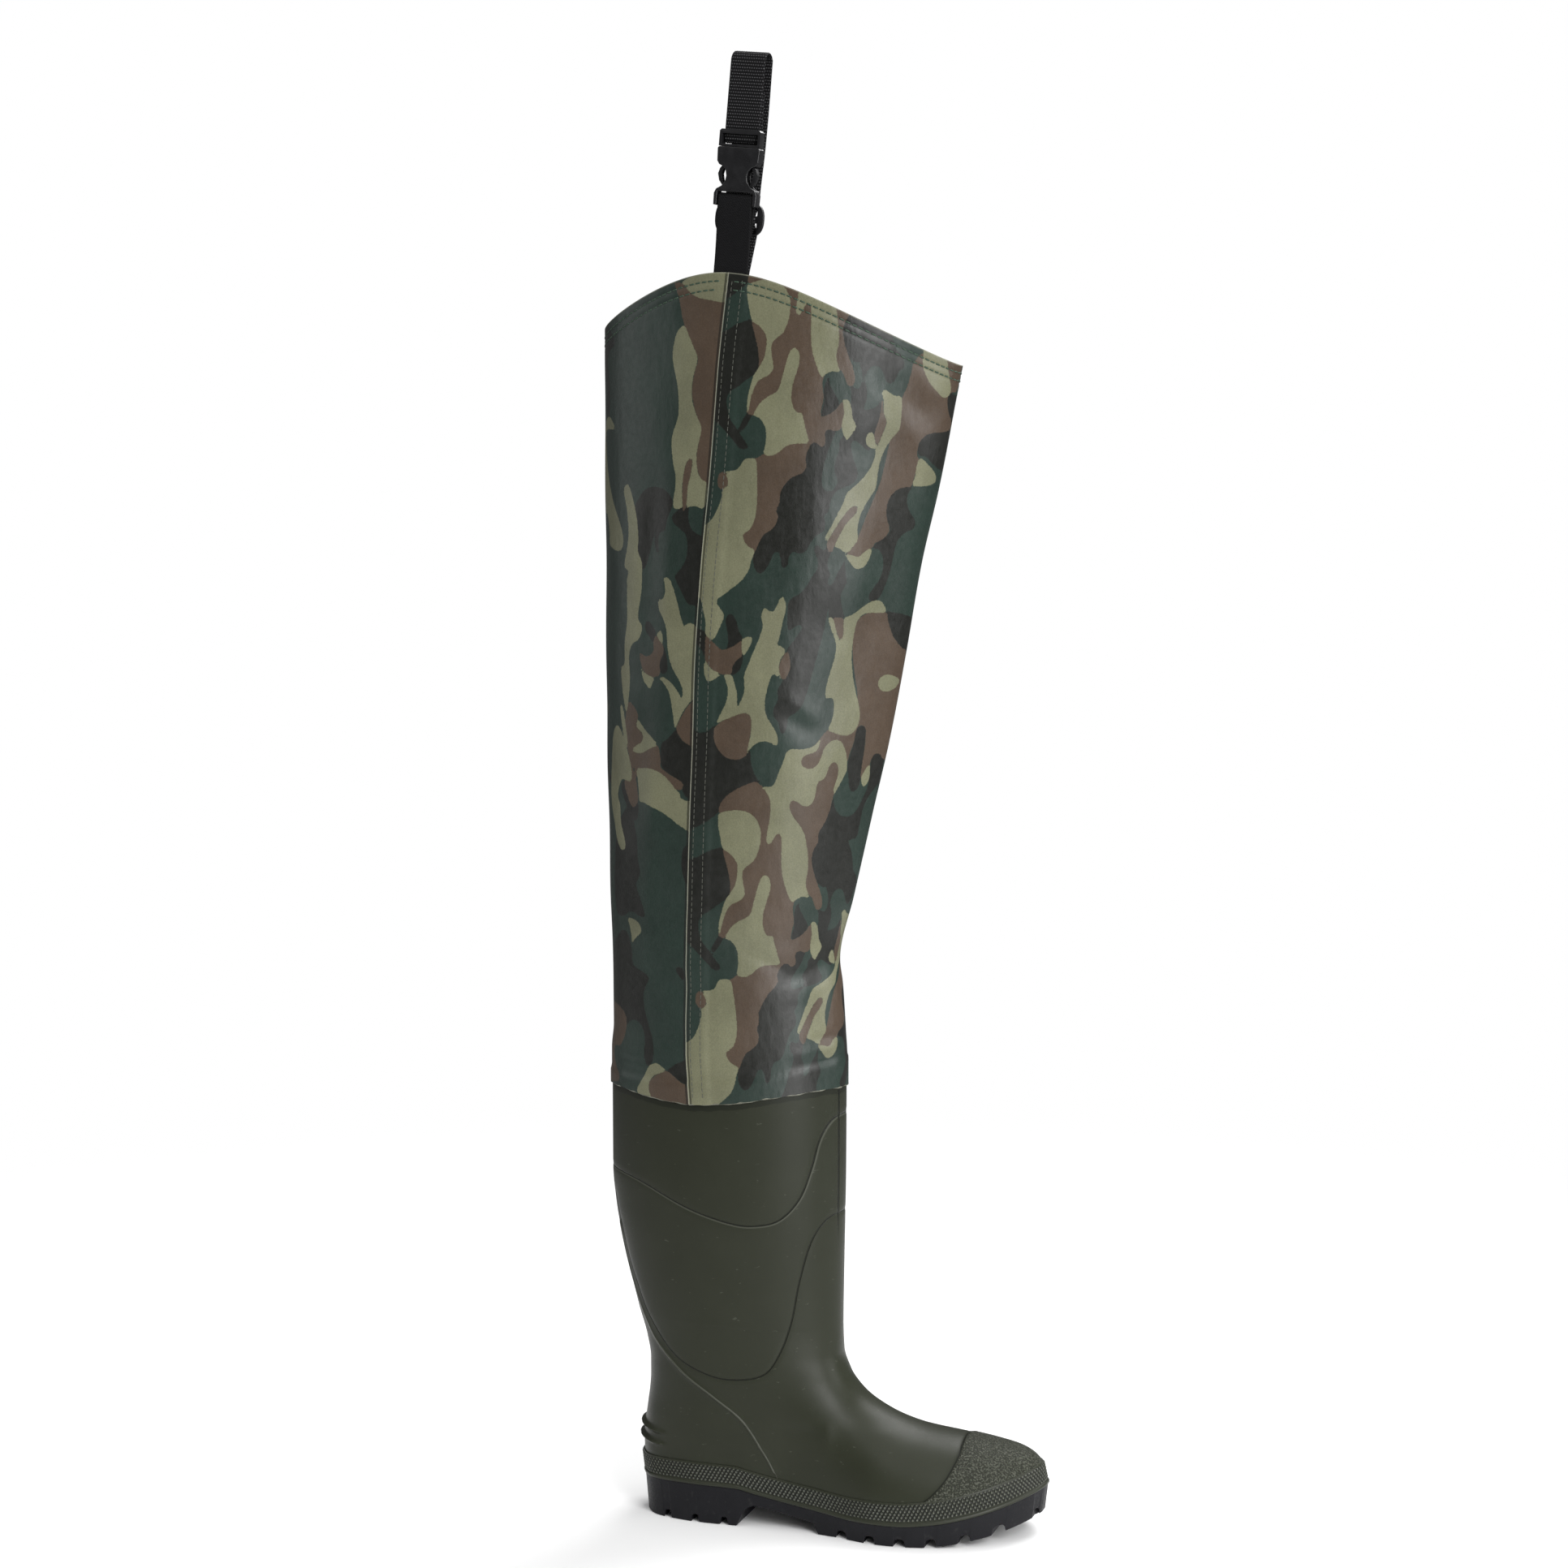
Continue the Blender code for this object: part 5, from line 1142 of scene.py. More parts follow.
FRONT_DARK = (
    ((-12, 487), (-4, 488), (3, 490.5), (9, 494), (15, 496.2), (21, 496.5), (26, 480), (28.5, 466),
     (26, 461), (20, 456.5), (13, 451), (8, 447.5), (6.3, 443), (7.5, 436), (10, 429.5), (15, 423),
     (20, 416.5), (24, 411), (22.5, 408.7), (18, 409.5), (12, 416), (6, 422), (0, 427.5), (-6, 432),
     (-12, 440)),
    ((25.5, 433), (22, 434), (19, 429), (17, 424), (17.5, 422), (19.5, 421.8), (22, 425), (24.5, 430)),
    ((-12, 579), (-3, 578.5), (4, 580), (10, 584), (20, 575), (34, 568), (36, 560), (38, 553),
     (40.5, 548), (44, 544), (38, 543), (24, 533), (15.5, 522.5), (10, 517.5), (4, 513.5), (-2, 511),
     (-12, 512)),
    ((12.3, 658), (14, 662), (17, 662.3), (20, 658), (22.5, 651), (25.5, 644), (20, 638), (14, 636),
     (15.3, 643), (14, 651)),
    ((18.5, 620), (22, 620.8), (25, 624.5), (26.3, 630), (26, 634.5), (21, 632), (18.5, 627)),
    ((-14, 654), (-7, 651.5), (-1, 648.5), (-1, 632), (-4, 637), (-8, 641), (-14, 645)),
    ((57, 578.5), (55, 581), (54, 586.5), (50.5, 590.5), (50, 596), (52.7, 603), (52, 609), (55, 615.5),
     (57, 620), (58, 630), (57, 637.5), (61, 643.5), (65, 649.5), (66.7, 653.5), (64, 655), (60.5, 653),
     (57.5, 650.5), (56.3, 655), (56, 662), (55.5, 669), (58, 673.5), (63, 676.5), (67.5, 681.5),
     (71, 688.5), (74.5, 694), (74.5, 700), (71.8, 705), (71.3, 709.5), (73.5, 710.5), (76.5, 707.5),
     (79, 707.5), (81.5, 712), (85, 711), (83, 705), (81.3, 697), (83.7, 690), (82.5, 684.5),
     (84.3, 682.5), (86.5, 684.5), (88.5, 690), (92, 697), (95.3, 704.5), (94, 697), (95, 689.5),
     (96, 684), (92.5, 676), (93.5, 670), (96, 661.5), (97, 659), (86.5, 658), (84.5, 667), (83, 655),
     (81, 644), (78, 630), (75, 615.5), (72, 604.5), (69, 597), (64.5, 592.5), (60.5, 590), (60, 584),
     (58.5, 579)),
    ((140, 751.5), (137, 745), (137.5, 738.5), (141.5, 732), (146.5, 726.5), (145.8, 721.5), (140, 719.3),
     (134.5, 715.5), (131.5, 709), (130.3, 698), (128, 687), (124, 676), (119.5, 671), (115, 671.5),
     (113.7, 675), (117, 680.5), (121, 686), (123, 693), (122.3, 701), (118.5, 707), (113, 708.5),
     (118, 714), (126, 720), (119, 735), (126, 750), (133, 752)),
    ((141, 778), (143, 783.5), (148, 787), (155, 788.3), (165, 789), (180, 791), (180, 762), (168, 762),
     (160, 764.5), (154, 768), (149, 771.5), (144.5, 772), (141.8, 774)),
    ((163.5, 813.5), (166.5, 816.2), (172, 814.5), (180, 812), (180, 797), (174, 796), (169, 800),
     (166, 806)),
    ((84, 490), (88, 474), (95, 468), (99.5, 469.5), (103.5, 470.5), (108, 470), (111.5, 466), (116, 463),
     (122, 461.5), (129, 464), (128.5, 470), (125, 475), (119.5, 479.5), (114.5, 484.5), (110.5, 490),
     (109, 495), (111.5, 499.7), (117, 501.7), (121, 503), (122.3, 511), (123.5, 520), (126, 527.5),
     (131, 533.5), (137, 538.5), (142, 541.5), (142, 562), (136, 562), (130, 562.3), (127.3, 558),
     (127, 551), (127, 544), (126, 537.5), (122.5, 530.5), (119, 524), (114.5, 519.5), (109, 518.2),
     (103.5, 520), (99.3, 525), (97.3, 532), (95, 525), (88, 506)),
    ((111.5, 581), (114.5, 583), (118.5, 582.3), (119.8, 577), (119.3, 562), (118.7, 547), (118, 540.5),
     (115, 536.7), (112, 536.2), (109.5, 539), (108, 546), (106.3, 555.5), (108, 564), (110.5, 573)),
    ((128, 663), (135, 662.7), (143, 661.5), (155, 659), (165, 655), (165, 628), (155, 632), (140, 640),
     (133, 650)),
    ((29, 701), (31, 694), (34.5, 690.8), (38.5, 693.5), (41.5, 700), (43.5, 705), (46.5, 705.5),
     (48.5, 701), (49.5, 696), (51.5, 694.5), (53.7, 697), (54.3, 703), (57, 706), (61.5, 704.7),
     (65.5, 706), (68, 711.5), (71.5, 717), (76.5, 720), (77.5, 725), (76, 731), (79, 734), (79.7, 741),
     (83, 747.5), (89, 750.5), (94.5, 753), (97.7, 759), (95.5, 765.5), (92.3, 773), (91, 780),
     (93.5, 782.7), (98.5, 779.5), (103.5, 775.5), (108, 780), (109.5, 790), (110, 812), (107, 806.5),
     (102.5, 804.2), (97.5, 804), (99, 810), (99, 817), (97, 824), (98.3, 830), (102, 833.7),
     (107, 832.7), (110.3, 827.5), (113, 822.5), (116.5, 821.7), (119.5, 825), (120.5, 831), (118.5, 840),
     (115.5, 849), (112, 860), (105, 872), (95, 880), (82, 876), (84, 857), (90, 842), (95, 827),
     (93, 818), (86, 822), (80.5, 828.5), (84.5, 823), (88, 816), (88.5, 806), (87.5, 796), (85, 786),
     (82.5, 782), (83, 776), (80.7, 768), (81, 761), (83.5, 754.5), (81, 748.5), (76.5, 748), (73, 751.5),
     (72.5, 760), (74.5, 772), (78, 784), (80.5, 792), (74, 793), (66, 792), (58, 782), (56, 768),
     (48, 760), (42, 748), (40, 735), (36, 722), (30, 712)),
    ((71.5, 826), (69, 818), (70, 809), (68.5, 800), (73, 799.5), (77, 802.5), (80.5, 808), (76.5, 815),
     (73, 821)),
)
BACK_TAN = (
    ((-42, 311), (-46, 317), (-42, 324), (-38, 331), (-36, 335), (-32, 337.5), (-28, 338), (-23, 335.5),
     (-20.5, 333.5), (-25, 331.5), (-31, 329), (-34, 325), (-35, 320), (-33, 314), (-30, 308),
     (-38, 306)),
    ((-57, 441), (-50, 441), (-44, 439), (-41, 435), (-41.5, 431.5), (-46, 428), (-50.3, 424), (-52, 430),
     (-54.5, 436)),
    ((-56, 549.5), (-50, 550.8), (-43, 551.2), (-36, 550), (-30, 547.5), (-24, 543), (-19, 538),
     (-15, 535), (-14, 531.5), (-9, 529.5), (-5, 528), (-4, 509), (-7, 508.5), (-14, 512), (-22, 517),
     (-30, 521), (-38, 524), (-46, 526.5), (-50.5, 527), (-52, 534), (-54, 542)),
    ((-57.5, 584.5), (-55.5, 585), (-50, 579.5), (-43, 574.5), (-36, 568.5), (-42, 566), (-49, 562.5),
     (-55, 561.3), (-60, 562.3), (-61.5, 563.5), (-57, 567), (-53, 569), (-50.5, 573), (-53, 577),
     (-57.5, 580)),
    ((-38, 671.5), (-36, 676), (-36.5, 682), (-38, 687), (-33, 686), (-29, 678.5), (-25, 668),
     (-22, 659.5), (-18.7, 652.5), (-17, 655), (-13, 655.3), (-8, 652), (-4, 648), (-4, 604),
     (-9.5, 601.5), (-14, 596.5), (-18, 590), (-21.7, 581), (-24, 589), (-26, 598), (-28.5, 606),
     (-33, 612), (-38, 616.5), (-33, 616.5), (-26, 612), (-21, 606.5), (-17.8, 602.3), (-17, 605.5),
     (-18.5, 611), (-22, 617), (-27, 624), (-30.5, 633), (-32.3, 643), (-33.5, 651), (-36, 657),
     (-40, 663), (-42, 668), (-41, 672)),
    ((-42, 646.5), (-38.5, 649.5), (-36.5, 646), (-36, 640), (-38.5, 642)),
    ((-55, 622), (-50, 618.5), (-44, 616.5), (-42, 616), (-44, 611), (-45.5, 607.7), (-48, 610),
     (-52, 614)),
    ((-73, 690), (-60, 690), (-59, 675), (-61, 662), (-60, 656), (-57, 653), (-57, 647), (-60, 642),
     (-64, 640), (-67, 636), (-68, 628), (-66, 615), (-67, 600), (-69, 590), (-73, 600), (-76, 612),
     (-77, 622), (-73, 625), (-74, 640), (-72, 655), (-73, 670)),
    ((-77, 593), (-74, 594), (-70, 583), (-66, 567), (-69, 568), (-73, 578)),
    ((-80, 580), (-72, 572), (-66, 562), (-61, 549), (-61, 541), (-66, 541), (-72, 541), (-76, 530),
     (-72, 522), (-70, 510), (-64, 497), (-64, 491), (-69, 491), (-75, 498), (-80, 510), (-88, 530),
     (-88, 570)),
    ((-34.5, 736.5), (-26, 736), (-17, 737.3), (-9.5, 736), (-9, 752.5), (-13.5, 755.5), (-17.5, 762),
     (-19, 773), (-17.7, 783), (-16.5, 791), (-20, 798), (-24.3, 807), (-26.3, 817), (-25.5, 828),
     (-23.2, 839), (-27, 847), (-31.5, 855), (-36, 862), (-42, 856), (-44, 840), (-38, 820), (-36, 800),
     (-40, 785), (-38, 770), (-34, 755)),
    ((-37, 889), (-33, 884.5), (-26, 881), (-18, 879.5), (-4, 878.5), (-4, 897), (-14, 898), (-26, 897),
     (-34, 895), (-40, 892)),
    ((-80, 752), (-76, 748), (-71, 738), (-67, 727), (-64.5, 715), (-64, 705), (-60, 698), (-59, 690),
     (-60, 680), (-66, 678), (-72, 690), (-78, 694), (-76, 705), (-75, 718), (-79, 735), (-84, 748)),
)
BACK_STRIPES = (
    ((-27.5, 740), (-28.5, 750), (-28, 762), (-26, 768.5), (-23.5, 770.3), (-21.8, 768), (-22.3, 760),
     (-24, 750), (-24, 737), (-26, 733)),
)
BACK_BROWN = (
    ((-35, 319), (-34, 325), (-30, 329), (-24, 332), (-20, 333.5), (-14, 330), (-8, 326), (-3, 323),
     (-3, 306), (-31, 306), (-33.5, 313)),
    ((-60, 562), (-54, 561.5), (-46, 564.5), (-37, 568.3), (-34, 564.5), (-32.5, 558), (-32, 553),
     (-27, 549.5), (-20, 546), (-14, 543), (-12.5, 540), (-15, 537), (-30, 540), (-56, 545), (-58, 550),
     (-64, 552), (-66, 558)),
    ((-66, 598), (-60, 594), (-56, 588), (-58, 582), (-53, 577), (-50.5, 573), (-52, 569), (-56, 567),
     (-60, 562), (-61, 553), (-57, 545), (-54, 535), (-52, 527), (-58, 522), (-64, 530), (-68, 540),
     (-62, 548), (-63, 556), (-67, 566), (-70, 580), (-69, 592)),
    ((-21, 580.5), (-18, 588), (-14, 595), (-9.5, 600.5), (-4, 603), (-4, 570), (-11, 570), (-16, 573)),
    ((-57, 633), (-52, 631), (-47, 632), (-44, 636), (-45, 641), (-43, 646), (-40, 644), (-36, 640),
     (-35, 634), (-38, 627), (-37, 620), (-40, 617), (-46, 616.5), (-51, 619), (-55, 625)),
    ((-4, 750), (-9.5, 752.5), (-14, 756), (-18, 764), (-19, 775), (-17, 790), (-22, 802), (-26, 816),
     (-25, 830), (-23, 839), (-30, 852), (-36, 863), (-39, 872), (-42, 882), (-46, 892), (-35, 889),
     (-33, 885), (-26, 881.5), (-18, 879.5), (-8, 879), (-4, 879)),
)
BACK_DARK = (
    ((-20, 333), (-14, 338), (-8, 341), (-3, 342), (-3, 326), (-9, 327), (-15, 331)),
    ((-50, 408.5), (-44, 405.5), (-36, 402), (-33.7, 399), (-37, 394), (-40, 387), (-39.7, 378),
     (-36.5, 367), (-33, 356.5), (-31, 346), (-32.5, 338.5), (-35.5, 335.5), (-38.7, 337.5), (-40, 345),
     (-39.7, 354), (-41.5, 362), (-46, 366.5), (-52, 367.3), (-58, 364), (-64, 357), (-70, 352),
     (-82, 360), (-82, 410), (-70, 425), (-62, 432), (-55, 428), (-50.5, 418)),
    ((-38, 444.5), (-41, 452), (-45.5, 460), (-49, 467), (-46, 472), (-45.3, 477.5), (-48, 484),
     (-49.5, 493), (-51, 501), (-55, 510), (-60, 518), (-66, 520), (-76, 500), (-78, 470), (-72, 446),
     (-62, 442), (-56, 446), (-49, 446), (-43, 443.7)),
    ((-10, 409), (-5, 409), (-3, 401), (-6, 401), (-9, 405)),
    ((-9.5, 495), (-5, 496), (-4, 470), (-7.5, 474), (-10, 484)),
    ((-32, 570), (-28, 573), (-24, 577), (-20.5, 580.5), (-18, 575), (-13, 571), (-5, 569), (-3, 530),
     (-9, 532), (-13, 537), (-13, 541), (-20, 546), (-28, 550), (-32, 555), (-33, 563)),
    ((-54, 654), (-51, 656), (-47, 653), (-43, 648), (-45, 641), (-49, 645), (-53, 649)),
    ((-36, 640), (-33, 634), (-31, 627), (-31, 621), (-35, 619), (-38, 622), (-37.5, 630)),
    ((-72, 538), (-66, 541), (-61, 538), (-55, 530), (-51, 522), (-52, 514), (-57, 513), (-62, 520),
     (-68, 528)),
    ((-27, 737), (-22, 737), (-22, 730), (-19, 722), (-14, 718), (-8, 716), (-4, 716), (-4, 668),
     (-12, 668), (-17, 669), (-22, 676), (-27, 684), (-29, 688), (-25, 693), (-21, 700), (-20.5, 708),
     (-22, 716), (-27, 721), (-33, 725), (-35, 730), (-32, 733)),
    ((-38, 745), (-35, 738), (-39, 728), (-40, 720), (-44, 719), (-46, 715), (-45, 708), (-43.5, 703),
     (-46, 704), (-49, 710), (-50, 718), (-54, 700), (-58, 692), (-62, 696), (-66, 700), (-72, 730),
     (-62, 748), (-48, 750)),
)
PRINT_RISE = 368.0          # the print repeats after this height, a little further back
PRINT_SHIFT = -5.0
PRINT_TURN = 206.0          # and again around the inner side, lower down
PRINT_TURN_DROP = -120.0
BACK_PANEL = 95.0           # width of the back panel, which has a chart of its own
PATCH_REACH = 12.0          # distances to a patch's edge are kept up to this
PATCH_STEPS = 3             # steps from each point of an outline to the next
CHARTS = {"tan": (FRONT_TAN, BACK_TAN), "stripes": (FRONT_STRIPES, BACK_STRIPES),
          "brown": (FRONT_BROWN, BACK_BROWN), "dark": (FRONT_DARK, BACK_DARK)}

# Below the knee's bend the front of the chart is read a little further ahead and lower
KNEE_START = 50.0
KNEE_RUN = 30.0
KNEE_TOP = 415.0
KNEE_FADE = 25.0
KNEE_AHEAD = 7.0
KNEE_DROP = 18.0


def patch_depth(points, outline):
    """How far each point lies inside a closed outline, negative outside."""
    best = np.full(len(points), np.inf)
    inside = np.zeros(len(points), bool)
    for a, b in zip(outline, np.roll(outline, -1, axis=0)):
        best = np.minimum(best, np.sum(miss_of(points, a, b) ** 2, axis=1))
        crosses = (a[1] > points[:, 1]) != (b[1] > points[:, 1])
        if a[1] != b[1]:
            inside ^= crosses & (points[:, 0] < a[0] + (b[0] - a[0]) * (points[:, 1] - a[1]) / (b[1] - a[1]))
    return np.where(inside, 1.0, -1.0) * np.sqrt(best)


def add_patch(depth, points, outline):
    """Join one patch to a layer of the print, looking only at the points near it."""
    low = outline.min(axis=0) - PATCH_REACH
    high = outline.max(axis=0) + PATCH_REACH
    near = np.all((points > low) & (points < high), axis=1)
    if near.any():
        depth[near] = np.maximum(depth[near], patch_depth(points[near], outline))


def print_copies(outline):
    """Every place of a front patch: up and down the leg, and around its inner side."""
    for turn in (0, 1, 2):
        for rise in (-1, 0, 1, 2) if turn else (-1, 0, 1):
            shift = (turn * PRINT_TURN + rise * PRINT_SHIFT, turn * PRINT_TURN_DROP + rise * PRINT_RISE)
            copy = outline + shift
            middle = copy.mean(axis=0)
            if turn == 0 or middle[0] < leg_girth(middle[1]) - BACK_PANEL:
                yield copy


def print_layer(front, back, front_points, back_points):
    """Depth inside the patches of one colour, over the front and the back of the leg."""
    depth = np.full(len(front_points), -PATCH_REACH)
    for patch in front:
        for copy in print_copies(round_curve(patch, PATCH_STEPS, True)):
            add_patch(depth, front_points, copy)
    for patch in back:
        add_patch(depth, back_points, round_curve(patch, PATCH_STEPS, True))
    return np.clip(depth, -PATCH_REACH, PATCH_REACH)


def print_values(u, z):
    """Depth inside the tan, brown and dark patches at each point of the leg."""
    knee = smooth_step((u - KNEE_START) / KNEE_RUN) * smooth_step((KNEE_TOP - z) / KNEE_FADE)
    front_points = np.stack([(u + KNEE_AHEAD * knee).ravel(), (z - KNEE_DROP * knee).ravel()], axis=1)
    back_points = np.stack([(u - leg_girth(z)).ravel(), z.ravel()], axis=1)
    depth = {}
    for ink, (front, back) in CHARTS.items():
        depth[ink] = print_layer(front, back, front_points, back_points).reshape(u.shape)
    return {"tan_depth": np.minimum(depth["tan"], -depth["stripes"]),
            "brown_depth": np.maximum(depth["brown"], depth["stripes"]),
            "dark_depth": depth["dark"]}


LINING_STEP = 8             # the lining takes every so many rows of the outer face
LINING_CLEAR = 0.3          # and keeps this much clear of the deepest crease between them


def leg(material):
    """Cloth tube from the weld to the hem, lapped at its side seam."""
    grid, u = leg_grid()
    normals = grid_normals(grid)
    relief = leg_relief(grid, u)
    outer = grid + normals * (GAP + LEG_WALL + relief[:, :, None])
    rows = np.unique(np.concatenate([np.arange(0, LEG_ROWS, LINING_STEP), [LEG_ROWS - 1]]))
    deepest = np.array([relief[max(row - LINING_STEP, 0):row + LINING_STEP + 1].min(axis=0) for row in rows])
    lining = grid[rows] + normals[rows] * (GAP - LINING_CLEAR + np.minimum(deepest, 0.0)[:, :, None])
    fold_rows = np.array([LEG_ROWS, LEG_ROWS + HEM_ROWS - 1])
    hem_deepest = np.minimum(relief[LEG_ROWS - LINING_STEP:].min(axis=0), 0.0)
    fold = grid[fold_rows] + normals[fold_rows] * (GAP - LEG_WALL + hem_deepest[None, :, None])
    values = print_values(u, grid[:, :, 2])
    values["cut_edge"] = np.minimum(u - u[:, :1], u[:, -1:] - u)
    values["hem_gap"] = grid[-1:, :, 2] - grid[:, :, 2]
    inner = np.concatenate([lining, fold])
    behind = np.concatenate([rows, fold_rows])
    piece = ring_wall("leg_cloth", outer, inner, material, values, len(lining), behind)
    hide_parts("leg")
    return outer, u


# Stitches and weld
Stitch = namedtuple("Stitch", "pitch length radius")
HEM_STITCH = Stitch(4.9, 4.1, 0.55)
SEAM_STITCH = Stitch(4.2, 3.2, 0.28)
STITCH_SIDES = 6
STITCH_SHARES = np.array([-0.5, -0.42, -0.2, 0.2, 0.42, 0.5])   # places along a stitch from its middle
STITCH_SWELLS = np.array([0.25, 0.8, 1.0, 1.0, 0.8, 0.25])      # and how thick it is there
STITCH_SINK = 0.9           # shares of the radius: how deep the ends sink in,
STITCH_LIFT = 0.25          # how far the rest stands up
STITCH_FLAT = 0.7           # and how high the thread's oval is
ALL_SMOOTH = 180.0          # no edge is sharper than this


def stitch_rings(centre, up, radius):
    """Points of one stitch: a ring around each place along its middle line."""
    along = centre[-1] - centre[0]
    side = np.cross(along / np.linalg.norm(along), up)
    turns = 2.0 * np.pi * np.arange(STITCH_SIDES) / STITCH_SIDES
    swell = radius * STITCH_SWELLS[:, None]
    lift = np.full((len(centre), 1), STITCH_LIFT * radius)
    lift[[0, -1]] -= STITCH_SINK * radius
    rise = lift + STITCH_FLAT * swell * np.sin(turns)
    reach = swell * np.cos(turns)
    return centre[:, None] + rise[:, :, None] * up + reach[:, :, None] * side


def stitches(name, rows, kind, material):
    """All the stitches of one kind as one piece, along paths on the cloth."""
    rings = []
    for path, normals in rows:
        run = run_along(path)
        for middle in np.arange(0.5 * kind.pitch, run[-1] - 0.5 * kind.pitch, kind.pitch):
            up = read_along(middle, run, normals)
            centre = read_along(middle + STITCH_SHARES * kind.length, run, path)
            rings.append(stitch_rings(centre, up / np.linalg.norm(up), kind.radius))
    one = tube_faces(len(STITCH_SHARES), STITCH_SIDES)
    size = len(STITCH_SHARES) * STITCH_SIDES
    faces = [[k + size * i for k in face] for i in range(len(rings)) for face in one]
    verts = np.concatenate(rings).reshape(-1, 3)
    return mesh_piece(name, verts, faces, material, None, ALL_SMOOTH)


ROW_MARGIN = 2              # columns or rows that a row of stitches leaves free at its ends


def hem_rows(outer):
    """Paths of the hem's stitches, each at its own fall below the edge."""
    normals = grid_normals(outer)
    rows = []
    for drop in HEM_STITCH_DROPS:
        row = LEG_ROWS + int(np.argmin(np.abs(HEM_DROPS - drop)))
        rows.append((outer[row, ROW_MARGIN:-ROW_MARGIN], normals[row, ROW_MARGIN:-ROW_MARGIN]))
    return rows


SEAM_STITCH_AHEAD = (3.5, 11.0)


def seam_rows(outer, u):
    """Paths of the seam's stitches, in front of the lap's edge."""
    normals = grid_normals(outer)
    normals[:, 0] = normals[:, 1]
    rows = []
    for ahead in SEAM_STITCH_AHEAD:
        path = []
        ups = []
        for row in range(ROW_MARGIN, LEG_ROWS + HEM_ROWS - ROW_MARGIN):
            past = u[row] - u[row, 0]
            path.append(read_along(ahead, past, outer[row]))
            ups.append(read_along(ahead, past, normals[row]))
        rows.append((np.array(path), np.array(ups)))
    return rows


WELD_BEAD_RADIUS = 0.5
WELD_BEAD_TALL = 1.1        # its height for its width
WELD_BEAD_SINK = 0.55
WELD_BEAD_SIDES = 8
WELD_BEAD_LUMPS = 0.30      # shares by which its thickness varies
WELD_BEAD_RIPPLE = 0.25
WELD_BEAD_RISES = ((0.25, 2.7), (0.2, 7.7))  # height and length of its ups and downs


def weld_bead(outer, material):
    """Ragged bead of glue and cut cloth along the leg's lower edge."""
    normals = grid_normals(outer)[0]
    run = run_along(outer[0])
    lumps = np.sin(run / 1.9) * np.sin(run / 5.3 + 1.0)
    radius = WELD_BEAD_RADIUS * (1.0 + WELD_BEAD_LUMPS * lumps + WELD_BEAD_RIPPLE * np.sin(run / 3.1 + 2.0))
    path = outer[0] - normals * WELD_BEAD_SINK
    path[:, 2] += sum(height * np.sin(run / length) for height, length in WELD_BEAD_RISES)
    up = np.array([0.0, 0.0, WELD_BEAD_TALL])
    rings = []
    for a in np.linspace(0.0, 2.0 * np.pi, WELD_BEAD_SIDES, endpoint=False):
        rings.append(path + radius[:, None] * (normals * math.cos(a) + up * math.sin(a)))
    grid = np.array(rings)
    mesh_piece("weld_bead", grid.reshape(-1, 3), grid_faces(*grid.shape[:2]), material)


# Strap
def hem_lining_y(x):
    """Inner face of the hem on the outer side, at the depth where the strap is sewn in."""
    low = HEM_PEAK_Z - TUCK
    return float(LEG_WALL - GAP - half_width(low) * (1.0 - oval_place(x, low) ** 2) ** 0.5)


def strap_to_world(points):
    """Points of the strap's own frame, whose z runs up the strap from the hem."""
    half = 0.5 * WEB_WIDTH
    turn = math.atan2(hem_lining_y(STRAP_X + half) - hem_lining_y(STRAP_X - half), WEB_WIDTH)
    lean = np.array([[math.cos(STRAP_LEAN), 0.0, math.sin(STRAP_LEAN)], [0.0, 1.0, 0.0],
                     [-math.sin(STRAP_LEAN), 0.0, math.cos(STRAP_LEAN)]])
    swing = np.array([[math.cos(turn), -math.sin(turn), 0.0], [math.sin(turn), math.cos(turn), 0.0],
                      [0.0, 0.0, 1.0]])
    y = hem_lining_y(STRAP_X) + STRAP_CLEAR + 0.5 * LOWER_WEB_THICK
    return points @ (swing @ lean).T + (STRAP_X, y, HEM_PEAK_Z)


def bend(centre_y, centre_z, radius, start, end, steps):
    """Points of a bend in the strap's side view; angles run from the front (180) over the top (90)."""
    angles = np.radians(np.linspace(start, end, steps))
    return [(centre_y + radius * math.cos(a), centre_z + radius * math.sin(a)) for a in angles]


# Way of the webbing through the slider: behind (1) or before (-1) it, at heights from its middle
SLIDER_RUN = ((1, 13.0), (1, 9.0), (-1, 2.8), (-1, -2.8), (1, -9.0))
SLIDER_LEAVE = 14.0


def slider_weave():
    """Way of the webbing through the slider: behind its rim, in front of its bar and behind again."""
    depth = 0.5 * SLIDER_THICK + WEAVE_CLEAR + 0.5 * UPPER_WEB_THICK
    ways = [Way(SLIDER_Y + side * depth, SLIDER_Z + rise) for side, rise in SLIDER_RUN]
    return ways + [Way(SLIDER_Y + depth - WEAVE_CLEAR, SLIDER_Z - SLIDER_LEAVE)]


WEB_STEP = 0.5
WEB_CURVE_STEPS = 8
WEB_COLUMNS = 54
WEB_EDGE_ROUND = 1.0
WEB_EDGE_LEFT = 0.1         # the square of the share of its thickness that is left at its very edge
WEB_SHARP = 75.0            # edges sharper than this angle stay crisp
WEAVE_DEPTH = 0.32
BEND_STEPS = 9
LOOP_STEPS = 11


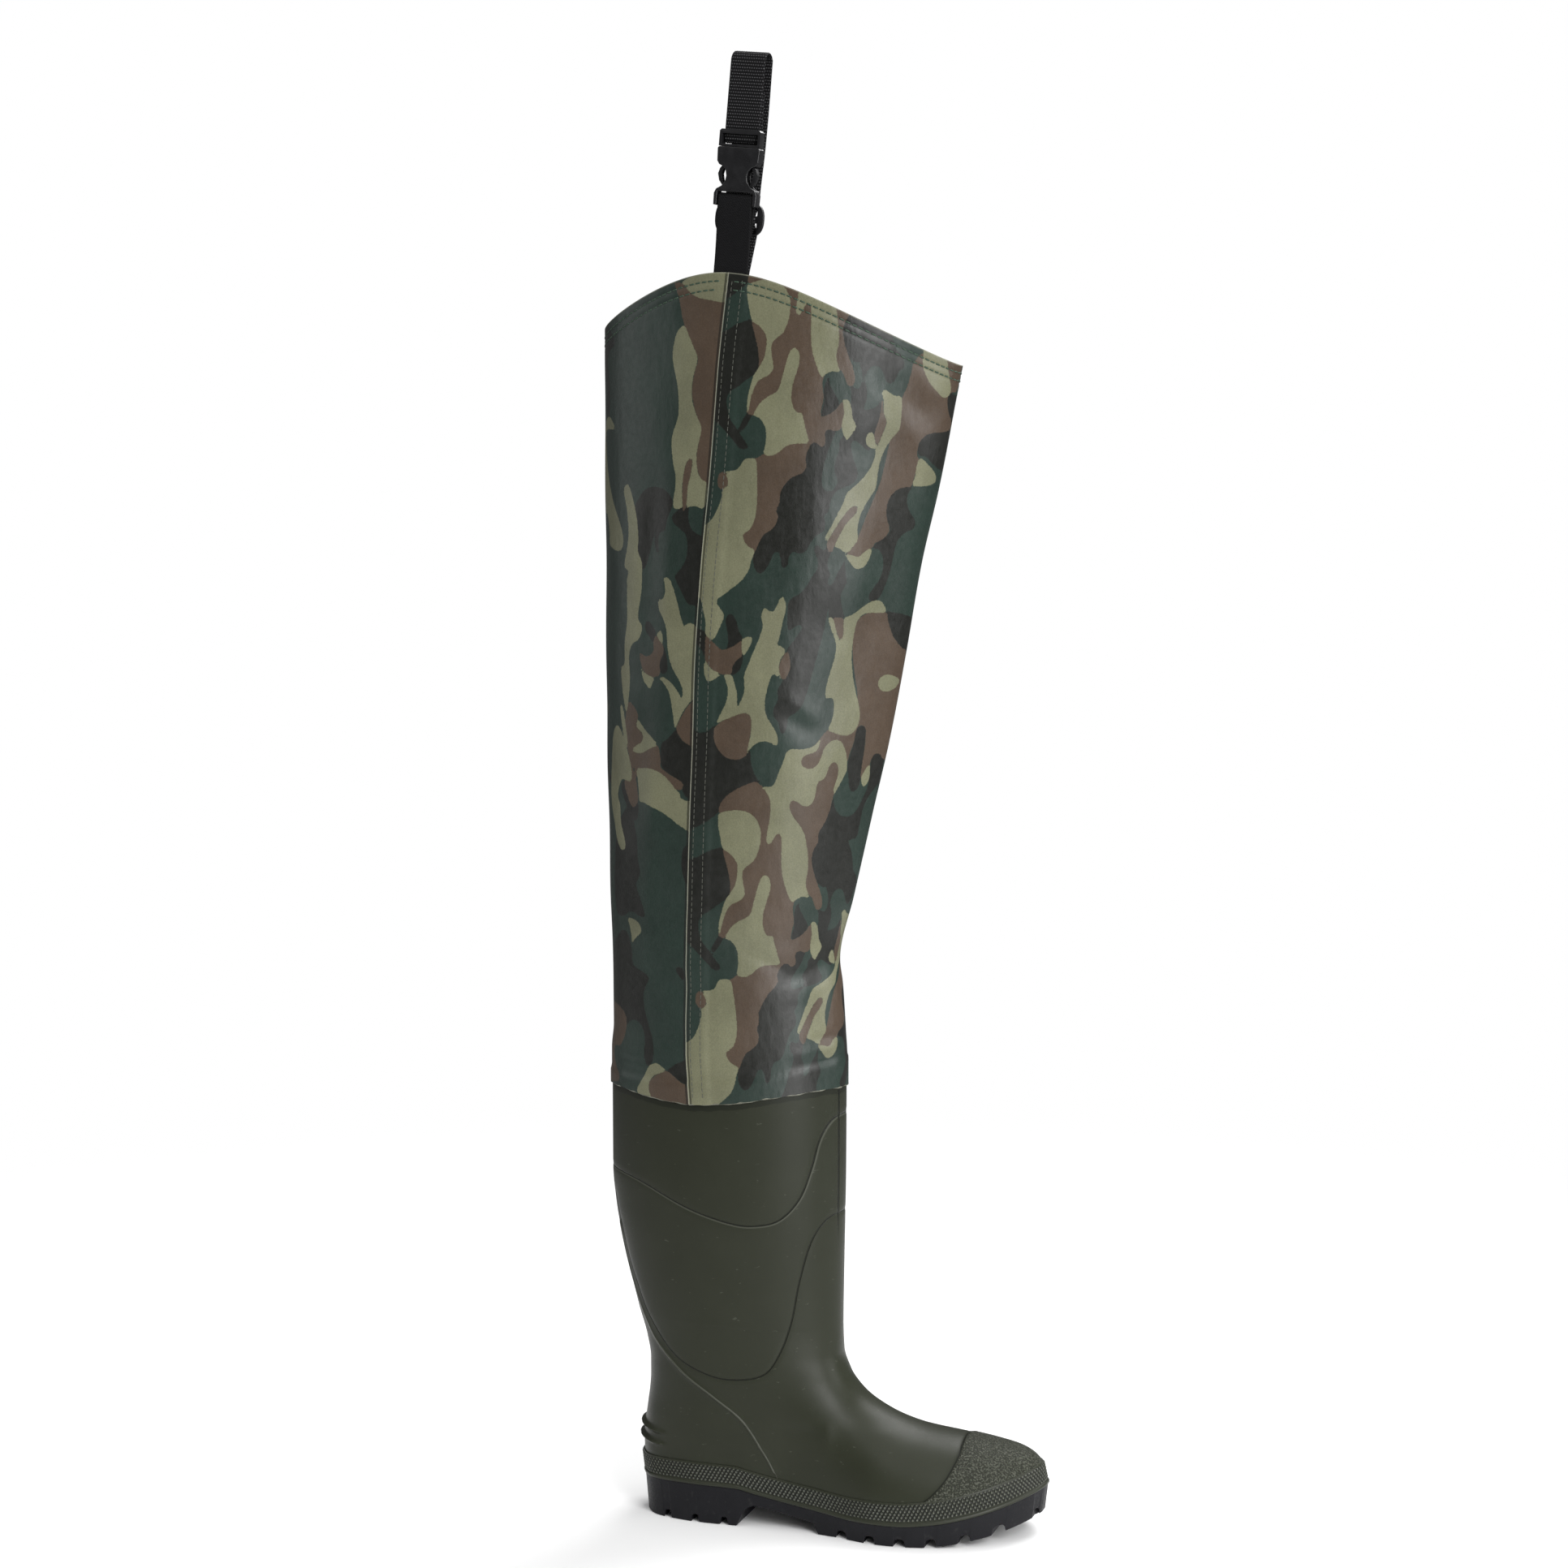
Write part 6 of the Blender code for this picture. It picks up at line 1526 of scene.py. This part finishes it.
def webbing(name, path, thick, weave, material, node):
    """Woven webbing swept along a side-view path, with its weave pressed into both faces."""
    curve = round_curve(path, WEB_CURVE_STEPS, False)
    run = run_along(curve)
    places = np.arange(0.0, run[-1], WEB_STEP)
    line = read_along(places, run, curve)
    along = np.gradient(line, axis=0)
    along /= np.linalg.norm(along, axis=1)[:, None]
    across = np.stack([-along[:, 1], along[:, 0]], axis=1)
    half = 0.5 * WEB_WIDTH
    x = np.linspace(-half, half, WEB_COLUMNS)
    past = np.clip((np.abs(x) - half + WEB_EDGE_ROUND) / WEB_EDGE_ROUND, 0.0, None)
    rim = np.sqrt(np.clip(1.0 - past ** 2, WEB_EDGE_LEFT, 1.0))
    knit = weave(places[:, None], x[None, :])
    lift = (0.5 * thick + knit) * rim[None, :]
    sides = []
    for face in (-1.0, 1.0):
        y = line[:, :1] + face * across[:, :1] * lift
        z = line[:, 1:] + face * across[:, 1:] * lift
        sides.append(np.stack([np.broadcast_to(x, y.shape), y, z], axis=2))
    grid = np.concatenate([sides[0], sides[1][:, ::-1]], axis=1)
    rows, count = grid.shape[:2]
    values = {"web_run": np.repeat(places, count), "web_across": np.tile(np.concatenate([x, x[::-1]]), rows),
              "web_crown": np.concatenate([knit, knit[:, ::-1]], axis=1) / WEAVE_DEPTH}
    verts = strap_to_world(grid.reshape(-1, 3))
    piece = mesh_piece(name, verts, tube_faces(rows, count), material, values, WEB_SHARP)
    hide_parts(node)
    return piece


TWILL_DEPTH = 0.04
TWILL_PITCH = 1.9
TWILL_SINK = 0.09


def plain_weave(run, x):
    """Fine smooth twill of the lower webbing."""
    return TWILL_DEPTH * np.cos(2.0 * np.pi * (run + x) / TWILL_PITCH) - TWILL_SINK


RIB_PITCH = 2.1
RIB_SINK = 0.7
WARP_PITCH = 1.75
WARP_LOW = 0.45             # height that a rib keeps between two warp threads


def ribbed_weave(run, x):
    """Heavy cross ribs of the upper webbing, broken by its warp threads."""
    rib = 0.5 + 0.5 * np.cos(2.0 * np.pi * run / RIB_PITCH)
    warp = 0.5 + 0.5 * np.cos(2.0 * np.pi * x / WARP_PITCH + np.pi * np.round(run / RIB_PITCH))
    return WEAVE_DEPTH * (rib * (WARP_LOW + (1.0 - WARP_LOW) * warp) - RIB_SINK)


def strap_lower(material):
    """Plain webbing from inside the hem up around the bar of the socket."""
    wrap = SOCKET_BAR_RADIUS + GAP + 0.5 * LOWER_WEB_THICK
    path = list(LOWER_FRONT_RUN) + bend(0.0, SOCKET_BAR_Z, wrap, 180.0, 0.0, BEND_STEPS) + list(LOWER_TAIL)
    return webbing("webbing_lower", path, LOWER_WEB_THICK, plain_weave, material, "strap_lower")


def strap_upper(material):
    """Ribbed webbing from the bar of the plug up over the loop and down behind through the slider."""
    wrap = PLUG_BAR_RADIUS + GAP + 0.5 * UPPER_WEB_THICK
    path = list(UPPER_TAIL) + bend(PLUG_BAR_Y, PLUG_BAR_Z, wrap, 0.0, -180.0, BEND_STEPS)
    path += list(UPPER_FRONT_RUN)
    path += bend(BELT_LOOP_RADIUS, BELT_LOOP_Z, BELT_LOOP_RADIUS, 180.0, 0.0, LOOP_STEPS)
    path += list(UPPER_BACK_RUN) + slider_weave() + list(UPPER_SEWN_END)
    return webbing("webbing_upper", path, UPPER_WEB_THICK, ribbed_weave, material, "strap_upper")


EDGE_ROUNDINGS = {"buckle_socket": 1.1, "buckle_plug": 0.5, "strap_slider": 0.7}
EDGE_SEGMENTS = 3
EDGE_ANGLE = 28.0           # edges sharper than this are rounded over
FLAT_ANGLE = 2.0            # faces flatter than this to each other are joined first
SAME_POINT = 0.02


def rounded_copy(node, rounding, material):
    """Copy of a hard solid with its edges rounded over, which stands for the solid."""
    piece = new_object(node + "_rounded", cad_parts[node].data.copy())
    piece.data.materials.clear()
    piece.data.materials.append(material)
    shape = bmesh.new()
    shape.from_mesh(piece.data)
    bmesh.ops.remove_doubles(shape, verts=shape.verts, dist=SAME_POINT * MM)
    flat = math.radians(FLAT_ANGLE)
    bmesh.ops.dissolve_limit(shape, angle_limit=flat, verts=shape.verts, edges=shape.edges)
    shape.to_mesh(piece.data)
    shape.free()
    edges = piece.modifiers.new("edges", "BEVEL")
    edges.width = rounding * MM
    edges.segments = EDGE_SEGMENTS
    edges.limit_method = "ANGLE"
    edges.angle_limit = math.radians(EDGE_ANGLE)
    edges.harden_normals = True
    piece.data.shade_smooth()
    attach(piece, "root")
    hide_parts(node)
    return piece


# Materials
def new_material(name):
    """Empty material with its shader, ready for a network of nodes."""
    material = bpy.data.materials.new(name)
    material.use_nodes = True
    tree = material.node_tree
    return material, tree, tree.nodes["Principled BSDF"]


def feed(tree, socket, source):
    """Set a socket to a number or colour, or link it to another node's output."""
    if isinstance(source, bpy.types.NodeSocket):
        tree.links.new(source, socket)
    else:
        socket.default_value = source


def maths(tree, operation, a, b=0.0):
    """Sum, product or the like of two numbers or outputs."""
    node = tree.nodes.new("ShaderNodeMath")
    node.operation = operation
    feed(tree, node.inputs[0], a)
    feed(tree, node.inputs[1], b)
    return node.outputs[0]


def times(tree, a, b):
    return maths(tree, "MULTIPLY", a, b)


def away_from(tree, source, place):
    """Distance of the source from a place, to either side."""
    return maths(tree, "ABSOLUTE", maths(tree, "SUBTRACT", source, place))


def vector_maths(tree, operation, source):
    node = tree.nodes.new("ShaderNodeVectorMath")
    node.operation = operation
    tree.links.new(source, node.inputs[0])
    return node


def ramp(tree, source, low, high, bottom=0.0, top=1.0):
    """Smooth rise from bottom to top as the source goes from low to high."""
    node = tree.nodes.new("ShaderNodeMapRange")
    node.interpolation_type = "SMOOTHSTEP"
    feed(tree, node.inputs["Value"], source)
    for key, value in (("From Min", low), ("From Max", high), ("To Min", bottom), ("To Max", top)):
        node.inputs[key].default_value = value
    return node.outputs[0]


MIX_FIRST = 6               # sockets of the mix node when it mixes colours
MIX_SECOND = 7
MIX_RESULT = 2


def tint(tree, share, first, second):
    """Colour between first and second."""
    node = tree.nodes.new("ShaderNodeMix")
    node.data_type = "RGBA"
    feed(tree, node.inputs[0], share)
    feed(tree, node.inputs[MIX_FIRST], first)
    feed(tree, node.inputs[MIX_SECOND], second)
    return node.outputs[MIX_RESULT]


def layered(tree, base, layers):
    """Colour with others laid over it in turn, each by its share."""
    for share, ink in layers:
        base = tint(tree, share, base, ink)
    return base


def colour(red, green, blue):
    return (red, green, blue, 1.0)


def attribute(tree, name):
    node = tree.nodes.new("ShaderNodeAttribute")
    node.attribute_name = name
    return node.outputs["Fac"]


def place_on(tree, stretch=(1.0, 1.0, 1.0)):
    """Place on the object in metres, stretched along its axes."""
    where = tree.nodes.new("ShaderNodeTexCoord")
    mapping = tree.nodes.new("ShaderNodeMapping")
    mapping.inputs["Scale"].default_value = stretch
    tree.links.new(where.outputs["Object"], mapping.inputs["Vector"])
    return mapping.outputs[0]


def noise(tree, size, detail=2.0, stretch=(1.0, 1.0, 1.0)):
    """Cloudy pattern whose lumps are about size millimetres across."""
    node = tree.nodes.new("ShaderNodeTexNoise")
    node.inputs["Scale"].default_value = 1.0 / (size * MM)
    node.inputs["Detail"].default_value = detail
    tree.links.new(place_on(tree, stretch), node.inputs["Vector"])
    return node.outputs[0]


def ragged(tree, size, detail, height):
    """Noise to either side of nought, for edges that aren't quite even."""
    return times(tree, maths(tree, "SUBTRACT", noise(tree, size, detail), 0.5), height)


def cells(tree, size):
    """Distance to the nearest of scattered points that are about size millimetres apart."""
    node = tree.nodes.new("ShaderNodeTexVoronoi")
    node.feature = "SMOOTH_F1"
    node.inputs["Scale"].default_value = 1.0 / (size * MM)
    tree.links.new(place_on(tree), node.inputs["Vector"])
    return node.outputs["Distance"]


def bump(tree, height, depth, under=None):
    """Raised detail of the given depth in millimetres, over another one."""
    node = tree.nodes.new("ShaderNodeBump")
    node.inputs["Strength"].default_value = 1.0
    node.inputs["Distance"].default_value = depth * MM
    feed(tree, node.inputs["Height"], height)
    if under is not None:
        tree.links.new(under, node.inputs["Normal"])
    return node.outputs[0]


def dress(tree, shader, base, rough, relief, specular=None):
    """Give a shader its colour, roughness and relief, and a specular level where it isn't the usual one."""
    feed(tree, shader.inputs["Base Color"], base)
    feed(tree, shader.inputs["Roughness"], rough)
    feed(tree, shader.inputs["Normal"], relief)
    if specular is not None:
        shader.inputs["Specular IOR Level"].default_value = specular


# Specular level and least and most roughness of each satin look
Finish = namedtuple("Finish", "specular roughness")
BOOT_FINISH = Finish(0.19, (0.36, 0.46))
BAND_FINISH = Finish(0.26, (0.36, 0.48))
TREAD_FINISH = Finish(0.15, (0.42, 0.58))
CLOTH_FINISH = Finish(0.42, (0.33, 0.42))
WEB_FINISH = Finish(0.09, (0.55, 0.75))
PLASTIC_FINISH = Finish(0.55, (0.26, 0.38))
FOAM_ROUGH = 0.9
THREAD_ROUGH = 0.6
GLUE_ROUGH = 0.5
PAPER_ROUGH = 0.75

# Colours of the looks
OLIVE_LOW = colour(0.0150, 0.0168, 0.0100)
OLIVE_HIGH = colour(0.0210, 0.0232, 0.0145)
# dark olive: painted shade in the panel grooves, the knurl's gaps, the pebbles' hollows and under the leg's
# edge, and the line around the cap
OLIVE_SHADE_AND_LINE = colour(0.004, 0.005, 0.003)
# pale olive: real scuffs, and painted highlights beside the upper panel line, on the counter bead and on the
# pebbles' crowns
OLIVE_SCUFF_AND_HIGHLIGHT = colour(0.110, 0.115, 0.092)
# painted highlight on the points of the knurl
KNURL_HIGHLIGHT = colour(0.160, 0.168, 0.138)
TREAD_LOW = colour(0.005, 0.005, 0.0062)
TREAD_HIGH = colour(0.009, 0.009, 0.0108)
TREAD_DUST = colour(0.040, 0.040, 0.038)
WEB_LOW = colour(0.003, 0.003, 0.0033)
WEB_HIGH = colour(0.008, 0.008, 0.0086)
# painted highlight on the crowns of the weave
WEB_CROWN_HIGHLIGHT = colour(0.095, 0.095, 0.098)
WEB_FUZZ = colour(0.035, 0.035, 0.037)
PLASTIC_LOW = colour(0.005, 0.005, 0.0055)
PLASTIC_HIGH = colour(0.009, 0.009, 0.010)
FOAM_LOW = colour(0.05, 0.05, 0.045)
FOAM_HIGH = colour(0.13, 0.13, 0.12)
HEM_THREAD = (colour(0.014, 0.032, 0.018), colour(0.036, 0.068, 0.042))
SEAM_THREAD = (colour(0.040, 0.042, 0.033), colour(0.085, 0.088, 0.070))
GLUE_LOW = colour(0.05, 0.052, 0.038)
GLUE_HIGH = colour(0.16, 0.16, 0.12)
PAPER_LOW = colour(0.86, 0.86, 0.86)
PAPER_HIGH = colour(0.89, 0.89, 0.89)
GREEN = colour(0.013, 0.024, 0.0185)
# dark ink of the print, also the painted shade in a band beside the lap's edge
DARK_INK_AND_SHADE = colour(0.0075, 0.0080, 0.0062)
BROWN = colour(0.058, 0.040, 0.027)
TAN = colour(0.130, 0.131, 0.080)
# pale cloth of the cut edge, also the painted highlights on the lap's step and on the hem's fold
CUT_CLOTH_AND_HIGHLIGHT = colour(0.33, 0.33, 0.26)
LINING_LOW = colour(0.046, 0.049, 0.039)
LINING_HIGH = colour(0.088, 0.091, 0.076)
INK_BLEED = 0.32            # half the width over which one ink goes over into the next


def olive_base(tree):
    """Cloudy olive with a few pale scuffs, and the fine grain of its skin."""
    cloud = noise(tree, 38.0, 3.0)
    scuff = ramp(tree, noise(tree, 6.0, 6.0, (1.0, 1.0, 2.4)), 0.68, 0.74, 0.0, 0.22)
    base = tint(tree, scuff, tint(tree, cloud, OLIVE_LOW, OLIVE_HIGH), OLIVE_SCUFF_AND_HIGHLIGHT)
    return base, noise(tree, 1.1, 3.0)


def near_line(tree, name, reach):
    """One on a moulded line and nothing beyond its reach."""
    return ramp(tree, away_from(tree, attribute(tree, name), 0.0), 0.15, reach, 1.0, 0.0)


def near_either(tree, first, second, reach):
    return maths(tree, "MAXIMUM", near_line(tree, first, reach), near_line(tree, second, reach))


def panel_lines(tree):
    """Shares of the panel lines and strips, with painted shade in the grooves, and of the counter bead's
    painted highlight.
    """
    high = ramp(tree, attribute(tree, "height"), 205.0, 235.0)
    strips = times(tree, near_either(tree, "back_strip", "front_strip", 0.5), high)
    panel = maths(tree, "MAXIMUM", near_either(tree, "upper_line", "lower_line", 0.7), strips)
    return panel, near_line(tree, "counter_line", 1.1)


def toe_cap(tree):
    """Shares of the whole toe cap, of its pebbles and of the line around its edge."""
    cap = attribute(tree, "cap_edge")
    pebbles = ramp(tree, noise(tree, 1.2, 4.0), 0.36, 0.64)
    line = ramp(tree, away_from(tree, cap, -0.5), 0.3, 1.0, 0.9, 0.0)
    return ramp(tree, cap, 0.0, 0.8), pebbles, line


def olive_pvc():
    """Satin moulded boot: pebbled cap, crisp panel lines, cloudy colour, a few pale scuffs, painted shade and
    highlights.
    """
    material, tree, shader = new_material("olive_pvc_look")
    base, fine = olive_base(tree)
    panel, counter = panel_lines(tree)
    on_cap, pebbles, cap_line = toe_cap(tree)
    # place of a painted highlight: a pale line 1.1 mm below the upper panel line
    lip = away_from(tree, attribute(tree, "upper_line"), -1.1)
    # place of a darker band below the leg's lower edge, which stands for glue and for painted shade under the
    # cloth's edge
    glue = maths(tree, "ADD", attribute(tree, "weld_gap"), ragged(tree, 9.0, 4.0, 3.0))
    base = layered(tree, base, (
        # painted highlight along the lower edge of the upper panel line
        (ramp(tree, lip, 0.2, 0.7, 0.28, 0.0), OLIVE_SCUFF_AND_HIGHLIGHT),
        # painted shade in the grooves of the panel lines, and dark lines beside the back and front strips
        (times(tree, panel, 0.85), OLIVE_SHADE_AND_LINE),
        # painted highlight along the counter bead
        (times(tree, counter, 0.35), OLIVE_SCUFF_AND_HIGHLIGHT),
        # darker band below the leg's lower edge: glue, and painted shade under the cloth's edge
        (ramp(tree, glue, 4.4, 5.0, 0.5, 0.0), OLIVE_SHADE_AND_LINE),
        # pebbles painted darker in their hollows as shade and paler on their crowns as highlights
        (times(tree, ramp(tree, pebbles, 0.0, 0.4, 0.45, 0.0), on_cap), OLIVE_SHADE_AND_LINE),
        (times(tree, ramp(tree, pebbles, 0.5, 1.0, 0.0, 0.45), on_cap), OLIVE_SCUFF_AND_HIGHLIGHT),
        (cap_line, OLIVE_SHADE_AND_LINE),
    ))
    satin = ramp(tree, fine, 0.25, 0.75, *BOOT_FINISH.roughness)
    rough = maths(tree, "ADD", satin, times(tree, on_cap, 0.08))
    grain = bump(tree, fine, 0.03)
    grain = bump(tree, times(tree, pebbles, on_cap), 0.35, grain)
    grain = bump(tree, maths(tree, "SUBTRACT", counter, panel), 0.5, grain)
    dress(tree, shader, base, rough, grain, BOOT_FINISH.specular)
    return material


def olive_band():
    """Knurled band of the same PVC, with painted shade in the gaps of the knurl and painted highlights on its
    points.
    """
    material, tree, shader = new_material("olive_band_look")
    base, fine = olive_base(tree)
    knurl = attribute(tree, "knurl")
    base = layered(tree, base, (
        # painted shade in the gaps of the knurl, and painted highlights on its points
        (ramp(tree, knurl, 0.30, 0.58, 1.0, 0.0), OLIVE_SHADE_AND_LINE),
        (ramp(tree, knurl, 0.70, 0.98, 0.0, 0.55), KNURL_HIGHLIGHT),
    ))
    rough = ramp(tree, fine, 0.25, 0.75, *BAND_FINISH.roughness)
    dress(tree, shader, base, rough, bump(tree, fine, 0.03), BAND_FINISH.specular)
    return material


def black_tread():
    """Near-black sole with a bluish satin skin, dusty in places."""
    material, tree, shader = new_material("black_tread_look")
    base = tint(tree, noise(tree, 22.0, 4.0), TREAD_LOW, TREAD_HIGH)
    base = tint(tree, ramp(tree, noise(tree, 5.0, 6.0), 0.60, 0.72, 0.0, 0.22), base, TREAD_DUST)
    rough = ramp(tree, noise(tree, 1.6, 3.0), 0.3, 0.7, *TREAD_FINISH.roughness)
    dress(tree, shader, base, rough, bump(tree, noise(tree, 0.9, 3.0), 0.05), TREAD_FINISH.specular)
    return material


def printed_cloth(tree):
    """Four inks with uneven edges, a little lighter and darker from place to place."""
    uneven = ragged(tree, 1.6, 3.0, 1.3)
    base = GREEN
    for name, ink in (("dark_depth", DARK_INK_AND_SHADE), ("brown_depth", BROWN), ("tan_depth", TAN)):
        depth = maths(tree, "ADD", attribute(tree, name), uneven)
        base = tint(tree, ramp(tree, depth, -INK_BLEED, INK_BLEED), base, ink)
    speck = ramp(tree, noise(tree, 0.9, 2.0), 0.30, 0.70, 0.90, 1.10)
    cloud = ramp(tree, noise(tree, 30.0, 3.0), 0.3, 0.7, 0.90, 1.08)
    shade = vector_maths(tree, "SCALE", base)
    tree.links.new(times(tree, speck, cloud), shade.inputs["Scale"])
    return shade.outputs[0]


def camo_cloth():
    """Coated cloth with a printed satin skin, pale cut edges, a fine weave, a knit lining, and painted shade
    and highlights.
    """
    material, tree, shader = new_material("camo_cloth_look")
    cut = attribute(tree, "cut_edge")
    inside = ramp(tree, attribute(tree, "inside"), 0.2, 0.8)
    knit = tint(tree, ramp(tree, noise(tree, 0.8, 3.0), 0.35, 0.65), LINING_LOW, LINING_HIGH)
    base = layered(tree, printed_cloth(tree), (
        # painted shade in a dark band beside the lap's edge
        (ramp(tree, away_from(tree, cut, 1.7), 0.3, 0.9, 0.75, 0.0), DARK_INK_AND_SHADE),
        # pale cut edge of the lap, which also stands for the painted highlight on its step
        (ramp(tree, cut, 0.0, 0.9, 0.85, 0.0), CUT_CLOTH_AND_HIGHLIGHT),
        # pale line along the top of the hem: a painted highlight on its folded edge
        (ramp(tree, attribute(tree, "hem_gap"), 0.2, 1.1, 0.4, 0.0), CUT_CLOTH_AND_HIGHLIGHT),
        (inside, knit),
    ))
    satin = ramp(tree, noise(tree, 4.0, 4.0), 0.3, 0.7, *CLOTH_FINISH.roughness)
    rough = maths(tree, "ADD", satin, times(tree, inside, 0.4))
    weave = bump(tree, noise(tree, 0.7, 2.0), 0.035)
    weave = bump(tree, noise(tree, 9.0, 3.0, (1.0, 1.0, 0.45)), 0.5, weave)
    dress(tree, shader, base, rough, weave, CLOTH_FINISH.specular)
    return material


def black_webbing():
    """Woven black tape: dull, with a painted grey highlight on the raised threads."""
    material, tree, shader = new_material("black_webbing_look")
    across = attribute(tree, "web_across")
    slant = maths(tree, "ADD", attribute(tree, "web_run"), across)
    warp = maths(tree, "SINE", times(tree, across, 7.2))
    weft = maths(tree, "SINE", times(tree, slant, 6.0))
    threads = times(tree, warp, weft)
    fuzz = noise(tree, 0.5, 3.0)
    base = layered(tree, WEB_LOW, (
        (ramp(tree, threads, -0.4, 0.9), WEB_HIGH),
        # painted highlight on the raised crowns of the weave
        (ramp(tree, attribute(tree, "web_crown"), -0.25, 0.25), WEB_CROWN_HIGHLIGHT),
        (ramp(tree, fuzz, 0.6, 0.8, 0.0, 0.3), WEB_FUZZ),
    ))
    rough = ramp(tree, fuzz, 0.3, 0.7, *WEB_FINISH.roughness)
    dress(tree, shader, base, rough, bump(tree, fuzz, 0.05, bump(tree, threads, 0.06)), WEB_FINISH.specular)
    return material


def black_plastic():
    """Moulded plastic with a faint spark-eroded grain and a slightly uneven gloss."""
    material, tree, shader = new_material("black_plastic_look")
    wear = noise(tree, 7.0, 5.0)
    base = tint(tree, wear, PLASTIC_LOW, PLASTIC_HIGH)
    rough = ramp(tree, wear, 0.3, 0.7, *PLASTIC_FINISH.roughness)
    dress(tree, shader, base, rough, bump(tree, noise(tree, 0.45, 2.0), 0.02), PLASTIC_FINISH.specular)
    return material


def foam():
    """Open-celled foam of the sock inside the boot."""
    material, tree, shader = new_material("insole_foam_look")
    pores = cells(tree, 1.2)
    dress(tree, shader, tint(tree, pores, FOAM_LOW, FOAM_HIGH), FOAM_ROUGH, bump(tree, pores, 0.3))
    return material


def thread(name, shades):
    """Twisted sewing thread between two shades."""
    material, tree, shader = new_material(name)
    twist = noise(tree, 0.5, 2.0)
    dress(tree, shader, tint(tree, twist, *shades), THREAD_ROUGH, bump(tree, twist, 0.08))
    return material


def weld_glue():
    """Pale frayed cloth and olive glue along the weld."""
    material, tree, shader = new_material("weld_glue_look")
    base = tint(tree, noise(tree, 3.0, 4.0), GLUE_LOW, GLUE_HIGH)
    dress(tree, shader, base, GLUE_ROUGH, bump(tree, noise(tree, 0.8, 3.0), 0.2))
    return material


# Stage
CAMERA_PLACE = (0.7858, -2.3672, 0.78)
CAMERA_AIM = (0.0549, 0.0235, 0.535)
CAMERA_LENS = 79.57
CAMERA_SENSOR = 36.0
CAMERA_REACH = 50.0
FLOOR_HALF = 6.0
FLOOR_FADE_START = 0.5
FLOOR_FADE_END = 1.5
WORLD_LIGHT = 0.13
SKY_POWER = 1.5
SKY_SPREAD = 1.2
SKY_PLACE = (0.4, -0.9, 3.0)
WORLD_SEEN = 1.0
LAMP_AIM = (0.05, 0.0, 0.5)
Lamp = namedtuple("Lamp", "name place size power")
LAMPS = (
    Lamp("key", (2.2, -2.1, 1.9), 1.4, 75.0),
    Lamp("low", (2.0, -2.1, 0.5), 1.6, 40.0),
    Lamp("fill", (-2.9, -0.8, 1.3), 2.4, 18.0),
    Lamp("top", (0.7, 1.6, 2.6), 1.8, 72.0),
    Lamp("side", (2.8, 0.1, 1.0), 1.5, 30.0),
)


def aim(thing, place, target):
    """Put a light or camera at a place and point it at a target."""
    way = Vector(target) - Vector(place)
    thing.location = place
    thing.rotation_euler = way.to_track_quat("-Z", "Y").to_euler()


def camera():
    lens = bpy.data.cameras.new("camera")
    lens.lens = CAMERA_LENS
    lens.sensor_width = CAMERA_SENSOR
    lens.clip_end = CAMERA_REACH
    viewer = new_object("camera", lens)
    aim(viewer, CAMERA_PLACE, CAMERA_AIM)
    bpy.context.scene.camera = viewer


def soft_light(lamp):
    light = bpy.data.lights.new(lamp.name, "AREA")
    light.size = lamp.size
    light.energy = lamp.power
    aim(new_object(lamp.name, light), lamp.place, LAMP_AIM)


def floor():
    """Pale studio floor with a faint mottle, which fades out around the part."""
    material, tree, shader = new_material("floor_paper")
    feed(tree, shader.inputs["Base Color"], tint(tree, noise(tree, 90.0, 3.0), PAPER_LOW, PAPER_HIGH))
    shader.inputs["Roughness"].default_value = PAPER_ROUGH
    far = vector_maths(tree, "LENGTH", place_on(tree)).outputs["Value"]
    feed(tree, shader.inputs["Alpha"], ramp(tree, far, FLOOR_FADE_START, FLOOR_FADE_END, 1.0, 0.0))
    corners = [(FLOOR_HALF * x, FLOOR_HALF * y, 0.0) for x, y in ((-1, -1), (1, -1), (1, 1), (-1, 1))]
    mesh = bpy.data.meshes.new("studio_floor")
    mesh.from_pydata(corners, [], [(0, 1, 2, 3)])
    mesh.materials.append(material)
    ground = new_object("studio_floor", mesh)


def studio():
    """White world and soft lights: a key and a low one in front, a fill, a top, a side and a wide sky."""
    bpy.context.scene.view_settings.view_transform = "Standard"
    world = bpy.data.worlds.new("studio")
    world.use_nodes = True
    tree = world.node_tree
    sky = tree.nodes["Background"]
    sky.inputs["Color"].default_value = colour(1.0, 1.0, 1.0)
    seen = tree.nodes.new("ShaderNodeLightPath").outputs["Is Camera Ray"]
    feed(tree, sky.inputs["Strength"], ramp(tree, seen, 0.0, 1.0, WORLD_LIGHT, WORLD_SEEN))
    bpy.context.scene.world = world
    for lamp in LAMPS:
        soft_light(lamp)
    sun = bpy.data.lights.new("sky", "SUN")
    sun.energy = SKY_POWER
    sun.angle = SKY_SPREAD
    aim(new_object("sky", sun), SKY_PLACE, (0.0, 0.0, 0.0))


def build():
    """Everything in the scene, from the studio to the last piece of the wader."""
    camera()
    studio()
    floor()
    boot_wall(olive_pvc())
    boot_band(olive_band())
    outsole(black_tread())
    outer, u = leg(camo_cloth())
    stitches("hem_stitches", hem_rows(outer), HEM_STITCH, thread("hem_thread", HEM_THREAD))
    stitches("seam_stitches", seam_rows(outer, u), SEAM_STITCH, thread("seam_thread", SEAM_THREAD))
    weld_bead(outer, weld_glue())
    web = black_webbing()
    strap_lower(web)
    strap_upper(web)
    plastic = black_plastic()
    for node, rounding in EDGE_ROUNDINGS.items():
        rounded_copy(node, rounding, plastic)
    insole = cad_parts["insole"]
    insole.data.materials.clear()
    insole.data.materials.append(foam())


build()
